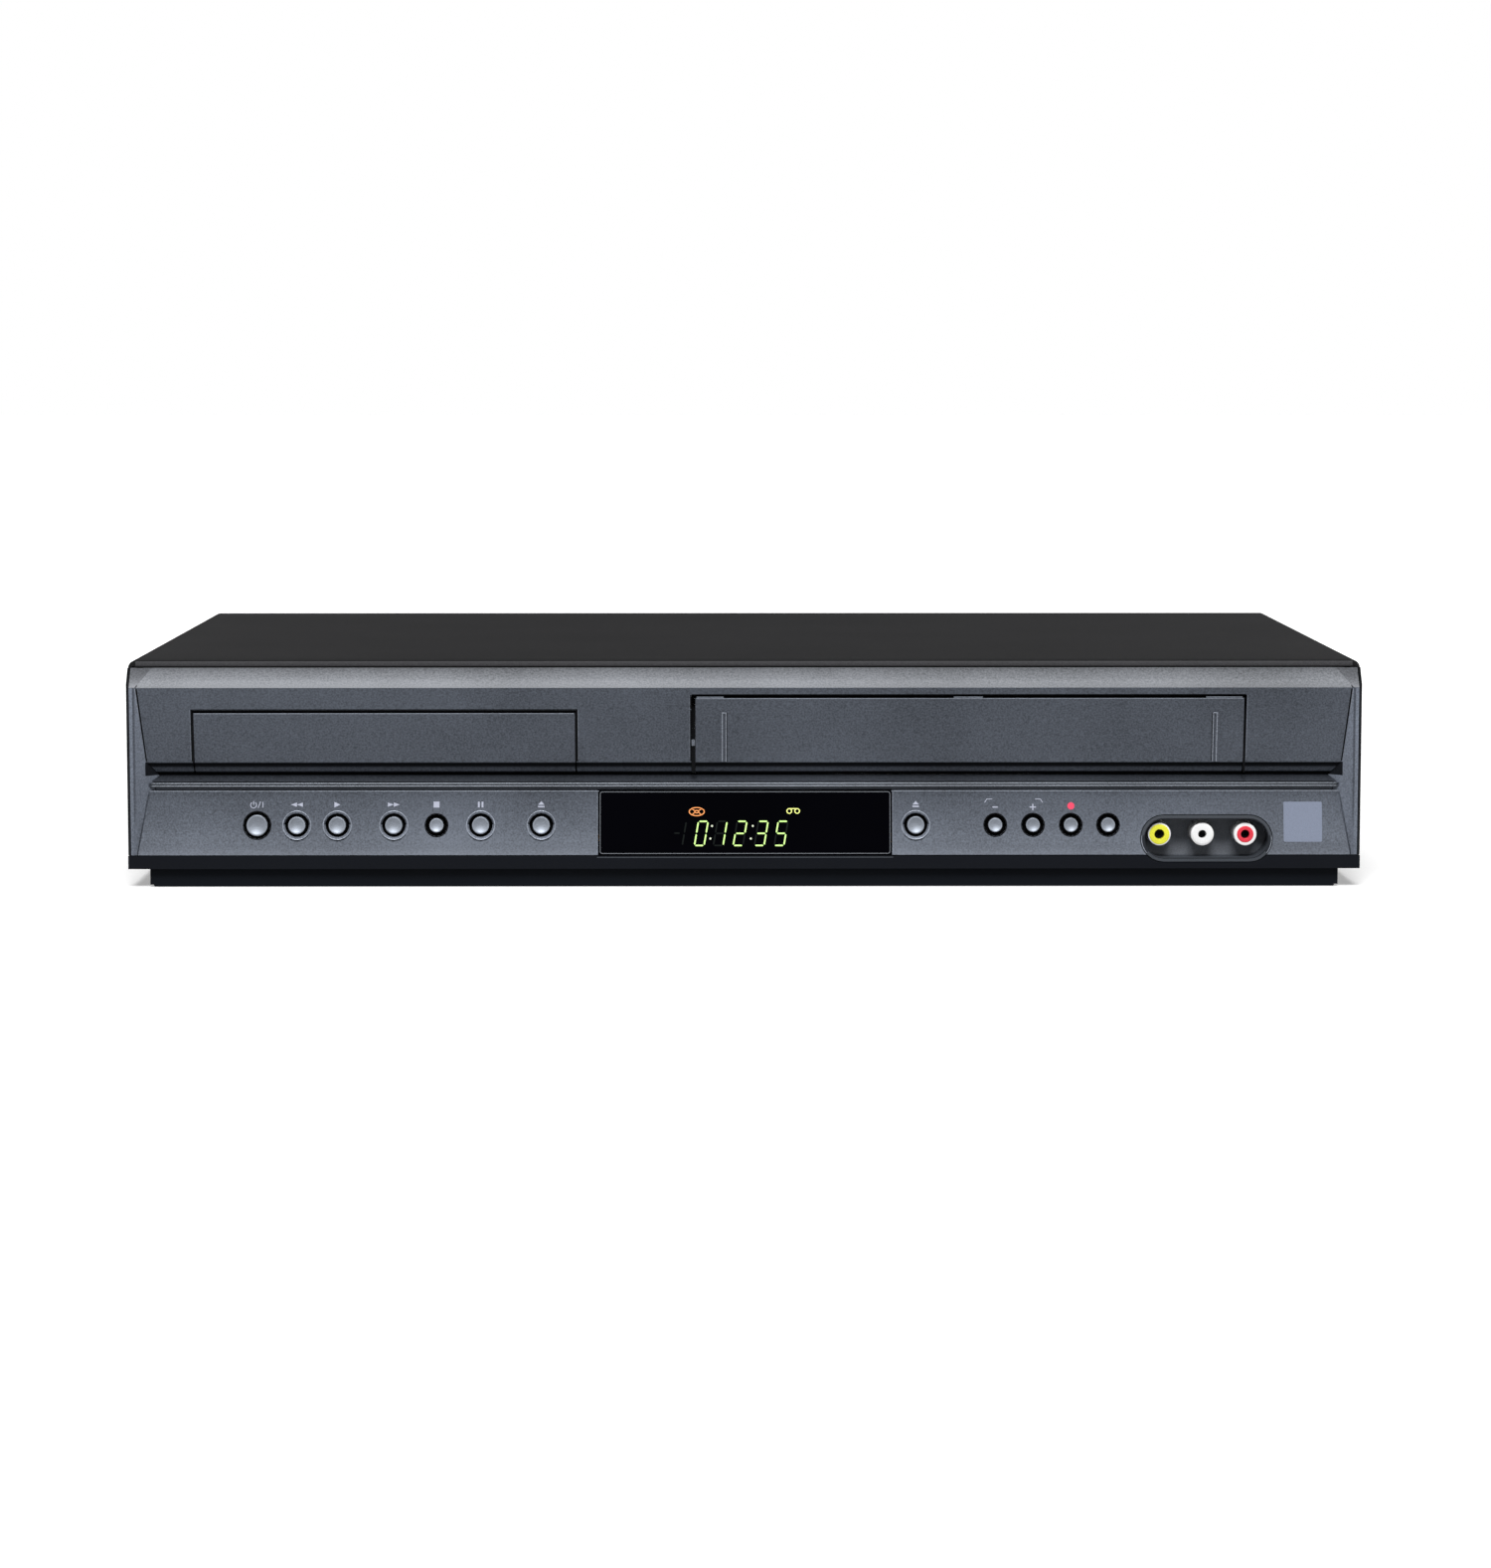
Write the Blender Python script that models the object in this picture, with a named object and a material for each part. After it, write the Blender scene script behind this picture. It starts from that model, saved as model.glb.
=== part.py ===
"""A slim disc and cassette player, built as separate pieces that fit each other.

Metres, +Z up, front towards -Y, +X to the viewer's right. The origin is under the
middle of the player, on the surface that it stands on.
"""

import math

import bmesh
import bpy
from mathutils import Matrix, Vector

# Shared fits
FIT = 0.0003
OVERRUN = 0.002
HAIR = 0.0001
MERGE = 0.000001
ROUND_STEPS = 24
MIDDLE_STEPS = 16
SMALL_STEPS = 12
CORNER_STEPS = 4
SHARP_ANGLE = math.radians(30)

# What the player takes in
DISC_DIAMETER = 0.120
CASSETTE_WIDTH = 0.188
CASSETTE_HEIGHT = 0.025

# Heights of the front's bands, from the floor up
PLINTH_CLEARANCE = 0.0008
PLINTH_STEP_HEIGHT = 0.0059
PLINTH_BAND_HEIGHT = 0.0046
LOWER_FACE_HEIGHT = 0.0225
GROOVE_HEIGHT = 0.0011
TRIM_HEIGHT = 0.0018
LEDGE_HEIGHT = 0.0020
CHAMFER_HEIGHT = 0.0048
UPPER_FACE_HEIGHT = 0.0267
STRIP_HEIGHT = 0.0067
HEM_HEIGHT = 0.0022

# How far the front's edges lie behind its foremost plane
STRIP_SETBACK = 0.0055
WAIST_RECESS = 0.0033
CHAMFER_RECESS = 0.0073
LEDGE_RECESS = 0.0046
GROOVE_RECESS = 0.0058
LOWER_TOP_RECESS = 0.0040
FASCIA_WALL = 0.0024
FASCIA_FLANGE = 0.0120

# Widths across the front, from the left end to the right
END_CAP_FACE = 0.0031
TRAY_MARGIN = 0.0204
TRAY_RIM = 0.0040
TRAY_FRONT_LAP = 0.0031
MIDDLE_WIDTH = 0.0425
DOOR_LAP = 0.00265
DOOR_MARGIN = 0.0384

# Depths of the cassette drive, from the front to the back
CARRIER_SETBACK = 0.0342
CARRIER_DEPTH = 0.0400
CARRIER_TRAVEL = 0.0670
DRUM_GAP = 0.0120
DRUM_RADIUS = 0.0310
DECK_REAR_MARGIN = 0.0290
REAR_BAY = 0.0156
REAR_WALL = 0.0012
JACK_REACH = 0.0040

# Casing
COVER_WALL = 0.0012
COVER_CORNER = 0.0028
HEM_DEPTH = 0.0025
CHASSIS_WALL = 0.0018
CHASSIS_FLANGE_HEIGHT = 0.0112
CHASSIS_SETBACK = 0.0145
FOOT_HEIGHT = 0.0060
FOOT_RADIUS = 0.0115
FOOT_CHAMFER = 0.0010
FOOT_INSET = 0.0330
END_CAP_WALL = 0.0020
END_CAP_DEPTH = 0.0120
END_CAP_REACH = 0.0105
END_CAP_EDGE = 0.0008
PLINTH_RECESS = 0.0030
PLINTH_END_STEP = 0.0073
PLINTH_WALL = 0.0022
TRIM_RECESS = 0.0034
TRIM_BEAD = 0.0004
WINDOW_WIDTH = 0.1033
WINDOW_OFFSET = 0.0002
WINDOW_PROUD = 0.0003
WINDOW_WALL = 0.0020

# Disc tray front and cassette door
SILL_GAP = 0.0004
TRAY_FRONT_HEIGHT = 0.0221
TRAY_GAP_SIDE = 0.0006
TRAY_GAP_TOP = 0.0010
DOOR_HEIGHT = 0.0274
DOOR_WALL = 0.0020
DOOR_GAP_LEFT = 0.0015
DOOR_GAP_RIGHT = 0.0009
DOOR_GAP_TOP = 0.0011
DOOR_PIN_DROP = 0.0012
DOOR_PIN_RADIUS = 0.0006
DOOR_PIN_DEPTH = 0.0013
DOOR_PIN_LENGTH = 0.0030
DOOR_EAR = 0.0030
DOOR_RIB_WIDTH = 0.0016
DOOR_RIB_PROUD = 0.0005
DOOR_RIB_INSET = 0.0093
DOOR_RIB_TOP_DROP = 0.0050

# Buttons
BUTTON_RISE = 0.0104
BUTTON_TRAVEL = 0.0010
BUTTON_PROUD = 0.0005
BUTTON_FLANGE_LAP = 0.0012
BUTTON_FLANGE = 0.0010
BUTTON_STEM_RADIUS = 0.0014
BUTTON_STEM_LENGTH = 0.0015
BUTTON_CHAMFER = 0.0003
POWER_CAP_RADIUS = 0.00375
POWER_HOLE_RADIUS = 0.00475
DISHED_CAP_RADIUS = 0.0035
DISHED_HOLE_RADIUS = 0.0042
DISH_RADIUS = 0.0049
DISH_DEPTH = 0.0008
PLAIN_CAP_RADIUS = 0.00265
PLAIN_HOLE_RADIUS = 0.0039
# Each button's place, as a share of the overall width, and the kind of its hole
BUTTON_SHARES = {
    "power_button": (-0.3956, "power"),
    "rewind_button": (-0.3634, "dished"),
    "play_button": (-0.3306, "dished"),
    "forward_button": (-0.2848, "dished"),
    "stop_button": (-0.2501, "plain"),
    "pause_button": (-0.2143, "dished"),
    "open_close_button": (-0.1651, "dished"),
    "eject_button": (0.1391, "dished"),
    "tracking_minus_button": (0.2037, "plain"),
    "tracking_plus_button": (0.2343, "plain"),
    "record_button": (0.2651, "plain"),
    "source_button": (0.2954, "plain"),
}

# Front jacks
POCKET_SHARE = 0.3754
POCKET_WIDTH = 0.0464
POCKET_HEIGHT = 0.0162
POCKET_DROP = 0.0025
POCKET_DEPTH = 0.0120
POCKET_WALL = 0.0010
POCKET_PROUD = 0.0002
JACK_PITCH = 0.0152
JACK_RISE = 0.0012
JACK_SHIFT = 0.0012
JACK_RADIUS = 0.00405
JACK_BORE = 0.0016
JACK_BORE_DEPTH = 0.0085
JACK_TIP_RECESS = 0.0035
JACK_BLOCK_DEPTH = 0.0110

# Disc drive
TRAY_RISE = 0.0058
TRAY_HEIGHT = 0.0080
TRAY_REAR_MARGIN = 0.0140
TRAY_WELL_DEPTH = 0.0026
TRAY_WELL_MARGIN = 0.0040
TRAY_FLOOR = 0.0016
SMALL_DISC_RADIUS = 0.0403
SMALL_WELL_DEPTH = 0.0014
TRAY_SLOT_RADIUS = 0.0220
TRAY_FRONT_BAR = 0.0060
TRAY_SIDE_BAR = 0.0040
DISC_PLAY = 0.0005
LOADER_DROP = 0.0080
LOADER_BASE = 0.0020
LOADER_WALL = 0.0030
LOADER_WALL_RISE = 0.0035
LOADER_LEDGE = 0.0040
LOADER_LEDGE_HEIGHT = 0.0025
LOADER_LIP = 0.0015
LOADER_FRONT_GAP = 0.0060
LOADER_EAR = 0.0100
LOADER_LEG_RADIUS = 0.0035
GEAR_MODULE = 0.0010
GEAR_TEETH = 16
WHEEL_MODULE = 0.0008
WHEEL_TEETH = 28
MOTOR_TEETH = 10
PRESSURE_ANGLE = math.radians(22)
ADDENDUM_SHARE = 0.85
DEDENDUM_SHARE = 1.15
BACKLASH_SHARE = 0.42
RACK_BACK = 0.0015
WHEEL_HEIGHT = 0.0022
GEAR_HUB_RADIUS = 0.0050
PIN_RADIUS = 0.0013
PINION_SETBACK = 0.0165
TRAY_MOTOR_RADIUS = 0.0110
TRAY_MOTOR_HEIGHT = 0.0110
TRAY_MOTOR_NECK = 0.0030
BRIDGE_WALL = 0.0012
BRIDGE_DEPTH = 0.0360
CLAMP_NECK_RADIUS = 0.0105
CLAMP_TOP_RADIUS = 0.0165
CLAMP_PAD_RADIUS = 0.0120
CLAMP_WALL = 0.0013
TURNTABLE_RADIUS = 0.0150
TURNTABLE_HEIGHT = 0.0018
TURNTABLE_LIFT = 0.0007
TURNTABLE_HUB_RADIUS = 0.0073
TURNTABLE_HUB_HEIGHT = 0.0016
SPINDLE_RADIUS = 0.0015
SPINDLE_MOTOR_RADIUS = 0.0120
TRAVERSE_WALL = 0.0012
TRAVERSE_HALF_WIDTH = 0.0330
TRAVERSE_FRONT = 0.0215
ROD_RADIUS = 0.0015
ROD_SPREAD = 0.0220
ROD_RISE = 0.0026
PICKUP_START = 0.0132
PICKUP_LENGTH = 0.0260
PICKUP_TRAVEL = 0.0350
PICKUP_HALF_WIDTH = 0.0170
PICKUP_TOP_GAP = 0.0024
PICKUP_BEARING = 0.0030
LENS_RADIUS = 0.0035
LENS_HEIGHT = 0.0008
SCREW_OFFSET = 0.0290
SCREW_RADIUS = 0.0014
POST_THICKNESS = 0.0030

# Cassette drive
DECK_WALL = 0.0015
DECK_BOSS_HEIGHT = 0.0094
DECK_BOSS_RADIUS = 0.0040
SHEET = 0.0012
CARRIER_WALL = 0.0010
CARRIER_PLAY = 0.0005
CARRIER_SILL = 0.0008
CARRIER_HEAD_ROOM = 0.0010
CARRIER_LEDGE = 0.0210
CARRIER_FLOOR_GAP = 0.0012
CARRIER_PIN_RADIUS = 0.0015
CARRIER_PIN_INSET = 0.0080
CARRIER_WINDOW_SHARE = 0.60
SLIDER_DEPTH = 0.0300
SLIDER_BAR_DEPTH = 0.0080
SLIDER_BAR_RISE = 0.0022
SLIDER_BAR_WALL = 0.0016
SLIDER_FOOT = 0.0105
TRACK_PLAY = 0.0003
REEL_SPACING_SHARE = 0.495
REEL_FROM_MOUTH = 0.0620
REEL_RADIUS = 0.0180
REEL_TABLE = 0.0013
REEL_HUB_RADIUS = 0.0080
REEL_HUB_HEIGHT = 0.0037
REEL_SPINDLE_RADIUS = 0.0036
REEL_SPLINES = 3
REEL_SPLINE_RADIUS = 0.00075
REEL_HEIGHT = 0.0117
DRUM_TILT = math.radians(6)
DRUM_BASE_RADIUS = 0.0140
DRUM_BASE_HEIGHT = 0.0070
DRUM_RAISE = 0.0050
LOWER_DRUM_HEIGHT = 0.0125
UPPER_DRUM_HEIGHT = 0.0120
DRUM_RIM = 0.0050
DRUM_DISH = 0.0025
DRUM_SHAFT_RADIUS = 0.0030
DRUM_SHAFT_LENGTH = 0.0080
GUIDE_MARGIN = 0.0070
GUIDE_TRAVEL = 0.0650
GUIDE_START = 0.0085
GUIDE_BASE = (0.0060, 0.0050, 0.0030)
GUIDE_ROLLER_RADIUS = 0.0025
GUIDE_ROLLER_HEIGHT = 0.0190
GUIDE_NECK = 0.0025
GUIDE_CLIP = 0.0055
GUIDE_CLIP_HEIGHT = 0.0013
CAPSTAN_SHARE = 0.266
CAPSTAN_SETBACK = 0.0073
CAPSTAN_RADIUS = 0.0015
CAPSTAN_HEIGHT = 0.0250
CAPSTAN_SLEEVE = 0.0040
CAPSTAN_SLEEVE_HEIGHT = 0.0032
FLYWHEEL_RADIUS = 0.0220
FLYWHEEL_HEIGHT = 0.0040
FLYWHEEL_HUB = 0.0050
FLYWHEEL_HUB_HEIGHT = 0.0032
PINCH_RADIUS = 0.0070
PINCH_HEIGHT = 0.0150
PINCH_ARM_LENGTH = 0.0180
PINCH_ARM_WIDTH = 0.0040
PINCH_ARM_WALL = 0.0016
PINCH_SWING = math.radians(27)
PINCH_HUB_HEIGHT = 0.0100
HEAD_SHARE = 0.298
HEAD_SETBACK = 0.0270
HEAD_SIZE = (0.0110, 0.0090, 0.0150)
HEAD_STALK = 0.0090
HEAD_PLATE_LAP = 0.0025
HEAD_PLATE = 0.0012
LOADING_MOTOR_RADIUS = 0.0110
LOADING_MOTOR_LENGTH = 0.0280
GEARBOX = (0.0140, 0.0220, 0.0200)
LOADING_MOTOR_INSET = 0.0130

# Boards and connectors
BOARD_WALL = 0.0016
BOARD_BOSS_HEIGHT = 0.0076
BOARD_BOSS_RADIUS = 0.0035
BOARD_BOSS_INSET = 0.0080
BOARD_EDGE = 0.0020
BOARD_GAP = 0.0020
BOARD_FRONT = 0.0380
BOARD_REAR = 0.0090
CHIP_SIDE = 0.0120
CHIP_HEIGHT = 0.0024
CAN_RADIUS = 0.0080
CAN_SPACING = 0.0192
CAN_HEIGHT = 0.0150
TRANSFORMER = (0.0320, 0.0280, 0.0150)
HEAT_SINK = (0.0400, 0.0040, 0.0140)
SWITCH_SIZE = 0.0060
SWITCH_DEPTH = 0.0035
PLUNGER_RADIUS = 0.0016
PLUNGER_LENGTH = 0.0010
FRONT_BOARD_DROP = 0.0015
FRONT_BOARD_LAP = 0.0120
TUBE_WIDTH = 0.0960
TUBE_HEIGHT = 0.0170
TUBE_GAP = 0.0010
REAR_BLOCK_DEPTH = 0.0220
REAR_BLOCK_HEIGHT = 0.0340
REAR_COLUMNS = 4
REAR_ROWS = 2
REAR_PITCH = 0.0150
INLET_WIDTH = 0.0150
INLET_HEIGHT = 0.0080
INLET_WALL = 0.0020
INLET_DEPTH = 0.0180
INLET_SOCKET_DEPTH = 0.0130
INLET_PIN_RADIUS = 0.0011
INLET_PIN_SPREAD = 0.0043
INLET_FLANGE = 0.0030
INLET_FLANGE_WALL = 0.0015
INLET_RISE = 0.0060
VENT_WIDTH = 0.0030
VENT_HEIGHT = 0.0200
VENT_PITCH = 0.0070
VENT_COUNT = 12
# Each main board chip's place across and back, and its size beside the usual chip
MAIN_CHIPS_SHARES = ((0.45, 0.45, 1.6), (0.30, 0.62, 1.0), (0.68, 0.66, 0.8), (0.60, 0.25, 1.0))

# Heights that follow
PLINTH_STEP_TOP = PLINTH_CLEARANCE + PLINTH_STEP_HEIGHT
PLINTH_TOP = PLINTH_STEP_TOP + PLINTH_BAND_HEIGHT
LOWER_FACE_BOTTOM = PLINTH_TOP + FIT
LOWER_FACE_TOP = LOWER_FACE_BOTTOM + LOWER_FACE_HEIGHT
TRIM_BOTTOM = LOWER_FACE_TOP + GROOVE_HEIGHT
TRIM_TOP = TRIM_BOTTOM + TRIM_HEIGHT
LEDGE_BOTTOM = TRIM_TOP + FIT
LEDGE_TOP = LEDGE_BOTTOM + LEDGE_HEIGHT
CHAMFER_TOP = LEDGE_TOP + CHAMFER_HEIGHT
UPPER_FACE_TOP = CHAMFER_TOP + UPPER_FACE_HEIGHT
STRIP_TOP = UPPER_FACE_TOP + STRIP_HEIGHT
HEIGHT = STRIP_TOP + FIT + HEM_HEIGHT
FLAP_BOTTOM = LEDGE_TOP + SILL_GAP
TRAY_FRONT_TOP = FLAP_BOTTOM + TRAY_FRONT_HEIGHT
DOOR_TOP = FLAP_BOTTOM + DOOR_HEIGHT
FLOOR_BOTTOM = FOOT_HEIGHT + FIT
FLOOR_TOP = FLOOR_BOTTOM + CHASSIS_WALL
COVER_UNDERSIDE = HEIGHT - COVER_WALL
BUTTON_Z = LOWER_FACE_BOTTOM + BUTTON_RISE

# Widths and depths that follow
TRAY_WIDTH = DISC_DIAMETER + 2 * TRAY_RIM
TRAY_FRONT_WIDTH = TRAY_WIDTH + 2 * TRAY_FRONT_LAP
DOOR_WIDTH = CASSETTE_WIDTH + 2 * DOOR_LAP
PANEL_WIDTH = TRAY_MARGIN + TRAY_FRONT_WIDTH + MIDDLE_WIDTH + DOOR_WIDTH + DOOR_MARGIN
WIDTH = PANEL_WIDTH + 2 * END_CAP_FACE
TRAY_X = -PANEL_WIDTH / 2 + TRAY_MARGIN + TRAY_FRONT_WIDTH / 2
DOOR_X = PANEL_WIDTH / 2 - DOOR_MARGIN - DOOR_WIDTH / 2
DEPTH = (
    CARRIER_SETBACK + CARRIER_DEPTH + CARRIER_TRAVEL + DRUM_GAP + 2 * DRUM_RADIUS
    + DECK_REAR_MARGIN + REAR_BAY + REAR_WALL + JACK_REACH
)
FRONT_Y = -DEPTH / 2
REAR_OUTSIDE = DEPTH / 2 - JACK_REACH
REAR_INSIDE = REAR_OUTSIDE - REAR_WALL
COVER_INSIDE = WIDTH / 2 - COVER_WALL
CHASSIS_HALF = COVER_INSIDE - FIT
CHASSIS_FRONT = FRONT_Y + CHASSIS_SETBACK
CHASSIS_REAR = REAR_INSIDE - FIT
POCKET_X = POCKET_SHARE * WIDTH
POCKET_BOTTOM = LOWER_FACE_BOTTOM - POCKET_DROP
JACK_Z = POCKET_BOTTOM + POCKET_HEIGHT / 2 + JACK_RISE
CAP_RADII = {"power": POWER_CAP_RADIUS, "dished": DISHED_CAP_RADIUS, "plain": PLAIN_CAP_RADIUS}
HOLE_RADII = {"power": POWER_HOLE_RADIUS, "dished": DISHED_HOLE_RADIUS, "plain": PLAIN_HOLE_RADIUS}

# Disc drive places that follow
TRAY_BOTTOM = FLAP_BOTTOM + TRAY_RISE
TRAY_TOP = TRAY_BOTTOM + TRAY_HEIGHT
TRAY_FRONT_Y = FRONT_Y + CHAMFER_RECESS + FASCIA_WALL + FIT
DISC_Y = TRAY_FRONT_Y + TRAY_WELL_MARGIN + DISC_DIAMETER / 2 + DISC_PLAY
WELL_Z = TRAY_TOP - TRAY_WELL_DEPTH
SMALL_WELL_Z = WELL_Z - SMALL_WELL_DEPTH
TRAY_CEILING = SMALL_WELL_Z - TRAY_FLOOR
LOADER_BOTTOM = TRAY_BOTTOM - LOADER_DROP
LOADER_FLOOR = LOADER_BOTTOM + LOADER_BASE
LOADER_FRONT = TRAY_FRONT_Y + LOADER_FRONT_GAP
LOADER_INSIDE = TRAY_WIDTH / 2 + FIT
LOADER_OUTSIDE = LOADER_INSIDE + LOADER_WALL
LOADER_TOP = TRAY_TOP + LOADER_WALL_RISE
LEG_X = LOADER_OUTSIDE + LOADER_EAR - LOADER_LEG_RADIUS
GEAR_RADIUS = GEAR_MODULE * GEAR_TEETH / 2
WHEEL_RADIUS = WHEEL_MODULE * WHEEL_TEETH / 2
MOTOR_GEAR_RADIUS = WHEEL_MODULE * MOTOR_TEETH / 2
RACK_LINE = TRAY_WIDTH / 2 - TRAY_SIDE_BAR - RACK_BACK - DEDENDUM_SHARE * GEAR_MODULE
PINION_X = TRAY_X + RACK_LINE - GEAR_RADIUS
PINION_Y = TRAY_FRONT_Y + PINION_SETBACK
MOTOR_GEAR_X = PINION_X - WHEEL_RADIUS - MOTOR_GEAR_RADIUS
WHEEL_BOTTOM = LOADER_FLOOR + FIT
PINION_BOTTOM = TRAY_BOTTOM + FIT
PINION_TOP = TRAY_CEILING - FIT
TURNTABLE_TOP = WELL_Z + TURNTABLE_LIFT
TRAVERSE_BOTTOM = LOADER_FLOOR + FIT
TRAVERSE_TOP = TRAVERSE_BOTTOM + TRAVERSE_WALL
ROD_Z = TRAVERSE_TOP + ROD_RISE
PICKUP_Y = DISC_Y + PICKUP_START
PICKUP_END = PICKUP_Y + PICKUP_LENGTH + PICKUP_TRAVEL
TRAVERSE_REAR = PICKUP_END + FIT + POST_THICKNESS
TRAY_REAR = TRAVERSE_REAR + TRAY_REAR_MARGIN
LOADER_REAR = TRAY_REAR + FIT
PICKUP_TOP = TURNTABLE_TOP - PICKUP_TOP_GAP

# Cassette drive places that follow
CARRIER_FRONT = FRONT_Y + CARRIER_SETBACK
CARRIER_REAR = CARRIER_FRONT + CARRIER_DEPTH
MOUTH_Y = CARRIER_REAR + CARRIER_TRAVEL
DRUM_Y = MOUTH_Y + DRUM_GAP + DRUM_RADIUS
REEL_Y = MOUTH_Y - REEL_FROM_MOUTH
REEL_SPACING = REEL_SPACING_SHARE * CASSETTE_WIDTH
DECK_REAR = DRUM_Y + DRUM_RADIUS + DECK_REAR_MARGIN
DECK_BOTTOM = FLOOR_TOP + DECK_BOSS_HEIGHT
DECK_TOP = DECK_BOTTOM + DECK_WALL
CARRIER_INSIDE = CASSETTE_WIDTH / 2 + CARRIER_PLAY
CARRIER_OUTSIDE = CARRIER_INSIDE + CARRIER_WALL
SLIDER_INSIDE = CARRIER_OUTSIDE + FIT
SLIDER_OUTSIDE = SLIDER_INSIDE + SHEET
SIDE_INSIDE = SLIDER_OUTSIDE + FIT
DECK_HALF = SIDE_INSIDE + SHEET
CARRIER_BOTTOM = FLAP_BOTTOM + CARRIER_SILL
CARRIER_TOP = CARRIER_BOTTOM + 2 * CARRIER_WALL + CASSETTE_HEIGHT + CARRIER_HEAD_ROOM
CARRIER_DROP = CARRIER_BOTTOM - DECK_TOP - CARRIER_FLOOR_GAP
CARRIER_PIN_Y = CARRIER_REAR - CARRIER_PIN_INSET
CARRIER_PIN_Z = (CARRIER_BOTTOM + CARRIER_TOP) / 2
SLIDER_TOP = CARRIER_TOP + SLIDER_BAR_RISE
SLIDER_BOTTOM = DECK_TOP + SLIDER_FOOT
SLIDER_FRONT = CARRIER_PIN_Y - SLIDER_DEPTH / 2
SIDE_TOP = SLIDER_TOP + SLIDER_BAR_WALL
PINS_Z = DECK_TOP + FIT
CAPSTAN_X = DOOR_X + CAPSTAN_SHARE * CASSETTE_WIDTH
CAPSTAN_Y = MOUTH_Y + CAPSTAN_SETBACK
PINCH_PRESSED_Y = CAPSTAN_Y - CAPSTAN_RADIUS - PINCH_RADIUS - FIT
PINCH_PIVOT_X = CAPSTAN_X + PINCH_ARM_LENGTH
HEAD_X = DOOR_X + HEAD_SHARE * CASSETTE_WIDTH
HEAD_Y = MOUTH_Y + HEAD_SETBACK
GUIDE_Y = MOUTH_Y - GUIDE_START
GUIDE_SPREAD = DRUM_RADIUS + GUIDE_MARGIN
DRUM_PIVOT_Z = DECK_TOP + DRUM_RAISE

# Board places that follow
BOARD_BOTTOM = FLOOR_TOP + BOARD_BOSS_HEIGHT + FIT
BOARD_TOP = BOARD_BOTTOM + BOARD_WALL
BOARD_HALF_SPAN = LEG_X - LOADER_LEG_RADIUS - BOARD_EDGE
BOARD_FRONT_Y = FRONT_Y + BOARD_FRONT
BOARD_REAR_Y = REAR_INSIDE - BOARD_REAR
POWER_BOARD_X = (TRAY_X - BOARD_HALF_SPAN, TRAY_X - BOARD_GAP / 2)
MAIN_BOARD_X = (TRAY_X + BOARD_GAP / 2, TRAY_X + BOARD_HALF_SPAN)

FINISHES = {
    "silver plastic": ((0.44, 0.47, 0.52), 0.38, 0.35),
    "bright plastic": ((0.62, 0.64, 0.68), 0.30, 0.60),
    "black sheet": ((0.17, 0.17, 0.17), 0.60, 0.10),
    "black plastic": ((0.09, 0.10, 0.11), 0.55, 0.00),
    "black window": ((0.01, 0.01, 0.012), 0.08, 0.00),
    "grey plastic": ((0.28, 0.30, 0.32), 0.50, 0.00),
    "white plastic": ((0.86, 0.86, 0.84), 0.45, 0.00),
    "rubber": ((0.06, 0.06, 0.06), 0.85, 0.00),
    "zinc sheet": ((0.66, 0.67, 0.68), 0.42, 0.90),
    "polished steel": ((0.78, 0.78, 0.79), 0.20, 1.00),
    "cast alloy": ((0.60, 0.60, 0.62), 0.45, 0.85),
    "green board": ((0.10, 0.30, 0.16), 0.45, 0.00),
    "brown board": ((0.52, 0.38, 0.20), 0.55, 0.00),
}


def linear(share):
    """Turns one sRGB colour share into the linear share that a shader takes."""
    if share <= 0.04045:
        return share / 12.92
    return ((share + 0.055) / 1.055) ** 2.4


def dress(item, finish):
    """Gives the object its own material with one of the named finishes."""
    colour, roughness, metallic = FINISHES[finish]
    material = bpy.data.materials.new(item.name)
    material.use_nodes = True
    shader = material.node_tree.nodes["Principled BSDF"]
    shader.inputs["Base Color"].default_value = (*map(linear, colour), 1)
    shader.inputs["Roughness"].default_value = roughness
    shader.inputs["Metallic"].default_value = metallic
    item.data.materials.append(material)
    item.data.shade_smooth()
    item.data.set_sharp_from_angle(angle=SHARP_ANGLE)
    return item


# Flat outlines
def arc(centre, radius, start, turn, steps):
    """Points along an arc that starts at one angle and turns through another."""
    angles = [start + turn * index / steps for index in range(steps + 1)]
    return [(centre[0] + radius * math.cos(a), centre[1] + radius * math.sin(a)) for a in angles]


def circle(centre, radius, steps=ROUND_STEPS):
    """Points round a full circle."""
    return arc(centre, radius, 0, math.tau, steps)[:-1]


def stadium(centre, width, height, steps=SMALL_STEPS):
    """A level bar with half-round ends."""
    radius = height / 2
    reach = width / 2 - radius
    right = arc((centre[0] + reach, centre[1]), radius, -math.pi / 2, math.pi, steps)
    left = arc((centre[0] - reach, centre[1]), radius, math.pi / 2, math.pi, steps)
    return right + left


def gear(centre, module, teeth, phase):
    """A spur gear's outline, with involute flanks and a tooth centred at the phase angle."""
    pitch = module * teeth / 2
    base = pitch * math.cos(PRESSURE_ANGLE)
    half_tooth = (math.pi - BACKLASH_SHARE) * module / 4 / pitch
    pitch_roll = math.tan(PRESSURE_ANGLE) - PRESSURE_ANGLE
    flank = []
    for radius in (pitch - DEDENDUM_SHARE * module, pitch, pitch + ADDENDUM_SHARE * module):
        slope = math.acos(min(1, base / radius))
        flank.append((radius, half_tooth + pitch_roll - (math.tan(slope) - slope)))
    points = []
    for tooth in range(teeth):
        middle = phase + math.tau * tooth / teeth
        sides = [(radius, middle - spread) for radius, spread in flank]
        sides += [(radius, middle + spread) for radius, spread in reversed(flank)]
        points += [(centre[0] + r * math.cos(a), centre[1] + r * math.sin(a)) for r, a in sides]
    return points


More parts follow.
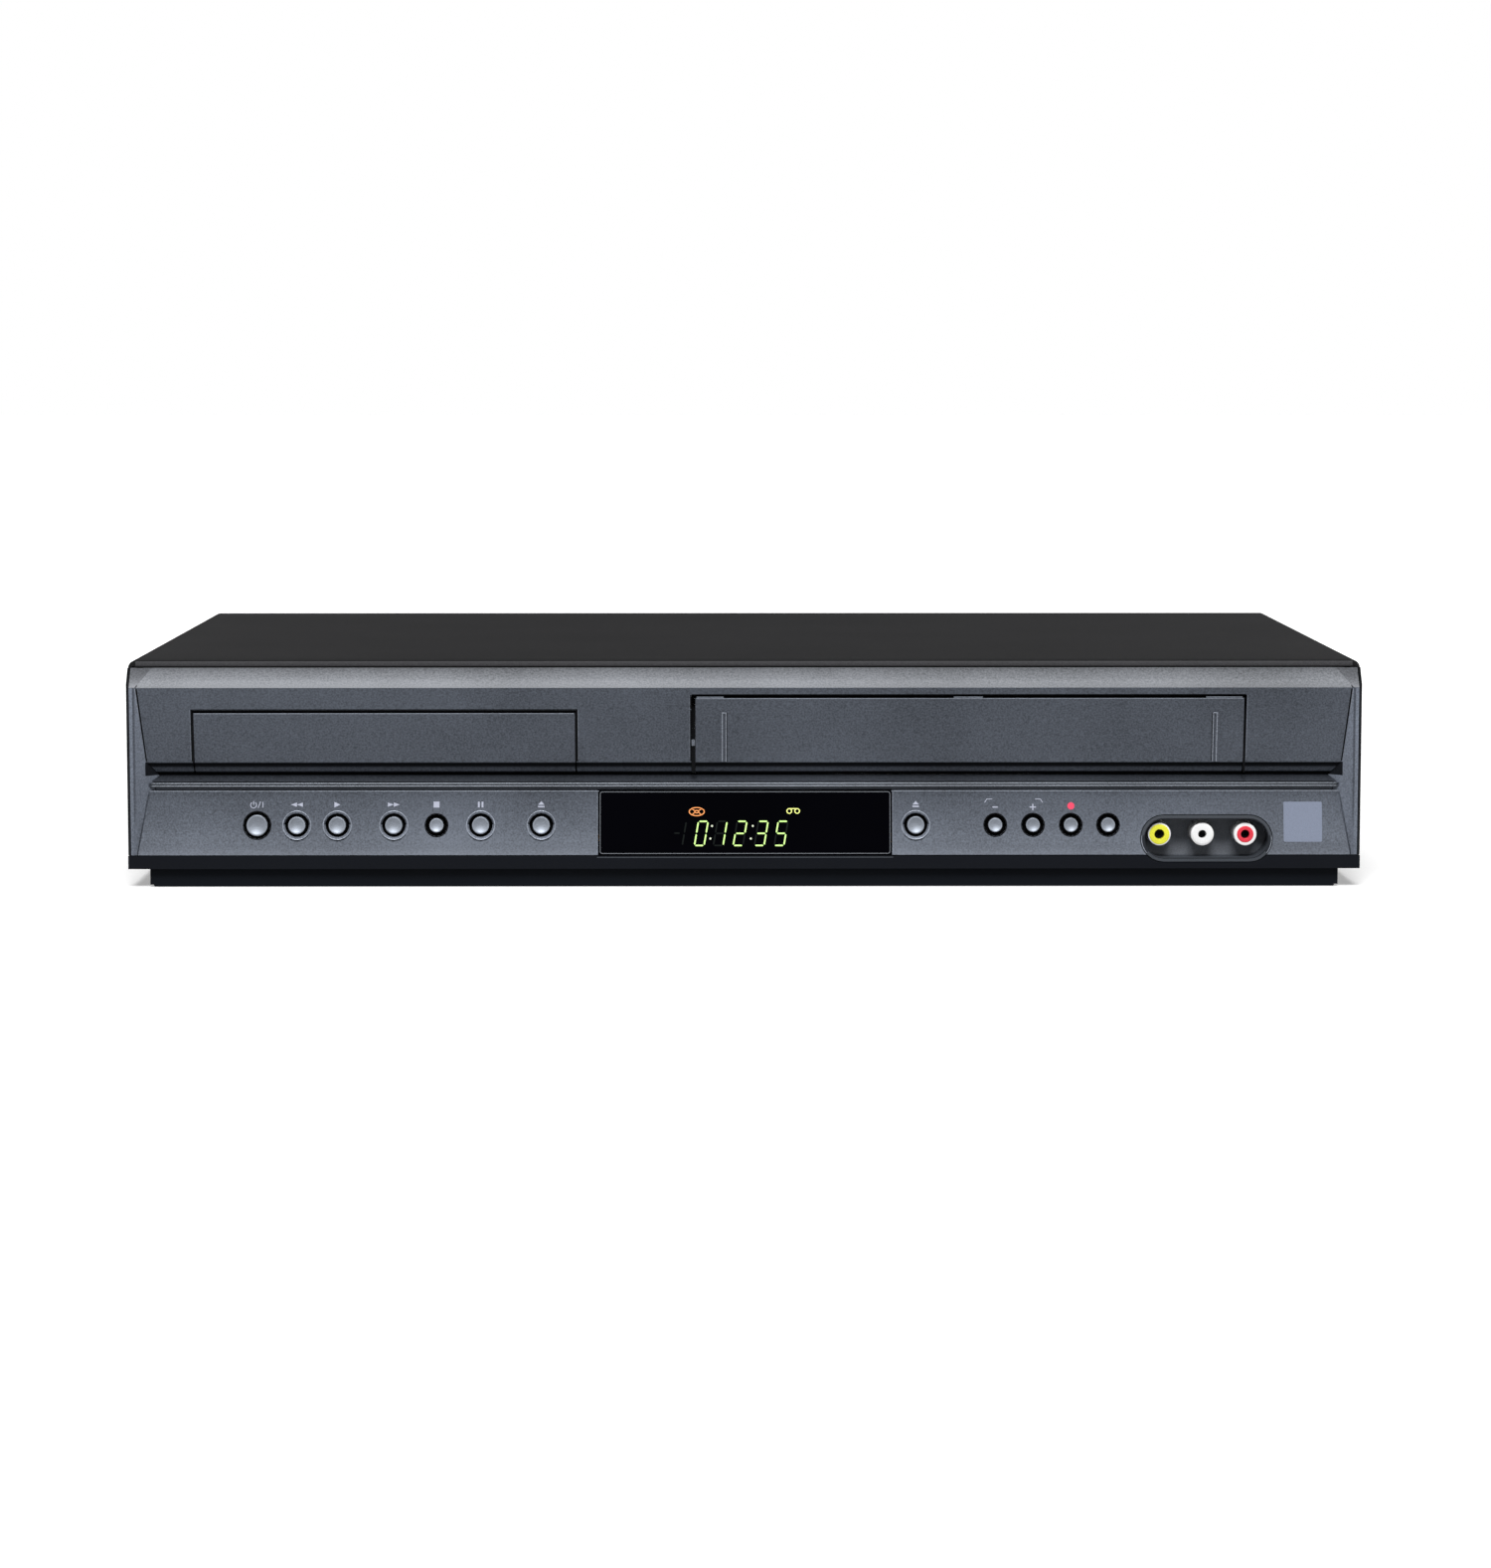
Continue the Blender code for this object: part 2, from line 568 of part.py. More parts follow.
def rack(line, back, low, high, middle, module):
    """A straight rack's outline, with its teeth towards -X and one tooth centred at the middle."""
    pitch = math.pi * module
    tip = line - ADDENDUM_SHARE * module
    root = line + DEDENDUM_SHARE * module
    half_tooth = (math.pi - BACKLASH_SHARE) * module / 4
    tip_half = half_tooth - ADDENDUM_SHARE * module * math.tan(PRESSURE_ANGLE)
    root_half = half_tooth + DEDENDUM_SHARE * module * math.tan(PRESSURE_ANGLE)
    first = math.ceil((low + root_half - middle) / pitch)
    last = math.floor((high - root_half - middle) / pitch)
    points = [(back, high), (back, low), (root, low)]
    for tooth in range(first, last + 1):
        y = middle + tooth * pitch
        points += [(root, y - root_half), (tip, y - tip_half), (tip, y + tip_half), (root, y + root_half)]
    return points + [(root, high)]


# Solids
AXES = {"X": (1, 2, 0), "Y": (0, 2, 1), "Z": (0, 1, 2)}


def placed(axis, flat, along):
    """The point at a flat place across the axis and a distance along it."""
    point = Vector((0, 0, 0))
    for index, value in zip(AXES[axis], (*flat, along)):
        point[index] = value
    return point


def solid(name, form):
    """Makes an object of the form, with its faces pointing out."""
    bmesh.ops.recalc_face_normals(form, faces=form.faces)
    mesh = bpy.data.meshes.new(name)
    form.to_mesh(mesh)
    form.free()
    item = bpy.data.objects.new(name, mesh)
    bpy.context.scene.collection.objects.link(item)
    return item


def about(middle, width):
    """The span of a width that is centred at a middle."""
    return middle - width / 2, middle + width / 2


def beside(side, near, far, middle=0):
    """The span between two distances from the middle, on its left (-1) or right (1) side."""
    return tuple(sorted((middle + side * near, middle + side * far)))


def prism(name, outline, axis, span):
    """Carries a flat outline along an axis, from one end of the span to the other."""
    form = bmesh.new()
    rings = [[form.verts.new(placed(axis, flat, along)) for flat in outline] for along in span]
    ends = [form.faces.new(ring) for ring in rings]
    bmesh.ops.bridge_loops(form, edges=[edge for face in ends for edge in face.edges])
    return solid(name, form)


def box(name, x_span, y_span, z_span):
    """A block between its lowest and highest places along X, Y and Z."""
    (left, right), (front, rear) = x_span, y_span
    return prism(name, [(left, front), (right, front), (right, rear), (left, rear)], "Z", z_span)


def rod(name, centre, radius, axis, span, steps=SMALL_STEPS):
    """A round bar along an axis."""
    return prism(name, circle(centre, radius, steps), axis, span)


def turned(name, profile, axis, centre, steps=ROUND_STEPS):
    """Turns a closed profile of (radius, distance along) points about an axis."""
    form = bmesh.new()
    middle = placed(axis, centre, 0)
    turn_axis = placed(axis, (0, 0), 1)
    places = [placed(axis, (centre[0] + radius, centre[1]), along) for radius, along in profile]
    points = [form.verts.new(place) for place in places]
    edges = [form.edges.new((points[i - 1], points[i])) for i in range(len(points))]
    bmesh.ops.spin(form, geom=[*points, *edges], cent=middle, axis=turn_axis, angle=math.tau, steps=steps)
    bmesh.ops.remove_doubles(form, verts=form.verts, dist=MERGE)
    on_axis = [vert for vert in form.verts if (vert.co - middle).cross(turn_axis).length < MERGE]
    bmesh.ops.dissolve_verts(form, verts=on_axis)
    return solid(name, form)


def combine(target, operation, tools):
    """Joins, cuts or trims the target with each tool, and keeps the tools out of the model."""
    for tool in tools:
        modifier = target.modifiers.new(operation.title(), "BOOLEAN")
        modifier.operation = operation
        modifier.object = tool
        tool.hide_render = True
        tool.display_type = "WIRE"
    return target


def fuse(target, *tools):
    """Joins each tool to the target."""
    return combine(target, "UNION", tools)


def cut(target, *tools):
    """Cuts each tool out of the target."""
    return combine(target, "DIFFERENCE", tools)


def trim(target, *tools):
    """Keeps what lies inside every tool."""
    return combine(target, "INTERSECT", tools)


def seat(item, origin):
    """Moves the object's origin to a point and leaves its shape in place."""
    item.data.transform(Matrix.Translation(-Vector(origin)))
    item.location = origin
    return item


def carry(parent, *children):
    """Parents each child to a piece that isn't turned, and leaves it in place."""
    for child in children:
        child.parent = parent
        child.location -= parent.location


# The front's surfaces
def upper_recess(z):
    """How far the upper face or its chamfer lies behind the front plane at a height."""
    if z < CHAMFER_TOP:
        share = (CHAMFER_TOP - z) / CHAMFER_HEIGHT
        return WAIST_RECESS + share * (CHAMFER_RECESS - WAIST_RECESS)
    return WAIST_RECESS * (UPPER_FACE_TOP - z) / UPPER_FACE_HEIGHT


def lower_recess(z):
    """How far the lower face lies behind the front plane at a height."""
    return LOWER_TOP_RECESS * (z - LOWER_FACE_BOTTOM) / LOWER_FACE_HEIGHT


def behind_front(points):
    """Turns (recess, height) points into (y, height) points."""
    return [(FRONT_Y + recess, z) for recess, z in points]


def plate_outline(line, wall):
    """A plate's section: its front line, and the same line a wall's thickness behind."""
    return behind_front(line + [(recess + wall, z) for recess, z in reversed(line)])


def flap_line(top):
    """The front line of a flap in the upper face, from its top down to the sill."""
    return [(upper_recess(z), z) for z in (top, CHAMFER_TOP, FLAP_BOTTOM)]


def fascia_outline():
    """The fascia's section, with a flange at its top and its bottom."""
    wall = FASCIA_WALL
    strip_inside = wall + STRIP_SETBACK * (1 - wall / STRIP_HEIGHT)
    foot_z = LOWER_FACE_BOTTOM + wall
    outside = [
        (FASCIA_FLANGE, STRIP_TOP), (STRIP_SETBACK, STRIP_TOP), (0, UPPER_FACE_TOP),
        (WAIST_RECESS, CHAMFER_TOP), (CHAMFER_RECESS, LEDGE_TOP), (LEDGE_RECESS, LEDGE_BOTTOM),
        (GROOVE_RECESS, LEDGE_BOTTOM), (GROOVE_RECESS, LOWER_FACE_TOP), (LOWER_TOP_RECESS, LOWER_FACE_TOP),
        (0, LOWER_FACE_BOTTOM), (FASCIA_FLANGE, LOWER_FACE_BOTTOM),
    ]
    inside = [
        (FASCIA_FLANGE, foot_z), (lower_recess(foot_z) + wall, foot_z),
        (LOWER_TOP_RECESS + wall, LOWER_FACE_TOP), (GROOVE_RECESS + wall, LOWER_FACE_TOP),
        (GROOVE_RECESS + wall, LEDGE_BOTTOM),
        (CHAMFER_RECESS + wall, LEDGE_TOP), (WAIST_RECESS + wall, CHAMFER_TOP), (wall, UPPER_FACE_TOP),
        (strip_inside, STRIP_TOP - wall), (FASCIA_FLANGE, STRIP_TOP - wall),
    ]
    return behind_front(outside + inside)


def fascia_plan():
    """The fascia's plan: its ends slant in at 45 degrees, as the end caps' chamfers do."""
    half = PANEL_WIDTH / 2 - FIT * math.sqrt(2)
    waist = half - CHAMFER_RECESS
    turn = FRONT_Y + CHAMFER_RECESS
    rear = FRONT_Y + FASCIA_FLANGE + OVERRUN
    right = [(half + OVERRUN, FRONT_Y - OVERRUN), (waist, turn), (waist, rear)]
    return right + [(-x, y) for x, y in reversed(right)]


def button_x(name):
    """A button's place across the front."""
    return BUTTON_SHARES[name][0] * WIDTH


def button_hole(name):
    """The tool that cuts a button's hole, with a shallow dish round some of them."""
    kind = BUTTON_SHARES[name][1]
    radius = HOLE_RADII[kind]
    far = FRONT_Y + FASCIA_FLANGE
    near = FRONT_Y - OVERRUN
    profile = [(0, far), (radius, far), (radius, near), (0, near)]
    if kind == "dished":
        bottom = FRONT_Y + lower_recess(BUTTON_Z) + DISH_DEPTH
        slope = (DISH_RADIUS - radius) / DISH_DEPTH
        profile[2:3] = [(radius, bottom), (radius + slope * (bottom - near), near)]
    return turned("hole", profile, "Y", (button_x(name), BUTTON_Z), MIDDLE_STEPS)


def pocket_outline(grow):
    """The jack pocket's outline seen from the front, grown all round."""
    centre = (POCKET_X, POCKET_BOTTOM + POCKET_HEIGHT / 2)
    return stadium(centre, POCKET_WIDTH + 2 * grow, POCKET_HEIGHT + 2 * grow)


def door_axis():
    """The (y, z) place of the door's hinge pins."""
    z = DOOR_TOP - DOOR_PIN_DROP
    return FRONT_Y + upper_recess(z) + DOOR_PIN_DEPTH, z


def door_opening():
    """Where the fascia's opening for the door starts and ends across the front."""
    left, right = about(DOOR_X, DOOR_WIDTH)
    return left - DOOR_GAP_LEFT, right + DOOR_GAP_RIGHT


def make_front_panel():
    """The fascia, with its openings, the door's ears and the bosses of the front board."""
    panel = prism("front_panel", fascia_outline(), "X", about(0, WIDTH))
    trim(panel, prism("plan", fascia_plan(), "Z", (0, HEIGHT)))
    left, right = door_opening()
    axis_y, axis_z = door_axis()
    ear_y = (axis_y - DOOR_WALL / 2, axis_y + DOOR_EAR)
    ear_z = about(axis_z, 2 * DOOR_EAR)
    boss_y = (FRONT_Y + FASCIA_WALL + LOWER_TOP_RECESS / 2, front_board_y() - FIT)
    fuse(
        panel,
        box("left ear", (left - DOOR_EAR, left + HAIR), ear_y, ear_z),
        box("right ear", (right - HAIR, right + DOOR_EAR), ear_y, ear_z),
        *[rod("boss", place, BOARD_BOSS_RADIUS, "Y", boss_y) for place in front_board_bosses()],
    )
    sill = LEDGE_TOP + HAIR
    near = FRONT_Y - OVERRUN
    through = (near, FRONT_Y + FASCIA_FLANGE - FASCIA_WALL / 2)
    tray_x = about(TRAY_X, TRAY_FRONT_WIDTH + 2 * TRAY_GAP_SIDE)
    window_x = about(WINDOW_OFFSET, WINDOW_WIDTH + 2 * FIT)
    window_y = (near, FRONT_Y + LOWER_TOP_RECESS + FASCIA_WALL + FIT)
    pocket_y = (near, FRONT_Y + FASCIA_FLANGE + OVERRUN)
    pins_x = (left - DOOR_EAR - OVERRUN, right + DOOR_EAR + OVERRUN)
    cut(
        panel,
        box("tray opening", tray_x, through, (sill, TRAY_FRONT_TOP + TRAY_GAP_TOP)),
        box("door opening", (left, right), through, (sill, DOOR_TOP + DOOR_GAP_TOP)),
        box("window opening", window_x, window_y, (LOWER_FACE_BOTTOM - OVERRUN, LOWER_FACE_TOP + FIT)),
        prism("pocket opening", pocket_outline(FIT), "Y", pocket_y),
        rod("pin bores", (axis_y, axis_z), DOOR_PIN_RADIUS + FIT, "X", pins_x),
        *[button_hole(name) for name in BUTTON_SHARES],
    )
    return dress(panel, "silver plastic")


def make_end_cap(name, side):
    """An end cap: a thin shell with a slanted inner face, a tongue inside the cover and a solid top."""
    outer = WIDTH / 2
    face = PANEL_WIDTH / 2
    inner = face - CHAMFER_RECESS
    tongue = COVER_INSIDE - FIT
    wall = END_CAP_WALL
    slant = wall * math.sqrt(2)
    points = [
        (outer, END_CAP_EDGE), (outer - END_CAP_EDGE, 0), (face, 0), (inner, CHAMFER_RECESS),
        (inner, END_CAP_DEPTH), (inner + wall, END_CAP_DEPTH),
        (inner + wall, CHAMFER_RECESS + slant - wall), (tongue - wall, face + slant - tongue + wall),
        (tongue - wall, END_CAP_REACH), (tongue, END_CAP_REACH),
        (tongue, STRIP_SETBACK), (outer, STRIP_SETBACK),
    ]
    outline = [(side * x, FRONT_Y + recess) for x, recess in points]
    cap = prism(name, outline, "Z", (LOWER_FACE_BOTTOM, STRIP_TOP))
    near_x, far_x = inner + wall / 2, tongue - wall / 2
    middle = face + slant / 2
    filling = [
        (near_x, middle - near_x), (far_x, middle - far_x), (far_x, END_CAP_REACH - HAIR),
        (near_x, END_CAP_REACH - HAIR),
    ]
    filling_outline = [(side * x, FRONT_Y + recess) for x, recess in filling]
    fuse(cap, prism("filling", filling_outline, "Z", (UPPER_FACE_TOP - wall, STRIP_TOP - HAIR)))
    slope = STRIP_SETBACK / STRIP_HEIGHT
    start = UPPER_FACE_TOP + HAIR
    high = STRIP_TOP + OVERRUN
    low = start - OVERRUN / slope
    wedge = behind_front([(-OVERRUN, low), (-OVERRUN, high), (slope * (high - start), high)])
    cut(cap, prism("strip slope", wedge, "X", (-WIDTH, WIDTH)))
    return dress(cap, "silver plastic")


def make_trim_bar():
    """The double bead that lies in the groove across the fascia."""
    quarter = TRIM_HEIGHT / 4
    valley = TRIM_RECESS + TRIM_BEAD
    back = GROOVE_RECESS - FIT
    line = [
        (back, TRIM_BOTTOM), (valley, TRIM_BOTTOM), (TRIM_RECESS, TRIM_BOTTOM + quarter),
        (valley, TRIM_BOTTOM + 2 * quarter), (TRIM_RECESS, TRIM_TOP - quarter),
        (valley, TRIM_TOP), (back, TRIM_TOP),
    ]
    bar = prism("trim_bar", behind_front(line), "X", about(0, WIDTH))
    trim(bar, prism("plan", fascia_plan(), "Z", (0, HEIGHT)))
    return dress(bar, "bright plastic")


def make_front_plinth():
    """The black band under the fascia, set back and narrower in its lower part."""
    shelf = FLOOR_BOTTOM
    back = PLINTH_RECESS + PLINTH_WALL
    rear = CHASSIS_SETBACK - FIT
    line = [
        (0, PLINTH_TOP), (0, PLINTH_STEP_TOP), (PLINTH_RECESS, PLINTH_STEP_TOP),
        (PLINTH_RECESS, PLINTH_CLEARANCE), (back, PLINTH_CLEARANCE), (back, shelf), (rear, shelf),
        (rear, shelf + CHASSIS_WALL), (back, shelf + CHASSIS_WALL), (back, PLINTH_TOP),
    ]
    plinth = prism("front_plinth", behind_front(line), "X", about(0, WIDTH))
    past_rear = FRONT_Y + CHASSIS_SETBACK
    for side in (-1, 1):
        end = beside(side, WIDTH / 2 - PLINTH_END_STEP, WIDTH / 2 + OVERRUN)
        cut(
            plinth,
            box("low end", end, (FRONT_Y - OVERRUN, past_rear), (0, PLINTH_STEP_TOP)),
            box("end relief", end, (FRONT_Y + STRIP_SETBACK, past_rear), (0, PLINTH_TOP + OVERRUN)),
        )
    cut(plinth, prism("pocket notch", pocket_outline(FIT), "Y", (FRONT_Y - OVERRUN, past_rear)))
    return dress(plinth, "black plastic")


def make_display_window():
    """The glossy window, a little proud of the lower face."""
    line = [(LOWER_TOP_RECESS - WINDOW_PROUD, LOWER_FACE_TOP), (FIT - WINDOW_PROUD, LOWER_FACE_BOTTOM)]
    section = plate_outline(line, WINDOW_WALL)
    window = prism("display_window", section, "X", about(WINDOW_OFFSET, WINDOW_WIDTH))
    return dress(window, "black window")


def make_jack_pocket():
    """The cup round the front jacks, cut to the slope of the face."""
    floor_y = FRONT_Y + POCKET_DEPTH
    cup = prism("jack_pocket", pocket_outline(0), "Y", (FRONT_Y, floor_y + POCKET_WALL))
    slope = LOWER_TOP_RECESS / LOWER_FACE_HEIGHT
    high = LOWER_FACE_BOTTOM + POCKET_HEIGHT
    air = [
        (-OVERRUN, LOWER_FACE_BOTTOM - OVERRUN / slope),
        (slope * POCKET_HEIGHT - POCKET_PROUD, high), (-OVERRUN, high),
    ]
    cut(
        cup,
        prism("hollow", pocket_outline(-POCKET_WALL), "Y", (FRONT_Y - OVERRUN, floor_y)),
        prism("face slope", behind_front(air), "X", (0, WIDTH / 2)),
    )
    through = about(floor_y, 2 * OVERRUN)
    for place in jack_places():
        cut(cup, rod("jack hole", place, JACK_RADIUS + FIT, "Y", through, MIDDLE_STEPS))
    return dress(cup, "grey plastic")


def jack_places():
    """The (x, z) places of the front jacks."""
    return [(POCKET_X - JACK_SHIFT + step * JACK_PITCH, JACK_Z) for step in (-1, 0, 1)]


def make_front_jack_block():
    """Three phono jacks that stand out of one housing behind the pocket."""
    front = FRONT_Y + POCKET_DEPTH + POCKET_WALL + FIT
    width = POCKET_WIDTH - POCKET_HEIGHT + 2 * JACK_RADIUS
    block_y = (front, front + JACK_BLOCK_DEPTH)
    block_z = (JACK_Z - 2 * JACK_RADIUS + JACK_RISE, JACK_Z + 2 * JACK_RADIUS)
    block = box("front_jack_block", about(POCKET_X, width), block_y, block_z)
    tip = FRONT_Y + JACK_TIP_RECESS
    add_jacks(block, jack_places(), (tip, front + OVERRUN), (tip - OVERRUN, tip + JACK_BORE_DEPTH))
    return dress(block, "white plastic")


def add_jacks(block, places, barrel_y, bore_y):
    """Adds a round barrel at each place, and then bores them all."""
    fuse(block, *[rod("barrel", place, JACK_RADIUS, "Y", barrel_y, MIDDLE_STEPS) for place in places])
    cut(block, *[rod("bore", place, JACK_BORE, "Y", bore_y) for place in places])


def flange_y(kind):
    """Where a button's flange starts behind the face: clear of the wall at its top edge."""
    top = BUTTON_Z + HOLE_RADII[kind] + BUTTON_FLANGE_LAP
    return FRONT_Y + lower_recess(top) + FASCIA_WALL + FIT


def stem_end_y():
    """Where the buttons' stems end."""
    return flange_y("power") + BUTTON_FLANGE + BUTTON_STEM_LENGTH


def front_board_y():
    """The front of the front board, a press and a gap behind the stems and the switches."""
    return stem_end_y() + BUTTON_TRAVEL + FIT + PLUNGER_LENGTH + SWITCH_DEPTH


def make_button(name):
    """A button: its cap, sloped as the face, its flange behind the wall and its stem."""
    kind = BUTTON_SHARES[name][1]
    centre = (button_x(name), BUTTON_Z)
    radius = CAP_RADII[kind]
    wide = HOLE_RADII[kind] + BUTTON_FLANGE_LAP
    face = FRONT_Y + lower_recess(BUTTON_Z) - BUTTON_PROUD
    flange = flange_y(kind)
    flange_back = flange + BUTTON_FLANGE
    end = stem_end_y()
    profile = [
        (0, face), (radius - BUTTON_CHAMFER, face), (radius, face + BUTTON_CHAMFER), (radius, flange),
        (wide, flange), (wide, flange_back), (BUTTON_STEM_RADIUS, flange_back),
        (BUTTON_STEM_RADIUS, end), (0, end),
    ]
    button = turned(name, profile, "Y", centre, MIDDLE_STEPS)
    slope = LOWER_TOP_RECESS / LOWER_FACE_HEIGHT
    for vertex in button.data.vertices:
        if vertex.co.y < face + 2 * BUTTON_CHAMFER:
            vertex.co.y += slope * (vertex.co.z - BUTTON_Z)
    seat(button, (centre[0], face, centre[1]))
    return dress(button, "bright plastic")


def make_tray_front():
    """The disc tray's front, cut from the fascia's line, with a rib that meets the tray."""
    section = plate_outline(flap_line(TRAY_FRONT_TOP), FASCIA_WALL)
    front = prism("tray_front", section, "X", about(TRAY_X, TRAY_FRONT_WIDTH))
    rib_x = about(TRAY_X, TRAY_WIDTH - 2 * TRAY_SIDE_BAR)
    rib_y = (FRONT_Y + FASCIA_WALL + WAIST_RECESS / 2, TRAY_FRONT_Y - FIT)
    return dress(fuse(front, box("rib", rib_x, rib_y, (TRAY_BOTTOM, TRAY_TOP))), "silver plastic")


def make_cassette_door():
    """The cassette flap, with its hinge pins and its two upright ribs."""
    left, right = about(DOOR_X, DOOR_WIDTH)
    section = plate_outline(flap_line(DOOR_TOP), DOOR_WALL)
    door = prism("cassette_door", section, "X", (left, right))
    axis = door_axis()
    opening = door_opening()
    reach = DOOR_PIN_LENGTH - FIT
    fuse(
        door,
        rod("left pin", axis, DOOR_PIN_RADIUS, "X", (opening[0] - reach, left + OVERRUN)),
        rod("right pin", axis, DOOR_PIN_RADIUS, "X", (right - OVERRUN, opening[1] + reach)),
    )
    rib_top = DOOR_TOP - DOOR_RIB_TOP_DROP
    line = [(upper_recess(z) - DOOR_RIB_PROUD, z) for z in (rib_top, CHAMFER_TOP + FIT)]
    rib_section = plate_outline(line, DOOR_RIB_PROUD + DOOR_WALL / 2)
    for middle in (left + DOOR_RIB_INSET, right - DOOR_RIB_INSET):
        fuse(door, prism("rib", rib_section, "X", about(middle, DOOR_RIB_WIDTH)))
    seat(door, (DOOR_X, *axis))
    return dress(door, "silver plastic")


# The casing
def make_top_cover():
    """The sheet cover over the top and both sides, with a folded hem along its front."""
    half = WIDTH / 2
    corner = COVER_CORNER
    centre = (half - corner, HEIGHT - corner)
    outer = arc(centre, corner, 0, math.pi / 2, CORNER_STEPS)
    inner = arc(centre, corner - COVER_WALL, math.pi / 2, -math.pi / 2, CORNER_STEPS)
    outside = [(half, FLOOR_TOP), *outer]
    inside = [*inner, (COVER_INSIDE, FLOOR_TOP)]
    left = [(-x, z) for x, z in reversed(outside)] + [(-x, z) for x, z in reversed(inside)]
    section = outside + left + inside
    front_y = FRONT_Y + STRIP_SETBACK + FIT
    cover = prism("top_cover", section, "Y", (front_y, REAR_OUTSIDE))
    hem_z = (HEIGHT - HEM_HEIGHT, HEIGHT - COVER_WALL / 2)
    fuse(cover, box("hem", about(0, WIDTH - 2 * corner), (front_y, front_y + HEM_DEPTH), hem_z))
    return dress(cover, "black sheet")


def make_base_chassis():
    """The bottom tray: floor, side and rear flanges, and the bosses that carry what is inside."""
    wall = CHASSIS_WALL
    high = FLOOR_BOTTOM + CHASSIS_FLANGE_HEIGHT
    outside_y = (CHASSIS_FRONT, CHASSIS_REAR)
    chassis = box("base_chassis", about(0, 2 * CHASSIS_HALF), outside_y, (FLOOR_BOTTOM, high))
    inside_y = (CHASSIS_FRONT - OVERRUN, CHASSIS_REAR - wall)
    cut(chassis, box("inside", about(0, 2 * (CHASSIS_HALF - wall)), inside_y, (FLOOR_TOP, high + OVERRUN)))
    sunk = FLOOR_TOP - wall / 2
    boards = board_bosses(POWER_BOARD_X) + board_bosses(MAIN_BOARD_X)
    for places, radius, top in (
        (loader_legs(), LOADER_LEG_RADIUS + wall, FLOOR_TOP + wall),
        (deck_bosses(), DECK_BOSS_RADIUS, DECK_BOTTOM - FIT),
        (boards, BOARD_BOSS_RADIUS, BOARD_BOTTOM - FIT),
    ):
        fuse(chassis, *[rod("boss", place, radius, "Z", (sunk, top)) for place in places])
    return dress(chassis, "black plastic")


def make_rear_panel():
    """The rear sheet, with the jacks' holes, the inlet's hole and a row of vents."""
    half = COVER_INSIDE - FIT
    high = COVER_UNDERSIDE - FIT
    bend = COVER_CORNER - COVER_WALL
    right = [(half, FLOOR_BOTTOM), (half, high - bend), (half - bend, high)]
    outline = right + [(-x, z) for x, z in reversed(right)]
    panel = prism("rear_panel", outline, "Y", (REAR_INSIDE, REAR_OUTSIDE))
    through = (REAR_INSIDE - OVERRUN, REAR_OUTSIDE + OVERRUN)
    hole = JACK_RADIUS + FIT
    cut(panel, *[rod("jack hole", place, hole, "Y", through, MIDDLE_STEPS) for place in rear_jacks()])
    cut(panel, prism("inlet hole", inlet_outline(INLET_WALL + FIT), "Y", through))
    top = COVER_UNDERSIDE - VENT_PITCH
    for index in range(VENT_COUNT):
        x = DOOR_X + (index - (VENT_COUNT - 1) / 2) * VENT_PITCH
        cut(panel, box("vent", about(x, VENT_WIDTH), through, (top - VENT_HEIGHT, top)))
    return dress(panel, "black sheet")


def make_foot(name, side_x, side_y):
    """A round rubber foot under one corner of the chassis."""
    inset = FOOT_RADIUS + FOOT_CHAMFER
    x = side_x * (WIDTH / 2 - FOOT_INSET)
    y = CHASSIS_FRONT + inset if side_y < 0 else CHASSIS_REAR - inset
    profile = [
        (0, 0), (FOOT_RADIUS - FOOT_CHAMFER, 0), (FOOT_RADIUS, FOOT_CHAMFER),
        (FOOT_RADIUS, FOOT_HEIGHT), (0, FOOT_HEIGHT),
    ]
    foot = turned(name, profile, "Z", (x, y))
    seat(foot, (x, y, 0))
    return dress(foot, "rubber")


# The disc drive
def make_disc_tray():
    """The tray: wells for both disc sizes, a slot for the turntable, hollow below, with its rack."""
    tray_z = (TRAY_BOTTOM, TRAY_TOP)
    tray = box("disc_tray", about(TRAY_X, TRAY_WIDTH), (TRAY_FRONT_Y, TRAY_REAR), tray_z)
    centre = (TRAY_X, DISC_Y)
    above = TRAY_TOP + OVERRUN
    below = TRAY_BOTTOM - OVERRUN
    hollow_y = (TRAY_FRONT_Y + TRAY_FRONT_BAR, TRAY_REAR + OVERRUN)
    cut(
        tray,
        rod("disc well", centre, DISC_DIAMETER / 2 + DISC_PLAY, "Z", (WELL_Z, above), 2 * ROUND_STEPS),
        rod("small well", centre, SMALL_DISC_RADIUS, "Z", (SMALL_WELL_Z, above), 2 * ROUND_STEPS),
        box("hollow", about(TRAY_X, TRAY_WIDTH - 2 * TRAY_SIDE_BAR), hollow_y, (below, TRAY_CEILING)),
    )
    back = TRAY_X + TRAY_WIDTH / 2 - TRAY_SIDE_BAR / 2
    teeth = rack(TRAY_X + RACK_LINE, back, hollow_y[0] - OVERRUN, TRAY_REAR, PINION_Y, GEAR_MODULE)
    fuse(tray, prism("rack", teeth, "Z", (PINION_BOTTOM, TRAY_CEILING + TRAY_FLOOR / 2)))
    slot_y = (DISC_Y, TRAY_REAR + OVERRUN)
    cut(
        tray,
        rod("slot end", centre, TRAY_SLOT_RADIUS, "Z", (below, above), ROUND_STEPS),
        box("slot", about(TRAY_X, 2 * TRAY_SLOT_RADIUS), slot_y, (below - HAIR, above + HAIR)),
    )
    seat(tray, (TRAY_X, TRAY_FRONT_Y, TRAY_BOTTOM))
    return dress(tray, "black plastic")


def loader_legs():
    """The places of the loader's four legs."""
    front, rear = LOADER_FRONT + LOADER_EAR / 2, LOADER_REAR - LOADER_EAR / 2
    return [(TRAY_X + side * LEG_X, y) for side in (-1, 1) for y in (front, rear)]


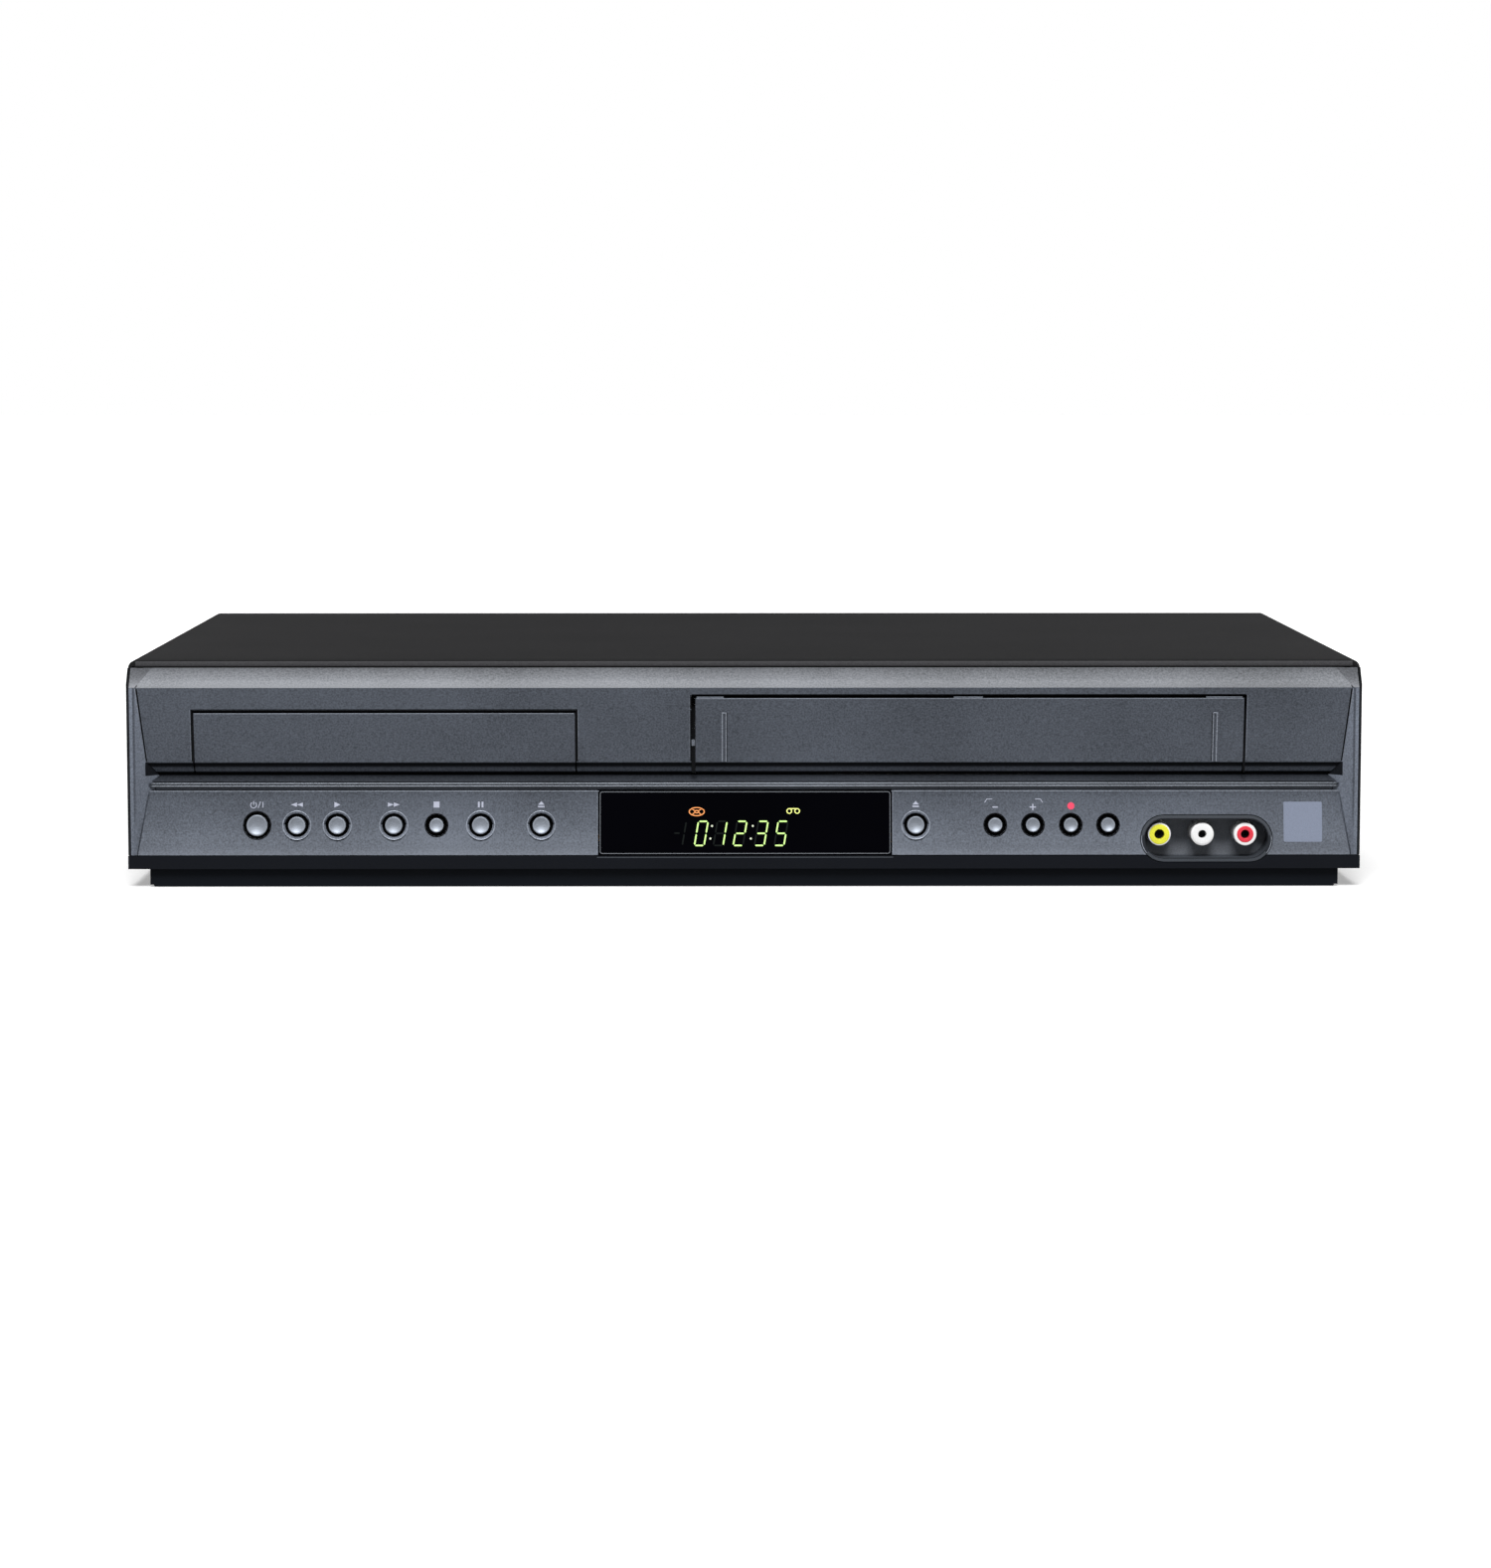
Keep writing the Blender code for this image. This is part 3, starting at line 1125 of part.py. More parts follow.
def loader_section():
    """The loader's section: its floor, and side walls with a ledge under and a lip over the tray."""
    ledge_top = TRAY_BOTTOM - FIT
    ledge_bottom = ledge_top - LOADER_LEDGE_HEIGHT
    lip = TRAY_TOP + FIT
    inside, outside = LOADER_INSIDE, LOADER_OUTSIDE
    right = [
        (outside, LOADER_BOTTOM), (outside, LOADER_TOP), (inside - LOADER_LIP, LOADER_TOP),
        (inside - LOADER_LIP, lip), (inside, lip), (inside, ledge_top), (inside - LOADER_LEDGE, ledge_top),
        (inside - LOADER_LEDGE, ledge_bottom), (inside, ledge_bottom), (inside, LOADER_FLOOR),
    ]
    return [(TRAY_X + x, z) for x, z in right + [(-x, z) for x, z in reversed(right)]]


def make_disc_loader_frame():
    """The loader's frame: its section, a rear wall, ears and legs, and the tray gear's pin."""
    frame = prism("disc_loader_frame", loader_section(), "Y", (LOADER_FRONT, LOADER_REAR))
    wall_x = about(TRAY_X, 2 * (LOADER_OUTSIDE - HAIR))
    wall_y = (LOADER_REAR - HAIR, LOADER_REAR + LOADER_WALL)
    fuse(frame, box("rear wall", wall_x, wall_y, (LOADER_BOTTOM + HAIR, LOADER_TOP - HAIR)))
    sunk = LOADER_FLOOR - LOADER_BASE / 2
    for x, y in loader_legs():
        side = 1 if x > TRAY_X else -1
        ear_x = beside(side, LOADER_INSIDE - LOADER_WALL, LEG_X + LOADER_EAR / 2, TRAY_X)
        fuse(
            frame,
            box("ear", ear_x, about(y, LOADER_EAR), (LOADER_BOTTOM + HAIR, LOADER_FLOOR - HAIR)),
            rod("leg", (x, y), LOADER_LEG_RADIUS, "Z", (FLOOR_TOP + CHASSIS_WALL + FIT, sunk)),
        )
    through = (LOADER_BOTTOM - OVERRUN, LOADER_FLOOR + FIT)
    window_x = about(TRAY_X, 2 * TRAVERSE_HALF_WIDTH - 4 * LOADER_WALL)
    window_y = (DISC_Y - TRAVERSE_FRONT + LOADER_WALL, TRAVERSE_REAR - LOADER_WALL)
    cut(
        frame,
        box("window", window_x, window_y, through),
        rod("motor hole", (MOTOR_GEAR_X, PINION_Y), TRAY_MOTOR_NECK + FIT, "Z", through),
    )
    fuse(frame, rod("gear pin", (PINION_X, PINION_Y), PIN_RADIUS, "Z", (sunk, PINION_TOP - FIT)))
    return dress(frame, "black plastic")


def make_tray_gear():
    """The wheel that the motor turns, with the pinion that drives the rack on top."""
    centre = (PINION_X, PINION_Y)
    pinion_teeth = gear(centre, GEAR_MODULE, GEAR_TEETH, math.pi / GEAR_TEETH)
    wheel_teeth = gear(centre, WHEEL_MODULE, WHEEL_TEETH, math.pi)
    item = prism("tray_gear", pinion_teeth, "Z", (PINION_BOTTOM, PINION_TOP))
    fuse(
        item,
        prism("wheel", wheel_teeth, "Z", (WHEEL_BOTTOM, WHEEL_BOTTOM + WHEEL_HEIGHT)),
        rod("hub", centre, GEAR_HUB_RADIUS, "Z", (WHEEL_BOTTOM + FIT, PINION_BOTTOM + FIT), ROUND_STEPS),
    )
    cut(item, rod("bore", centre, PIN_RADIUS + FIT, "Z", (WHEEL_BOTTOM - OVERRUN, PINION_TOP + OVERRUN)))
    seat(item, (*centre, WHEEL_BOTTOM))
    return dress(item, "white plastic")


def make_tray_motor():
    """The tray's motor, hung under the loader's floor with its neck through it."""
    centre = (MOTOR_GEAR_X, PINION_Y)
    top = LOADER_BOTTOM - FIT
    low = top - TRAY_MOTOR_HEIGHT
    bore = SPINDLE_RADIUS + FIT
    profile = [
        (0, low), (TRAY_MOTOR_RADIUS, low), (TRAY_MOTOR_RADIUS, top), (TRAY_MOTOR_NECK, top),
        (TRAY_MOTOR_NECK, LOADER_FLOOR), (bore, LOADER_FLOOR), (bore, LOADER_BOTTOM), (0, LOADER_BOTTOM),
    ]
    motor = turned("tray_motor", profile, "Z", centre)
    seat(motor, (*centre, low))
    return dress(motor, "cast alloy")


def make_tray_motor_gear():
    """The small gear and shaft in the tray motor's neck, in mesh with the wheel."""
    centre = (MOTOR_GEAR_X, PINION_Y)
    teeth = gear(centre, WHEEL_MODULE, MOTOR_TEETH, math.pi / MOTOR_TEETH)
    small = prism("tray_motor_gear", teeth, "Z", (WHEEL_BOTTOM, WHEEL_BOTTOM + WHEEL_HEIGHT))
    fuse(small, rod("shaft", centre, SPINDLE_RADIUS, "Z", (LOADER_BOTTOM + FIT, WHEEL_BOTTOM + FIT)))
    seat(small, (*centre, WHEEL_BOTTOM))
    return dress(small, "white plastic")


def make_clamp_bridge():
    """The sheet bridge across the loader that holds the disc clamp."""
    bottom = LOADER_TOP + FIT
    top = bottom + BRIDGE_WALL
    across = about(TRAY_X, 2 * LOADER_OUTSIDE)
    bridge = box("clamp_bridge", across, about(DISC_Y, BRIDGE_DEPTH), (bottom, top))
    hole_z = (bottom - OVERRUN, top + OVERRUN)
    cut(bridge, rod("clamp hole", (TRAY_X, DISC_Y), CLAMP_NECK_RADIUS + FIT, "Z", hole_z, ROUND_STEPS))
    return dress(bridge, "zinc sheet")


def make_disc_clamp():
    """The clamp that turns with the disc, loose in its bridge."""
    rest = LOADER_TOP + BRIDGE_WALL + 2 * FIT
    top = rest + CLAMP_WALL
    pad = TURNTABLE_TOP + TURNTABLE_HUB_HEIGHT + FIT
    pad_top = pad + CLAMP_WALL
    profile = [
        (0, pad), (CLAMP_PAD_RADIUS, pad), (CLAMP_PAD_RADIUS, pad_top), (CLAMP_NECK_RADIUS, pad_top),
        (CLAMP_NECK_RADIUS, rest), (CLAMP_TOP_RADIUS, rest), (CLAMP_TOP_RADIUS, top), (0, top),
    ]
    clamp = turned("disc_clamp", profile, "Z", (TRAY_X, DISC_Y))
    seat(clamp, (TRAY_X, DISC_Y, rest))
    return dress(clamp, "white plastic")


def make_spindle_motor():
    """The disc motor's can on the traverse, bored for the turntable's shaft."""
    low, high = TRAVERSE_TOP + FIT, TURNTABLE_TOP - TURNTABLE_HEIGHT - FIT
    bore = SPINDLE_RADIUS + FIT
    bore_end = low + TRAVERSE_WALL
    profile = [
        (0, low), (SPINDLE_MOTOR_RADIUS, low), (SPINDLE_MOTOR_RADIUS, high), (bore, high),
        (bore, bore_end), (0, bore_end),
    ]
    motor = turned("spindle_motor", profile, "Z", (TRAY_X, DISC_Y))
    seat(motor, (TRAY_X, DISC_Y, low))
    return dress(motor, "cast alloy")


def make_turntable():
    """The turntable, with its centring hub and its shaft."""
    low = TURNTABLE_TOP - TURNTABLE_HEIGHT
    hub_top = TURNTABLE_TOP + TURNTABLE_HUB_HEIGHT
    shaft = TRAVERSE_TOP + TRAVERSE_WALL + 2 * FIT
    profile = [
        (0, shaft), (SPINDLE_RADIUS, shaft), (SPINDLE_RADIUS, low), (TURNTABLE_RADIUS, low),
        (TURNTABLE_RADIUS, TURNTABLE_TOP), (TURNTABLE_HUB_RADIUS, TURNTABLE_TOP),
        (TURNTABLE_HUB_RADIUS - TURNTABLE_HUB_HEIGHT / 2, hub_top), (0, hub_top),
    ]
    table = turned("turntable", profile, "Z", (TRAY_X, DISC_Y))
    seat(table, (TRAY_X, DISC_Y, low))
    return dress(table, "black plastic")


def make_traverse_frame():
    """The traverse: a plate over the loader's window, two guide rods and their posts."""
    plate_y = (DISC_Y - TRAVERSE_FRONT, TRAVERSE_REAR)
    width = 2 * TRAVERSE_HALF_WIDTH
    plate = box("traverse_frame", about(TRAY_X, width), plate_y, (TRAVERSE_BOTTOM, TRAVERSE_TOP))
    slot_x = about(TRAY_X, 2 * (PICKUP_HALF_WIDTH - POST_THICKNESS))
    slot_y = (PICKUP_Y + POST_THICKNESS, PICKUP_END - POST_THICKNESS)
    cut(plate, box("pickup slot", slot_x, slot_y, (TRAVERSE_BOTTOM - OVERRUN, TRAVERSE_TOP + OVERRUN)))
    front, rear = PICKUP_Y - FIT - POST_THICKNESS, PICKUP_END + FIT
    post_z = (TRAVERSE_BOTTOM + FIT, ROD_Z + ROD_RADIUS + FIT)
    for x in (TRAY_X - ROD_SPREAD, TRAY_X + ROD_SPREAD, TRAY_X + SCREW_OFFSET):
        post_x = about(x, 2 * (ROD_RADIUS + FIT))
        fuse(plate, *[box("post", post_x, (y, y + POST_THICKNESS), post_z) for y in (front, rear)])
    rod_y = (front + FIT, rear + POST_THICKNESS - FIT)
    for side in (-1, 1):
        fuse(plate, rod("guide rod", (TRAY_X + side * ROD_SPREAD, ROD_Z), ROD_RADIUS, "Y", rod_y))
    screw_y = (front - OVERRUN, rear + POST_THICKNESS + OVERRUN)
    cut(plate, rod("screw bore", (TRAY_X + SCREW_OFFSET, ROD_Z), SCREW_RADIUS + FIT, "Y", screw_y))
    return dress(plate, "zinc sheet")


def make_optical_pickup():
    """The pickup: its body in the tray's slot, its bearings on the rods and its arm to the screw."""
    front, rear = PICKUP_Y, PICKUP_Y + PICKUP_LENGTH
    half = ROD_SPREAD + PICKUP_BEARING
    low = ROD_Z - ROD_RADIUS - 2 * FIT
    body = box("optical_pickup", about(TRAY_X, 2 * half), (front, rear), (low, TRAY_BOTTOM))
    top_z = (TRAY_BOTTOM - FIT, PICKUP_TOP)
    arm_x = (TRAY_X + half - OVERRUN, TRAY_X + SCREW_OFFSET - SCREW_RADIUS - FIT)
    arm_y = (front + PICKUP_BEARING, front + 2 * PICKUP_BEARING)
    lens_place = (TRAY_X, front + PICKUP_LENGTH / 2)
    fuse(
        body,
        box("upper body", about(TRAY_X, 2 * PICKUP_HALF_WIDTH), (front + FIT, rear - FIT), top_z),
        rod("lens", lens_place, LENS_RADIUS, "Z", about(PICKUP_TOP, 2 * LENS_HEIGHT)),
        box("arm", arm_x, arm_y, about(ROD_Z, ROD_RADIUS)),
    )
    through = (front - OVERRUN, rear + OVERRUN)
    for side in (-1, 1):
        cut(body, rod("rod bore", (TRAY_X + side * ROD_SPREAD, ROD_Z), ROD_RADIUS + FIT, "Y", through))
    seat(body, (TRAY_X, front, ROD_Z))
    return dress(body, "grey plastic")


def make_sled_screw():
    """The lead screw that moves the pickup, in the traverse's posts."""
    front = PICKUP_Y - FIT - POST_THICKNESS
    place = (TRAY_X + SCREW_OFFSET, ROD_Z)
    screw = rod("sled_screw", place, SCREW_RADIUS, "Y", (front, TRAVERSE_REAR))
    seat(screw, (place[0], front, place[1]))
    return dress(screw, "polished steel")


# The cassette drive
def deck_bosses():
    """The places of the chassis bosses under the deck: its four corners and its middle."""
    inset = 2 * DECK_BOSS_RADIUS
    sides = about(DOOR_X, 2 * (DECK_HALF - inset))
    return [(x, y) for x in sides for y in (CARRIER_FRONT + inset, DECK_REAR - inset)] + [(DOOR_X, REEL_Y)]


def track_outline():
    """The carrier's track: level to the back, then down, wide enough for its pins."""
    slot = CARRIER_PIN_RADIUS + TRACK_PLAY
    near, far = CARRIER_PIN_Y, CARRIER_PIN_Y + CARRIER_TRAVEL
    high, low = CARRIER_PIN_Z, CARRIER_PIN_Z - CARRIER_DROP
    return [
        (near - slot, high - slot), (far - slot, high - slot), (far - slot, low - slot),
        (far + slot, low - slot), (far + slot, high + slot), (near - slot, high + slot),
    ]


def make_deck_chassis():
    """The deck plate, its side walls with the carrier's tracks, and the pins that carry the mechanism."""
    deck_y = (CARRIER_FRONT, DECK_REAR)
    deck = box("deck_chassis", about(DOOR_X, 2 * DECK_HALF), deck_y, (DECK_BOTTOM, DECK_TOP))
    wall_y = (CARRIER_FRONT, CARRIER_PIN_Y + CARRIER_TRAVEL + SLIDER_DEPTH / 2 + DECK_BOSS_RADIUS)
    through = (DECK_BOTTOM - OVERRUN, DECK_TOP + OVERRUN)
    slot_y = (GUIDE_Y - GUIDE_BASE[1], GUIDE_Y + GUIDE_TRAVEL + GUIDE_BASE[1])
    for side in (-1, 1):
        wall_x = beside(side, SIDE_INSIDE, DECK_HALF, DOOR_X)
        fuse(deck, box("side wall", wall_x, wall_y, (DECK_BOTTOM + HAIR, SIDE_TOP)))
    for side in (-1, 1):
        wide_x = beside(side, SIDE_INSIDE - OVERRUN, DECK_HALF + OVERRUN, DOOR_X)
        slot_x = about(DOOR_X + side * GUIDE_SPREAD, 2 * (GUIDE_NECK + FIT))
        cut(
            deck,
            prism("carrier track", track_outline(), "X", wide_x),
            box("guide slot", slot_x, slot_y, through),
        )
    sunk = DECK_TOP - DECK_WALL / 2
    sleeve_top = DECK_TOP + CAPSTAN_SLEEVE_HEIGHT
    arm = (PINCH_PIVOT_X, PINCH_PRESSED_Y)
    capstan = (CAPSTAN_X, CAPSTAN_Y)
    pin_z = (sunk, DECK_TOP + REEL_HEIGHT - FIT)
    for side in (-1, 1):
        fuse(deck, rod("reel pin", (DOOR_X + side * REEL_SPACING / 2, REEL_Y), CAPSTAN_RADIUS, "Z", pin_z))
    fuse(
        deck,
        rod("capstan sleeve", capstan, CAPSTAN_SLEEVE, "Z", (sunk, sleeve_top)),
        rod("arm pin", arm, CAPSTAN_RADIUS, "Z", (sunk, DECK_TOP + PINCH_HUB_HEIGHT)),
    )
    bore_z = (DECK_BOTTOM - OVERRUN, sleeve_top + OVERRUN)
    cut(deck, rod("capstan bore", capstan, CAPSTAN_RADIUS + FIT, "Z", bore_z))
    return dress(deck, "zinc sheet")


def make_lower_drum():
    """The still half of the head drum, tilted on its level pedestal."""
    bore = DRUM_SHAFT_RADIUS + FIT
    top = LOWER_DRUM_HEIGHT
    bore_end = top - DRUM_SHAFT_LENGTH - FIT
    profile = [
        (0, 0), (DRUM_RADIUS, 0), (DRUM_RADIUS, top), (bore, top), (bore, bore_end), (0, bore_end),
    ]
    drum = turned("lower_drum", profile, "Z", (0, 0), 2 * ROUND_STEPS)
    place = Matrix.Translation((DOOR_X, DRUM_Y, DRUM_PIVOT_Z))
    drum.data.transform(place @ Matrix.Rotation(DRUM_TILT, 4, "Y"))
    pedestal_z = (PINS_Z, PINS_Z + DRUM_BASE_HEIGHT)
    fuse(drum, rod("pedestal", (DOOR_X, DRUM_Y), DRUM_BASE_RADIUS, "Z", pedestal_z, ROUND_STEPS))
    return dress(drum, "cast alloy")


def make_head_drum():
    """The turning half of the head drum, dished on top, with its shaft."""
    low = LOWER_DRUM_HEIGHT + FIT
    high = low + UPPER_DRUM_HEIGHT
    shaft = LOWER_DRUM_HEIGHT - DRUM_SHAFT_LENGTH
    rim = DRUM_RADIUS - DRUM_RIM
    boss = 2 * DRUM_SHAFT_RADIUS
    dish, boss_top = high - DRUM_DISH, high + DRUM_DISH
    profile = [
        (0, shaft), (DRUM_SHAFT_RADIUS, shaft), (DRUM_SHAFT_RADIUS, low), (DRUM_RADIUS, low),
        (DRUM_RADIUS, high), (rim, high), (rim, dish), (boss, dish), (boss, boss_top), (0, boss_top),
    ]
    drum = turned("head_drum", profile, "Z", (0, 0), 2 * ROUND_STEPS)
    drum.location = (DOOR_X, DRUM_Y, DRUM_PIVOT_Z)
    drum.rotation_euler = (0, DRUM_TILT, 0)
    return dress(drum, "polished steel")


def make_capstan_flywheel():
    """The flywheel under the deck, with the capstan shaft through its sleeve."""
    hub_top = DECK_BOTTOM - FIT
    wheel_top = hub_top - FLYWHEEL_HUB_HEIGHT
    low = wheel_top - FLYWHEEL_HEIGHT
    tip = DECK_TOP + CAPSTAN_HEIGHT
    profile = [
        (0, low), (FLYWHEEL_RADIUS, low), (FLYWHEEL_RADIUS, wheel_top), (FLYWHEEL_HUB, wheel_top),
        (FLYWHEEL_HUB, hub_top), (CAPSTAN_RADIUS, hub_top), (CAPSTAN_RADIUS, tip), (0, tip),
    ]
    wheel = turned("capstan_flywheel", profile, "Z", (CAPSTAN_X, CAPSTAN_Y))
    seat(wheel, (CAPSTAN_X, CAPSTAN_Y, low))
    return dress(wheel, "polished steel")


def pinch_place():
    """Where the pinch roller's axis rests, swung away from the capstan."""
    angle = math.pi + PINCH_SWING
    x = PINCH_PIVOT_X + PINCH_ARM_LENGTH * math.cos(angle)
    return x, PINCH_PRESSED_Y + PINCH_ARM_LENGTH * math.sin(angle)


def make_pinch_arm():
    """The arm that swings the pinch roller to the capstan, on the deck's pin."""
    pivot = (PINCH_PIVOT_X, PINCH_PRESSED_Y)
    roller = pinch_place()
    angle = math.pi + PINCH_SWING
    outline = arc(pivot, PINCH_ARM_WIDTH, angle - 3 * math.pi / 2, math.pi, SMALL_STEPS)
    outline += arc(roller, PINCH_ARM_WIDTH, angle - math.pi / 2, math.pi, SMALL_STEPS)
    low = PINS_Z + PINCH_ARM_WALL
    high = low + PINCH_ARM_WALL
    hub_top = DECK_TOP + PINCH_HUB_HEIGHT
    arm = prism("pinch_arm", outline, "Z", (low, high))
    fuse(
        arm,
        rod("hub", pivot, PINCH_ARM_WIDTH - FIT, "Z", (PINS_Z, hub_top - FIT)),
        rod("roller pin", roller, CAPSTAN_RADIUS, "Z", (low + FIT, high + PINCH_HEIGHT)),
    )
    cut(arm, rod("bore", pivot, CAPSTAN_RADIUS + FIT, "Z", (PINS_Z - OVERRUN, hub_top + OVERRUN)))
    seat(arm, (*pivot, PINS_Z))
    return dress(arm, "zinc sheet")


def make_pinch_roller():
    """The rubber roller on the pinch arm's pin."""
    low = PINS_Z + 2 * PINCH_ARM_WALL + FIT
    high = low + PINCH_HEIGHT
    bore = CAPSTAN_RADIUS + FIT
    place = pinch_place()
    profile = [(bore, low), (PINCH_RADIUS, low), (PINCH_RADIUS, high), (bore, high)]
    roller = turned("pinch_roller", profile, "Z", place)
    seat(roller, (*place, low))
    return dress(roller, "rubber")


def make_reel(name, side):
    """A reel table with its hub and its splined spindle, on the deck's pin."""
    centre = (DOOR_X + side * REEL_SPACING / 2, REEL_Y)
    bore = CAPSTAN_RADIUS + FIT
    low = PINS_Z
    table, hub, high = low + REEL_TABLE, low + REEL_HUB_HEIGHT, low + REEL_HEIGHT
    profile = [
        (bore, low), (REEL_RADIUS, low), (REEL_RADIUS, table), (REEL_HUB_RADIUS, table),
        (REEL_HUB_RADIUS, hub), (REEL_SPINDLE_RADIUS, hub), (REEL_SPINDLE_RADIUS, high), (bore, high),
    ]
    reel = turned(name, profile, "Z", centre)
    first = math.pi / ROUND_STEPS
    for x, y in arc(centre, REEL_SPINDLE_RADIUS, first, math.tau, REEL_SPLINES)[:-1]:
        fuse(reel, rod("spline", (x, y), REEL_SPLINE_RADIUS, "Z", (hub - FIT, high - FIT)))
    seat(reel, (*centre, low))
    return dress(reel, "grey plastic")


def make_guide(name, side):
    """A guide base in its slot, with its clip below and its two posts."""
    x = DOOR_X + side * GUIDE_SPREAD
    half_x, half_y, height = GUIDE_BASE
    top = PINS_Z + height
    post_top = top + GUIDE_ROLLER_HEIGHT
    base = box(name, about(x, 2 * half_x), about(GUIDE_Y, 2 * half_y), (PINS_Z, top))
    clip_top = DECK_BOTTOM - FIT
    neck_z = (clip_top - GUIDE_CLIP_HEIGHT / 2, PINS_Z + FIT)
    clip_z = (clip_top - GUIDE_CLIP_HEIGHT, clip_top)
    slanted = (x + side * half_x / 2, GUIDE_Y + half_y / 2)
    fuse(
        base,
        box("neck", about(x, 2 * GUIDE_NECK), about(GUIDE_Y, half_y), neck_z),
        box("clip", about(x, 2 * GUIDE_CLIP), about(GUIDE_Y, half_y + 2 * FIT), clip_z),
        rod("roller post", (x, GUIDE_Y - half_y / 3), GUIDE_ROLLER_RADIUS, "Z", (top - FIT, post_top)),
        rod("thin post", slanted, CAPSTAN_RADIUS / 2, "Z", (top - FIT, post_top - GUIDE_NECK)),
    )
    seat(base, (x, GUIDE_Y, PINS_Z))
    return dress(base, "cast alloy")


def make_carrier_slider():
    """The slider: two side plates with upright slots, joined by a bar over the carrier."""
    rear = SLIDER_FRONT + SLIDER_DEPTH
    bar_top = SLIDER_TOP + SLIDER_BAR_WALL
    bar_y = (rear - SLIDER_BAR_DEPTH, rear)
    bar = box("carrier_slider", about(DOOR_X, 2 * SLIDER_OUTSIDE), bar_y, (SLIDER_TOP, bar_top))
    slot = CARRIER_PIN_RADIUS + TRACK_PLAY
    plate_z = (SLIDER_BOTTOM, bar_top - SLIDER_BAR_WALL / 2)
    slot_z = (CARRIER_PIN_Z - CARRIER_DROP - slot, CARRIER_PIN_Z + slot)
    for side in (-1, 1):
        plate_x = beside(side, SLIDER_INSIDE, SLIDER_OUTSIDE, DOOR_X)
        fuse(bar, box("side plate", plate_x, (SLIDER_FRONT, rear - HAIR), plate_z))
    for side in (-1, 1):
        wide_x = beside(side, SLIDER_INSIDE - OVERRUN, SLIDER_OUTSIDE + OVERRUN, DOOR_X)
        cut(bar, box("pin slot", wide_x, about(CARRIER_PIN_Y, 2 * slot), slot_z))
    seat(bar, (DOOR_X, SLIDER_FRONT, SLIDER_TOP))
    return dress(bar, "zinc sheet")


def carrier_section():
    """The carrier's section: ledges at the bottom, side walls, chamfered shoulders and a top."""
    inside, wall = CARRIER_INSIDE, CARRIER_WALL
    shoulder = SLIDER_BAR_RISE / 2
    outside = CARRIER_OUTSIDE
    outer = [(outside, CARRIER_BOTTOM), (outside, CARRIER_TOP - shoulder), (inside, CARRIER_TOP)]
    inner = [
        (inside - 2 * shoulder, CARRIER_TOP - wall), (inside, CARRIER_TOP - wall - shoulder),
        (inside, CARRIER_BOTTOM + wall), (inside - CARRIER_LEDGE, CARRIER_BOTTOM + wall),
        (inside - CARRIER_LEDGE, CARRIER_BOTTOM),
    ]
    left = [(-x, z) for x, z in reversed(outer)] + [(-x, z) for x, z in reversed(inner)]
    return [(DOOR_X + x, z) for x, z in outer + left + inner]


def make_cassette_carrier():
    """The carrier that holds the cassette: side walls, bottom ledges, top plate and pins."""
    carrier = prism("cassette_carrier", carrier_section(), "Y", (CARRIER_FRONT, CARRIER_REAR))
    window_x = about(DOOR_X, CARRIER_WINDOW_SHARE * CASSETTE_WIDTH)
    window_y = about((CARRIER_FRONT + CARRIER_REAR) / 2, CARRIER_WINDOW_SHARE * CARRIER_DEPTH)
    window_z = (CARRIER_TOP - 2 * CARRIER_WALL, CARRIER_TOP + OVERRUN)
    cut(carrier, box("top window", window_x, window_y, window_z))
    for side in (-1, 1):
        pin_x = beside(side, CARRIER_INSIDE + CARRIER_WALL / 2, SLIDER_OUTSIDE - FIT / 2, DOOR_X)
        fuse(carrier, rod("track pin", (CARRIER_PIN_Y, CARRIER_PIN_Z), CARRIER_PIN_RADIUS, "X", pin_x))
    seat(carrier, (DOOR_X, CARRIER_FRONT, CARRIER_BOTTOM))
    return dress(carrier, "zinc sheet")


def make_audio_control_head():
    """The sound and control head on its stalk and foot plate."""
    width, depth, height = HEAD_SIZE
    lap = 2 * HEAD_PLATE_LAP
    foot_z = (PINS_Z, PINS_Z + HEAD_PLATE)
    low = PINS_Z + HEAD_STALK
    plate = box("audio_control_head", about(HEAD_X, width + lap), about(HEAD_Y, depth + lap), foot_z)
    fuse(
        plate,
        rod("stalk", (HEAD_X, HEAD_Y), HEAD_PLATE_LAP, "Z", (PINS_Z + FIT, low + FIT)),
        box("head block", about(HEAD_X, width), about(HEAD_Y, depth), (low, low + height)),
    )
    return dress(plate, "polished steel")


def make_loading_motor():
    """The cassette drive's loading motor and its gearbox at the deck's rear left."""
    width, depth, height = GEARBOX
    low_x = DOOR_X - DECK_HALF + LOADING_MOTOR_INSET
    end_x = low_x + width
    y = DECK_REAR - depth / 2 - LOADING_MOTOR_INSET
    gearbox = box("loading_motor", (low_x, end_x), about(y, depth), (PINS_Z, PINS_Z + height))
    centre = (y, PINS_Z + LOADING_MOTOR_RADIUS)
    can_x = (end_x - FIT, end_x + LOADING_MOTOR_LENGTH)
    fuse(gearbox, rod("can", centre, LOADING_MOTOR_RADIUS - FIT, "X", can_x, ROUND_STEPS))
    return dress(gearbox, "cast alloy")


# Boards and connectors
def board_bosses(span):
    """The places of the four bosses under a board."""
    inset = BOARD_BOSS_INSET
    ys = (BOARD_FRONT_Y + inset, BOARD_REAR_Y - inset)
    return [(x, y) for x in (span[0] + inset, span[1] - inset) for y in ys]


def board(name, span):
    """A bare board on its bosses."""
    return box(name, span, (BOARD_FRONT_Y, BOARD_REAR_Y), (BOARD_BOTTOM, BOARD_TOP))


def on_board(name, place, size):
    """A block centred at a place on a board."""
    width, depth, height = size
    return box(name, about(place[0], width), about(place[1], depth), (BOARD_TOP - FIT, BOARD_TOP + height))


def part_way(span, share):
    """A place at a share of the way along a span."""
    return span[0] + share * (span[1] - span[0])


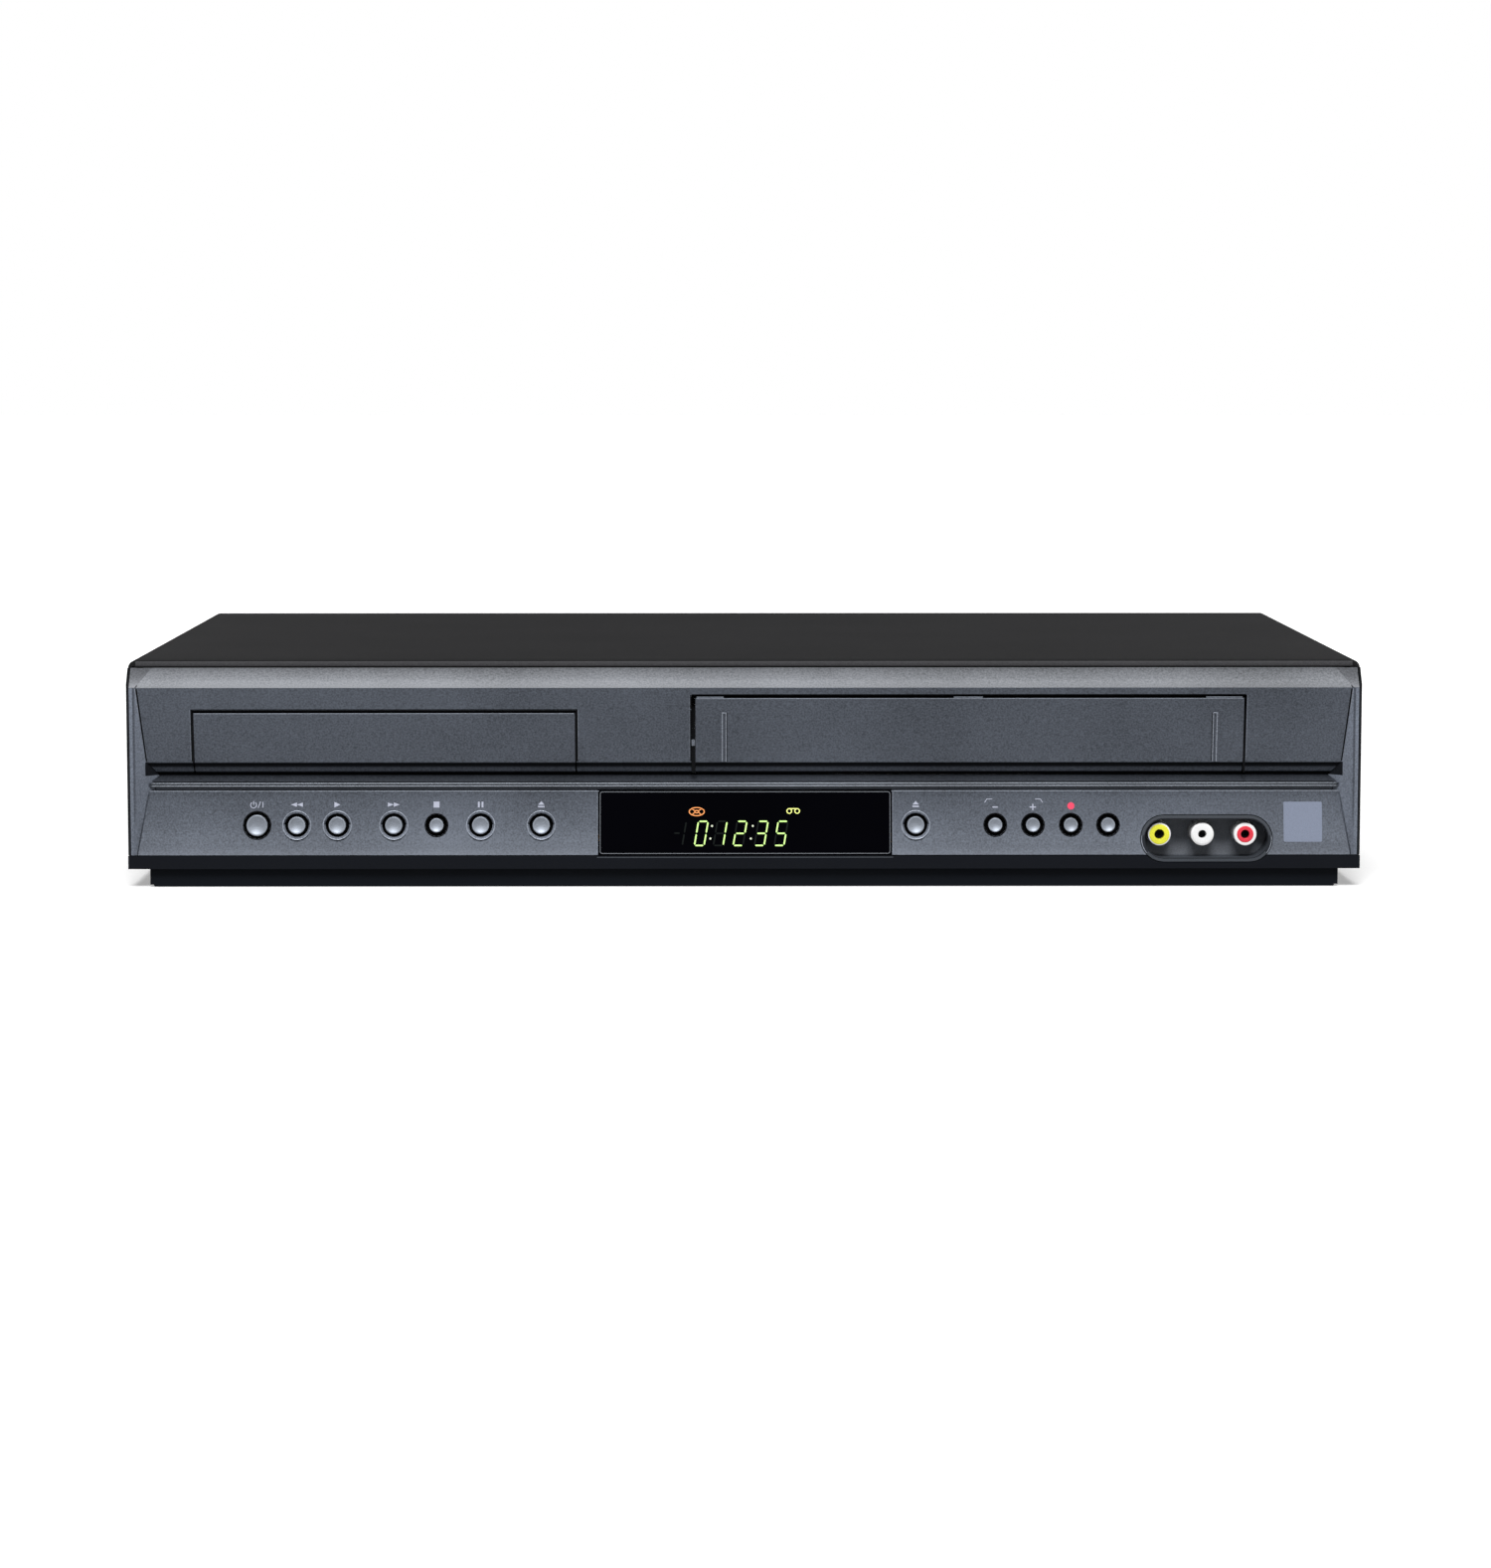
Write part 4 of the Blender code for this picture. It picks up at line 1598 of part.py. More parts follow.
def on_board_place(span, across_share, back_share):
    """A place on a board at a share of its width and of its depth."""
    return part_way(span, across_share), part_way((BOARD_FRONT_Y, BOARD_REAR_Y), back_share)


def make_main_board():
    """The main board with its chips and connectors."""
    item = board("main_board", MAIN_BOARD_X)
    for across_share, back_share, side in MAIN_CHIPS_SHARES:
        size = (side * CHIP_SIDE, side * CHIP_SIDE, CHIP_HEIGHT)
        fuse(item, on_board("chip", on_board_place(MAIN_BOARD_X, across_share, back_share), size))
    connector_place = (part_way(MAIN_BOARD_X, 1 / 2), BOARD_FRONT_Y + SWITCH_SIZE)
    fuse(item, on_board("connector", connector_place, (3 * SWITCH_SIZE, SWITCH_SIZE, SWITCH_SIZE)))
    return dress(item, "green board")


def make_power_board():
    """The power board with its transformer, capacitors and heat sink."""
    item = board("power_board", POWER_BOARD_X)
    fuse(
        item,
        on_board("transformer", on_board_place(POWER_BOARD_X, 1 / 2, 1 / 2), TRANSFORMER),
        on_board("heat sink", on_board_place(POWER_BOARD_X, 1 / 2, 1 / 4), HEAT_SINK),
    )
    x, y = on_board_place(POWER_BOARD_X, 1 / 2, 3 / 4)
    can_z = (BOARD_TOP - FIT, BOARD_TOP + CAN_HEIGHT)
    for centre_x in about(x, CAN_SPACING):
        fuse(item, rod("capacitor", (centre_x, y), CAN_RADIUS, "Z", can_z, ROUND_STEPS))
    return dress(item, "brown board")


def front_board_span():
    """The front board's ends: past the outermost buttons."""
    return button_x("power_button") - FRONT_BOARD_LAP, button_x("source_button") + BOARD_BOSS_INSET


def front_board_edges():
    """The front board's bottom and top, inside the fascia's lower half."""
    return LOWER_FACE_BOTTOM + FASCIA_WALL + FIT, LOWER_FACE_TOP - FRONT_BOARD_DROP


def front_board_bosses():
    """The places of the fascia's bosses that carry the front board: an end, and two between buttons."""
    z = front_board_edges()[1] - BOARD_BOSS_RADIUS
    left = front_board_span()[0] + BOARD_BOSS_RADIUS
    pairs = (("pause_button", "open_close_button"), ("eject_button", "tracking_minus_button"))
    return [(left, z)] + [((button_x(a) + button_x(b)) / 2, z) for a, b in pairs]


def make_front_board():
    """The board behind the buttons, with a switch for each and the display tube."""
    edges = front_board_edges()
    face = front_board_y()
    item = box("front_board", front_board_span(), (face, face + BOARD_WALL), edges)
    front = face - SWITCH_DEPTH
    for name in BUTTON_SHARES:
        x = button_x(name)
        fuse(
            item,
            box("switch", about(x, SWITCH_SIZE), (front, face + FIT), about(BUTTON_Z, SWITCH_SIZE)),
            rod("plunger", (x, BUTTON_Z), PLUNGER_RADIUS, "Y", (front - PLUNGER_LENGTH, front + FIT)),
        )
    tube_y = (FRONT_Y + LOWER_TOP_RECESS + WINDOW_WALL + TUBE_GAP, face + FIT)
    fuse(item, box("tube", about(WINDOW_OFFSET, TUBE_WIDTH), tube_y, about(sum(edges) / 2, TUBE_HEIGHT)))
    return dress(item, "brown board")


def rear_jacks():
    """The places of the rear jacks, in rows and columns above the main board."""
    middle = part_way(MAIN_BOARD_X, 1 / 2)
    base = BOARD_TOP + FIT
    rows = [base + REAR_BLOCK_HEIGHT * (row + 1 / 2) / REAR_ROWS for row in range(REAR_ROWS)]
    columns = [middle + (column - (REAR_COLUMNS - 1) / 2) * REAR_PITCH for column in range(REAR_COLUMNS)]
    return [(x, z) for z in rows for x in columns]


def make_rear_jack_block():
    """The rear jacks in one housing on the main board's edge."""
    width = REAR_COLUMNS * REAR_PITCH
    base = BOARD_TOP + FIT
    rear = REAR_INSIDE - FIT
    tip = DEPTH / 2
    body_y = (rear - REAR_BLOCK_DEPTH, rear)
    body_x = about(part_way(MAIN_BOARD_X, 1 / 2), width)
    block = box("rear_jack_block", body_x, body_y, (base, base + REAR_BLOCK_HEIGHT))
    add_jacks(block, rear_jacks(), (rear - OVERRUN, tip), (tip - JACK_BORE_DEPTH, tip + OVERRUN))
    return dress(block, "black plastic")


def inlet_centre():
    """The (x, z) place of the mains inlet, above the power board."""
    return part_way(POWER_BOARD_X, 1 / 2), BOARD_TOP + INLET_RISE + INLET_HEIGHT / 2 + INLET_WALL


def inlet_outline(grow):
    """The inlet socket's outline seen from behind, grown all round."""
    return stadium(inlet_centre(), INLET_WIDTH + 2 * grow, INLET_HEIGHT + 2 * grow)


def make_mains_inlet():
    """The two-pin mains inlet: its body, its flange outside the panel, its socket and its pins."""
    outside = REAR_OUTSIDE + FIT
    face = outside + INLET_FLANGE_WALL
    floor = face - INLET_SOCKET_DEPTH
    x, z = inlet_centre()
    body = prism("mains_inlet", inlet_outline(INLET_WALL), "Y", (face - INLET_DEPTH, face))
    foot_y = (face - INLET_DEPTH + FIT, BOARD_REAR_Y - FIT)
    fuse(
        body,
        prism("flange", inlet_outline(INLET_WALL + INLET_FLANGE), "Y", (outside, face - HAIR)),
        box("foot", about(x, 2 * INLET_HEIGHT), foot_y, (BOARD_TOP + FIT, z)),
    )
    cut(body, prism("socket", inlet_outline(0), "Y", (floor, face + OVERRUN)))
    for pin_x in about(x, 2 * INLET_PIN_SPREAD):
        fuse(body, rod("pin", (pin_x, z), INLET_PIN_RADIUS, "Y", (floor - FIT, outside)))
    return dress(body, "black plastic")


def clear_scene():
    """Removes whatever the scene holds."""
    for item in list(bpy.data.objects):
        bpy.data.objects.remove(item, do_unlink=True)


def make_casing():
    """Builds the front, the cover, the chassis and the feet."""
    make_front_panel()
    make_end_cap("left_end_cap", -1)
    make_end_cap("right_end_cap", 1)
    make_trim_bar()
    make_front_plinth()
    make_display_window()
    make_jack_pocket()
    make_front_jack_block()
    for name in BUTTON_SHARES:
        make_button(name)
    make_cassette_door()
    make_top_cover()
    make_base_chassis()
    make_rear_panel()
    make_foot("front_left_foot", -1, -1)
    make_foot("front_right_foot", 1, -1)
    make_foot("rear_left_foot", -1, 1)
    make_foot("rear_right_foot", 1, 1)


def make_disc_drive():
    """Builds the disc drive, with the tray front on its tray."""
    carry(make_disc_tray(), make_tray_front())
    make_disc_loader_frame()
    make_tray_gear()
    make_tray_motor()
    make_tray_motor_gear()
    make_clamp_bridge()
    make_disc_clamp()
    make_traverse_frame()
    make_spindle_motor()
    make_turntable()
    make_optical_pickup()
    make_sled_screw()


def make_cassette_drive():
    """Builds the cassette drive, with the roller on its arm and the carrier on its slider."""
    make_deck_chassis()
    make_lower_drum()
    make_head_drum()
    make_capstan_flywheel()
    carry(make_pinch_arm(), make_pinch_roller())
    make_reel("supply_reel", -1)
    make_reel("takeup_reel", 1)
    make_guide("supply_guide", -1)
    make_guide("takeup_guide", 1)
    carry(make_carrier_slider(), make_cassette_carrier())
    make_audio_control_head()
    make_loading_motor()


def make_electronics():
    """Builds the boards and the connectors on them."""
    make_main_board()
    make_power_board()
    make_front_board()
    make_rear_jack_block()
    make_mains_inlet()


def main():
    """Builds every piece of the player."""
    clear_scene()
    make_casing()
    make_disc_drive()
    make_cassette_drive()
    make_electronics()


if __name__ == "__main__":
    main()
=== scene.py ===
"""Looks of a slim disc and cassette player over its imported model.

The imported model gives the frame. This file gives every node its finish and adds what the frame
doesn't carry: the smooth cover, the button caps and their dishes, printed marks, the lit figures,
beads, seams, coloured jacks and screws. Sizes are in millimetres, with X to the right, Y to the
back and Z up, until a mesh is made.
"""

import logging
import math
from collections.abc import Sequence
from dataclasses import dataclass
from enum import Enum
from functools import cached_property
from typing import Any

import bmesh
import bpy
import numpy as np
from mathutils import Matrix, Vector


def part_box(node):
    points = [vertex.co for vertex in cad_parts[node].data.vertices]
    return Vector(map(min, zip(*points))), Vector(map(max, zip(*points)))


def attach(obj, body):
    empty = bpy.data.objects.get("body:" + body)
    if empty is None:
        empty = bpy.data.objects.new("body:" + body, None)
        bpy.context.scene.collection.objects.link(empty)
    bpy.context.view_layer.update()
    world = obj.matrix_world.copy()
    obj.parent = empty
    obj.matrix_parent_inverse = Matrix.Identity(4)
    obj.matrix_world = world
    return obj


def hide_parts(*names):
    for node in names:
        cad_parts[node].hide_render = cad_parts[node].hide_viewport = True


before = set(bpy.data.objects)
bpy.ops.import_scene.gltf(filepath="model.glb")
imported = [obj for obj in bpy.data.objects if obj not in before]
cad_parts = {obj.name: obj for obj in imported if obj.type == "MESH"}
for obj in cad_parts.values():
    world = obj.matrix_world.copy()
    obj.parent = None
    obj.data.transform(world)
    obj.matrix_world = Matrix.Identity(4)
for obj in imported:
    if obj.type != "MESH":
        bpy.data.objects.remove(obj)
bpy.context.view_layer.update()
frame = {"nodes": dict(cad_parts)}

LOG = logging.getLogger("player")
MM = 0.001
ROUND = 64
FRONT = (0.0, -1.0, 0.0)
BACK = (0.0, 1.0, 0.0)
DOWN = (0.0, 0.0, -1.0)

Colour = tuple[int, int, int]
Point = tuple[float, float, float]
Flat = tuple[float, float]
Socket = bpy.types.NodeSocket

# The part of its range that a noise mostly keeps to
NOISE = (0.3, 0.7)
# How much of a short side a corner's bend may take
BEND_LIMIT = 0.45


# Shapes
@dataclass(frozen=True)
class Form:
    """A shape before it becomes an object.

    points is an array of (x, y, z) rows. faces holds arrays of corner numbers, one array for each
    number of corners.
    """

    points: np.ndarray
    faces: tuple[np.ndarray, ...]

    def __add__(self, other: "Form") -> "Form":
        """Both shapes as one."""
        shifted = tuple(block + len(self.points) for block in other.faces)
        return Form(np.vstack([self.points, other.points]), self.faces + shifted)


def grid_faces(rows: int, columns: int, closed_rows: bool, closed_columns: bool) -> np.ndarray:
    """The quads between the points of a grid.

    Args:
        rows: How many rows of points there are.
        columns: How many points a row has.
        closed_rows: Whether the last row joins the first.
        closed_columns: Whether a row's last point joins its first.

    Returns:
        An array with four corner numbers in each row.
    """
    row = np.arange(rows if closed_rows else rows - 1)[:, None]
    column = np.arange(columns if closed_columns else columns - 1)[None, :]
    next_row = (row + 1) % rows
    next_column = (column + 1) % columns
    corners = [
        row * columns + column, row * columns + next_column,
        next_row * columns + next_column, next_row * columns + column,
    ]
    return np.stack(corners, -1).reshape(-1, 4)


def tube(rings: np.ndarray, closed: bool = False) -> Form:
    """A shape through rings of points, with flat ends unless its last ring joins its first.

    Args:
        rings: An array of (ring, place on the ring, coordinate).
        closed: Whether the last ring joins the first.

    Returns:
        The closed shape.
    """
    rows, columns = rings.shape[:2]
    faces = [grid_faces(rows, columns, closed, True)]
    if not closed:
        ring = np.arange(columns)[None]
        faces += [ring[:, ::-1], ring + (rows - 1) * columns]
    return Form(rings.reshape(-1, 3), tuple(faces))


def unit(vectors: np.ndarray) -> np.ndarray:
    """Each vector divided by its own length."""
    return vectors / np.linalg.norm(vectors, axis=-1, keepdims=True)


def arc(centre: Flat, radius: Flat, start: float, end: float, steps: int) -> np.ndarray:
    """Points on an ellipse's arc: the centre plus (radius cos a, radius sin a), a in degrees.

    Args:
        centre: The ellipse's centre.
        radius: Its half width and half height.
        start: The first point's angle.
        end: The last point's angle.
        steps: How many points there are.

    Returns:
        An array of flat points.
    """
    angle = np.radians(np.linspace(start, end, steps))
    return np.stack([centre[0] + radius[0] * np.cos(angle), centre[1] + radius[1] * np.sin(angle)], 1)


def loop(centre: Flat, radius: Flat, steps: int = ROUND) -> np.ndarray:
    """A whole ellipse, without its first point again at its end."""
    return arc(centre, radius, 0, 360, steps + 1)[:-1]


def stadium(centre: Flat, width: float, height: float) -> np.ndarray:
    """Two half circles joined by straight sides, wider than it is high."""
    reach = (width - height) / 2
    end = (height / 2, height / 2)
    right = arc((centre[0] + reach, centre[1]), end, -90, 90, ROUND // 2)
    left = arc((centre[0] - reach, centre[1]), end, 90, 270, ROUND // 2)
    return np.vstack([right, left])


def oblong(left: float, right: float, low: float, high: float) -> np.ndarray:
    """A rectangle's four corners."""
    return np.array([(left, low), (right, low), (right, high), (left, high)])


def softened(corners: Sequence[Flat], radius: float, closed: bool = True, steps: int = 5) -> np.ndarray:
    """A line with its corners rounded.

    Each corner becomes (1-t)^2 start + 2t(1-t) corner + t^2 end, where start and end lie a radius
    away along the two sides, or under half of a short side.

    Args:
        corners: The line's corners.
        radius: How far from its corner each bend starts.
        closed: Whether the last corner joins the first. An open line keeps its two ends.
        steps: How many points a bend has.

    Returns:
        An array of flat points.
    """
    line = np.asarray(corners, float)
    sides = [np.roll(line, turn, 0) - line for turn in (1, -1)]
    lengths = [np.linalg.norm(side, axis=1, keepdims=True) for side in sides]
    start, end = (
        line + side / length * np.minimum(radius, BEND_LIMIT * length)
        for side, length in zip(sides, lengths)
    )
    t = np.linspace(0, 1, steps)[None, :, None]
    bends = (1 - t) ** 2 * start[:, None] + 2 * t * (1 - t) * line[:, None] + t ** 2 * end[:, None]
    if closed:
        return bends.reshape(-1, 2)
    return np.vstack([line[:1], bends[1:-1].reshape(-1, 2), line[-1:]])


def bead(width: float, height: float, sunk: float = 0.1) -> np.ndarray:
    """A half-round section that stands on a face, with its foot sunk in it."""
    foot = [(-width / 2, -sunk), (width / 2, -sunk)]
    return np.vstack([arc((0, 0), (width / 2, height), 0, 180, 7), foot])


def carried(path: np.ndarray, section: np.ndarray, out: np.ndarray, closed: bool = False) -> Form:
    """A section carried along a flat path.

    Each point is the path's point, plus the section's first number across the path, plus its
    second number along out. Across is out x direction, made longer at a bend by one over the
    cosine of half its angle, so that the section keeps its width.

    Args:
        path: The points that it follows.
        section: A closed outline of (across, out) points.
        out: The direction that the section stands up in.
        closed: Whether the path's end joins its start.

    Returns:
        The closed shape.
    """
    after = np.roll(path, -1, 0) - path
    if not closed:
        after[-1] = after[-2]
    after = unit(after)
    before = np.roll(after, 1, 0)
    if not closed:
        before[0] = after[0]
    side = unit(np.cross(out, after + before))
    side = side / (side * np.cross(out, after)).sum(1, keepdims=True)
    across = section[None, :, :1] * side[:, None]
    return tube(path[:, None] + across + section[None, :, 1:] * np.asarray(out), closed)


def turned(profile: Sequence[Flat], centre: Point, axis: Point, looped: bool = False) -> Form:
    """A profile swung round an axis.

    Each point is centre + radius (first cos a + second sin a) + along axis, for every profile
    point (radius, along) and angle a. An open profile starts and ends on the axis.

    Args:
        profile: The (radius, along) points.
        centre: A point on the axis.
        axis: The axis's direction.
        looped: Whether the profile closes on itself, as a ring's does.

    Returns:
        The closed shape.
    """
    line = np.asarray(profile, float)
    axis = np.asarray(axis, float)
    aside = (0, 0, 1) if abs(axis[2]) < 0.9 else (1, 0, 0)
    first = unit(np.cross(axis, aside))
    second = np.cross(axis, first)
    spokes = loop((0, 0), (1, 1)) @ np.stack([first, second])
    points = np.asarray(centre) + line[:, :1, None] * spokes[None] + line[:, 1:, None] * axis
    return Form(points.reshape(-1, 3), (grid_faces(len(line), ROUND, looped, True),))


@dataclass(frozen=True)
class Face:
    """A flat face across the front, given by the (y, z) places of its two long edges."""

    low: Flat
    high: Flat

    @property
    def up(self) -> np.ndarray:
        """The direction up the face."""
        return unit(np.array([0, self.high[0] - self.low[0], self.high[1] - self.low[1]]))

    @property
    def out(self) -> np.ndarray:
        """The direction away from the face, which is across x up."""
        return np.cross((1, 0, 0), self.up)

    def lean(self, z: np.ndarray | float) -> np.ndarray | float:
        """How far back the face is at a height."""
        share = (z - self.low[1]) / (self.high[1] - self.low[1])
        return self.low[0] + share * (self.high[0] - self.low[0])

    def place(self, flat: np.ndarray, proud: float = 0.0) -> np.ndarray:
        """Puts (x, z) points on the face, or that far out of it."""
        x, z = np.asarray(flat, float).T
        return np.stack([x, self.lean(z), z], 1) + proud * self.out

    def slab(self, outline: np.ndarray, proud: float, sunk: float = 0.05) -> Form:
        """An outline of (x, z) points made a thin plate on the face.

        Args:
            outline: The outline's points, in order.
            proud: How far the plate stands out of the face.
            sunk: How far its back lies inside the face.

        Returns:
            The closed plate.
        """
        return tube(np.stack([self.place(outline, -sunk), self.place(outline, proud)]))

    def line(self, flat: Sequence[Flat], width: float, proud: float, closed: bool = False) -> Form:
        """A bead that follows (x, z) points on the face."""
        return carried(self.place(flat), bead(width, proud), self.out, closed)


def joined(forms: Sequence[Form]) -> Form:
    """Several shapes as one."""
    whole = forms[0]
    for form in forms[1:]:
        whole = whole + form
    return whole


def bar(start: Flat, end: Flat, width: float, point: float = 0.0) -> np.ndarray:
    """A straight stroke's outline, with pointed ends if point is above 0."""
    start, end = np.asarray(start, float), np.asarray(end, float)
    along = unit(end - start)
    across = np.array([-along[1], along[0]]) * width / 2
    near, far = start + along * point, end - along * point
    if not point:
        return np.array([near + across, near - across, far - across, far + across])
    return np.array([start, near - across, far - across, end, far + across, near + across])


def box_mm(node: str) -> tuple[np.ndarray, np.ndarray]:
    """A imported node's lowest and highest corners in millimetres."""
    low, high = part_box(node)
    return np.array(low) / MM, np.array(high) / MM


def housing(node: str, rounding: float, front: float = -math.inf, back: float = math.inf) -> Form:
    """A packed jack housing's block between two limits in y, with rounded upright edges."""
    low, high = box_mm(node)
    outline = softened(oblong(low[0], high[0], max(low[1], front), min(high[1], back)), rounding)
    return tube(np.stack([np.insert(outline, 2, z, axis=1) for z in (low[2], high[2])]))


# Finishes
def linear(colour: Colour) -> Point:
    """A screen colour as linear light."""
    share = np.array(colour) / 255
    light = np.where(share <= 0.04045, share / 12.92, ((share + 0.055) / 1.055) ** 2.4)
    return tuple(float(part) for part in light)


def scaled(colour: Colour, factor: float) -> Point:
    """The colour made darker or lighter by a factor."""
    return tuple(min(255, part * factor) for part in colour)


class Recipe:
    """A material's or a world's nodes, added a step at a time."""

    def __init__(self, owner: bpy.types.ID, shader: str = "Principled BSDF") -> None:
        """Starts from the owner's own plain shader."""
        owner.use_nodes = True
        self.tree = owner.node_tree
        self.shader = self.tree.nodes[shader]

    @cached_property
    def here(self) -> Socket:
        """The object's own coordinates."""
        return self.add("TexCoord").outputs["Object"]

    def add(self, kind: str, inputs: dict[str | int, Any] | None = None, **settings: Any) -> bpy.types.Node:
        """Adds a node.

        Args:
            kind: The node's type, without its first word.
            inputs: For each socket a value, or another node's socket to link from.
            settings: The node's own properties.

        Returns:
            The new node.
        """
        node = self.tree.nodes.new("ShaderNode" + kind)
        for name, value in settings.items():
            setattr(node, name, value)
        for socket, value in (inputs or {}).items():
            self.put(node.inputs[socket], value)
        return node

    def put(self, socket: Socket, value: Any) -> None:
        """Links a socket from another one, or sets its value."""
        if isinstance(value, Socket):
            self.tree.links.new(value, socket)
        else:
            socket.default_value = value

    def dress(self, **inputs: Any) -> None:
        """Sets or links the shader's sockets, named with underscores for spaces."""
        for name, value in inputs.items():
            self.put(self.shader.inputs[name.replace("_", " ")], value)

    def grain(self, size: float, stretch: Point = (1, 1, 1), detail: float = 2.0) -> Socket:
        """Noise from 0 to 1 with grains of a size, drawn out along the axes by the stretch."""
        scale = tuple(1 / part for part in stretch)
        spread = self.add("Mapping", {"Vector": self.here, "Scale": scale}).outputs[0]
        return self.add("TexNoise", {"Vector": spread, "Scale": 1 / (size * MM), "Detail": detail}).outputs[0]

    def axis(self, name: str) -> Socket:
        """One of the object's coordinates, in metres."""
        return self.add("SeparateXYZ", {"Vector": self.here}).outputs[name]

    def sum(self, kind: str, *values: Any) -> Socket:
        """A sum of the named kind on one, two or three values."""
        return self.add("Math", dict(enumerate(values)), operation=kind).outputs[0]

    def times(self, first: Any, *others: Any) -> Socket:
        """The values' product."""
        for other in others:
            first = self.sum("MULTIPLY", first, other)
        return first

    def above(self, value: Socket, place: float) -> Socket:
        """1 where the value lies above a place in millimetres, else 0."""
        return self.sum("GREATER_THAN", value, place * MM)

    def below(self, value: Socket, place: float) -> Socket:
        """1 where the value lies below a place in millimetres, else 0."""
        return self.sum("LESS_THAN", value, place * MM)

    def within(self, value: Socket, ends: Flat) -> Socket:
        """1 where the value lies between two places in millimetres, else 0."""
        return self.times(self.above(value, ends[0]), self.below(value, ends[1]))

    def blended(self, first: Socket, second: Socket, shares: Flat) -> Socket:
        """The first value times its share, plus the second times its own."""
        return self.sum("MULTIPLY_ADD", second, shares[1], self.times(first, shares[0]))

    def ranged(self, value: Socket, start: Flat, end: Flat) -> Socket:
        """The value moved from one range to another and kept inside it."""
        inputs = {"Value": value, 1: start[0], 2: start[1], 3: end[0], 4: end[1]}
        return self.add("MapRange", inputs).outputs[0]

    def lined(self, value: Socket, points: Sequence[Flat]) -> Socket:
        """A share that follows straight lines between (place in millimetres, share) points."""
        low, high = points[0][0], points[-1][0]
        ramp = self.add("ValToRGB", {"Fac": self.ranged(value, (low * MM, high * MM), (0, 1))})
        elements = ramp.color_ramp.elements
        for index, (place, share) in enumerate(points):
            spot = (place - low) / (high - low)
            element = elements[index] if index < 2 else elements.new(spot)
            element.position = spot
            element.color = (share, share, share, 1)
        return ramp.outputs[0]

    def between(self, share: Socket, first: Any, second: Any) -> Socket:
        """One colour or the other, by a share from 0 to 1."""
        ends = [value if isinstance(value, Socket) else (*linear(value), 1) for value in (first, second)]
        return self.add("Mix", {0: share, 6: ends[0], 7: ends[1]}, data_type="RGBA").outputs[2]

    def shaded(self, colour: Colour, spread: float, noise: Socket) -> Socket:
        """The colour made darker and lighter by a spread, as the noise falls and rises."""
        ends = [scaled(colour, 1 + way * spread) for way in (-1, 1)]
        return self.between(self.ranged(noise, NOISE, (0, 1)), *ends)

    def raised(self, height: Socket, depth: float, under: Socket | None = None) -> Socket:
        """A bump of a depth in millimetres, on top of another if one is given."""
        inputs = {"Height": height, "Distance": depth * MM, "Strength": 1.0}
        if under is not None:
            inputs["Normal"] = under
        return self.add("Bump", inputs).outputs[0]


@dataclass(frozen=True)
class Finish:
    """What every finish has: a name, a colour, a roughness and a share of plain gloss."""

    name: str
    colour: Colour
    roughness: float
    gloss: float = 0.5

    def material(self) -> bpy.types.Material:
        """The finish's material, which is made the first time."""
        known = bpy.data.materials.get(self.name)
        if known:
            return known
        material = bpy.data.materials.new(self.name)
        recipe = Recipe(material)
        recipe.dress(Specular_IOR_Level=self.gloss)
        self.mix(recipe)
        return material

    def mix(self, recipe: Recipe) -> None:
        """Adds the finish's own nodes."""
        raise NotImplementedError

    def coat(self, recipe: Recipe, tone: Socket, noise: Socket, swing: Flat, **others: Any) -> None:
        """Dresses the shader with a tone, an uneven roughness and what else the finish has.

        Args:
            recipe: The material's nodes.
            tone: The colour at each place.
            noise: What the roughness follows.
            swing: How far the roughness falls and rises with it.
            others: The shader's other sockets.
        """
        ends = (self.roughness - swing[0], self.roughness + swing[1])
        recipe.dress(Base_Color=tone, Roughness=recipe.ranged(noise, NOISE, ends), **others)


@dataclass(frozen=True)
class Bow:
    """A band of a face that is slightly hollow between two heights, or crowned with a depth under 0."""

    low: float
    high: float
    depth: float


@dataclass(frozen=True)
class SilverPaint(Finish):
    """Sprayed silver paint: fine flakes that sparkle, over mouldings with slightly hollow bands.

    Above the crest's foot it may have a tone of its own. Where a kind of it gives a share under 1, the tone
    moves towards a near-black colour as painted shade, and its gloss falls with it.
    """

    metallic: float = 0.35
    bows: tuple[Bow, ...] = ()
    # The near-black colour of the painted shade that a share under 1 moves the tone towards
    bare: Colour = (3, 3, 4)
    crest: Colour | None = None
    crest_foot: float = 70.8
    flake: float = 0.6
    cloud: float = 45.0
    spread: float = 0.24
    flake_depth: float = 0.012

    def mix(self, recipe: Recipe) -> None:
        """Flakes in colour, roughness and bump over the bands' slow curves.

        A band's height is its depth times u squared, where u goes from -1 to 1 across it.
        """
        flake = recipe.grain(self.flake, detail=4)
        spark = recipe.blended(flake, recipe.grain(self.cloud), (0.75, 0.35))
        surface = None
        for bow in self.bows:
            u = recipe.ranged(recipe.axis("Z"), (bow.low * MM, bow.high * MM), (-1, 1))
            surface = recipe.raised(recipe.times(u, u), bow.depth, surface)
        tone = recipe.shaded(self.colour, self.spread, spark)
        if self.crest is not None:
            high = recipe.above(recipe.axis("Z"), self.crest_foot)
            tone = recipe.between(high, tone, recipe.shaded(self.crest, self.spread, spark))
        # Painted shade: where the share is under 1 the tone darkens towards the near-black colour, and the
        # gloss falls with it as painted shade on the reflection
        share = self.cover(recipe)
        if share is not None:
            tone = recipe.between(share, self.bare, tone)
            recipe.dress(Specular_IOR_Level=recipe.times(share, self.gloss))
        bump = recipe.raised(flake, self.flake_depth, surface)
        self.coat(recipe, tone, flake, (0.05, 0.06), Metallic=self.metallic, Normal=bump)

    def cover(self, recipe: Recipe) -> Socket | None:
        """How much of the paint's own tone each place keeps against the painted shade, or nothing where it
        keeps all of it.
        """
        return None


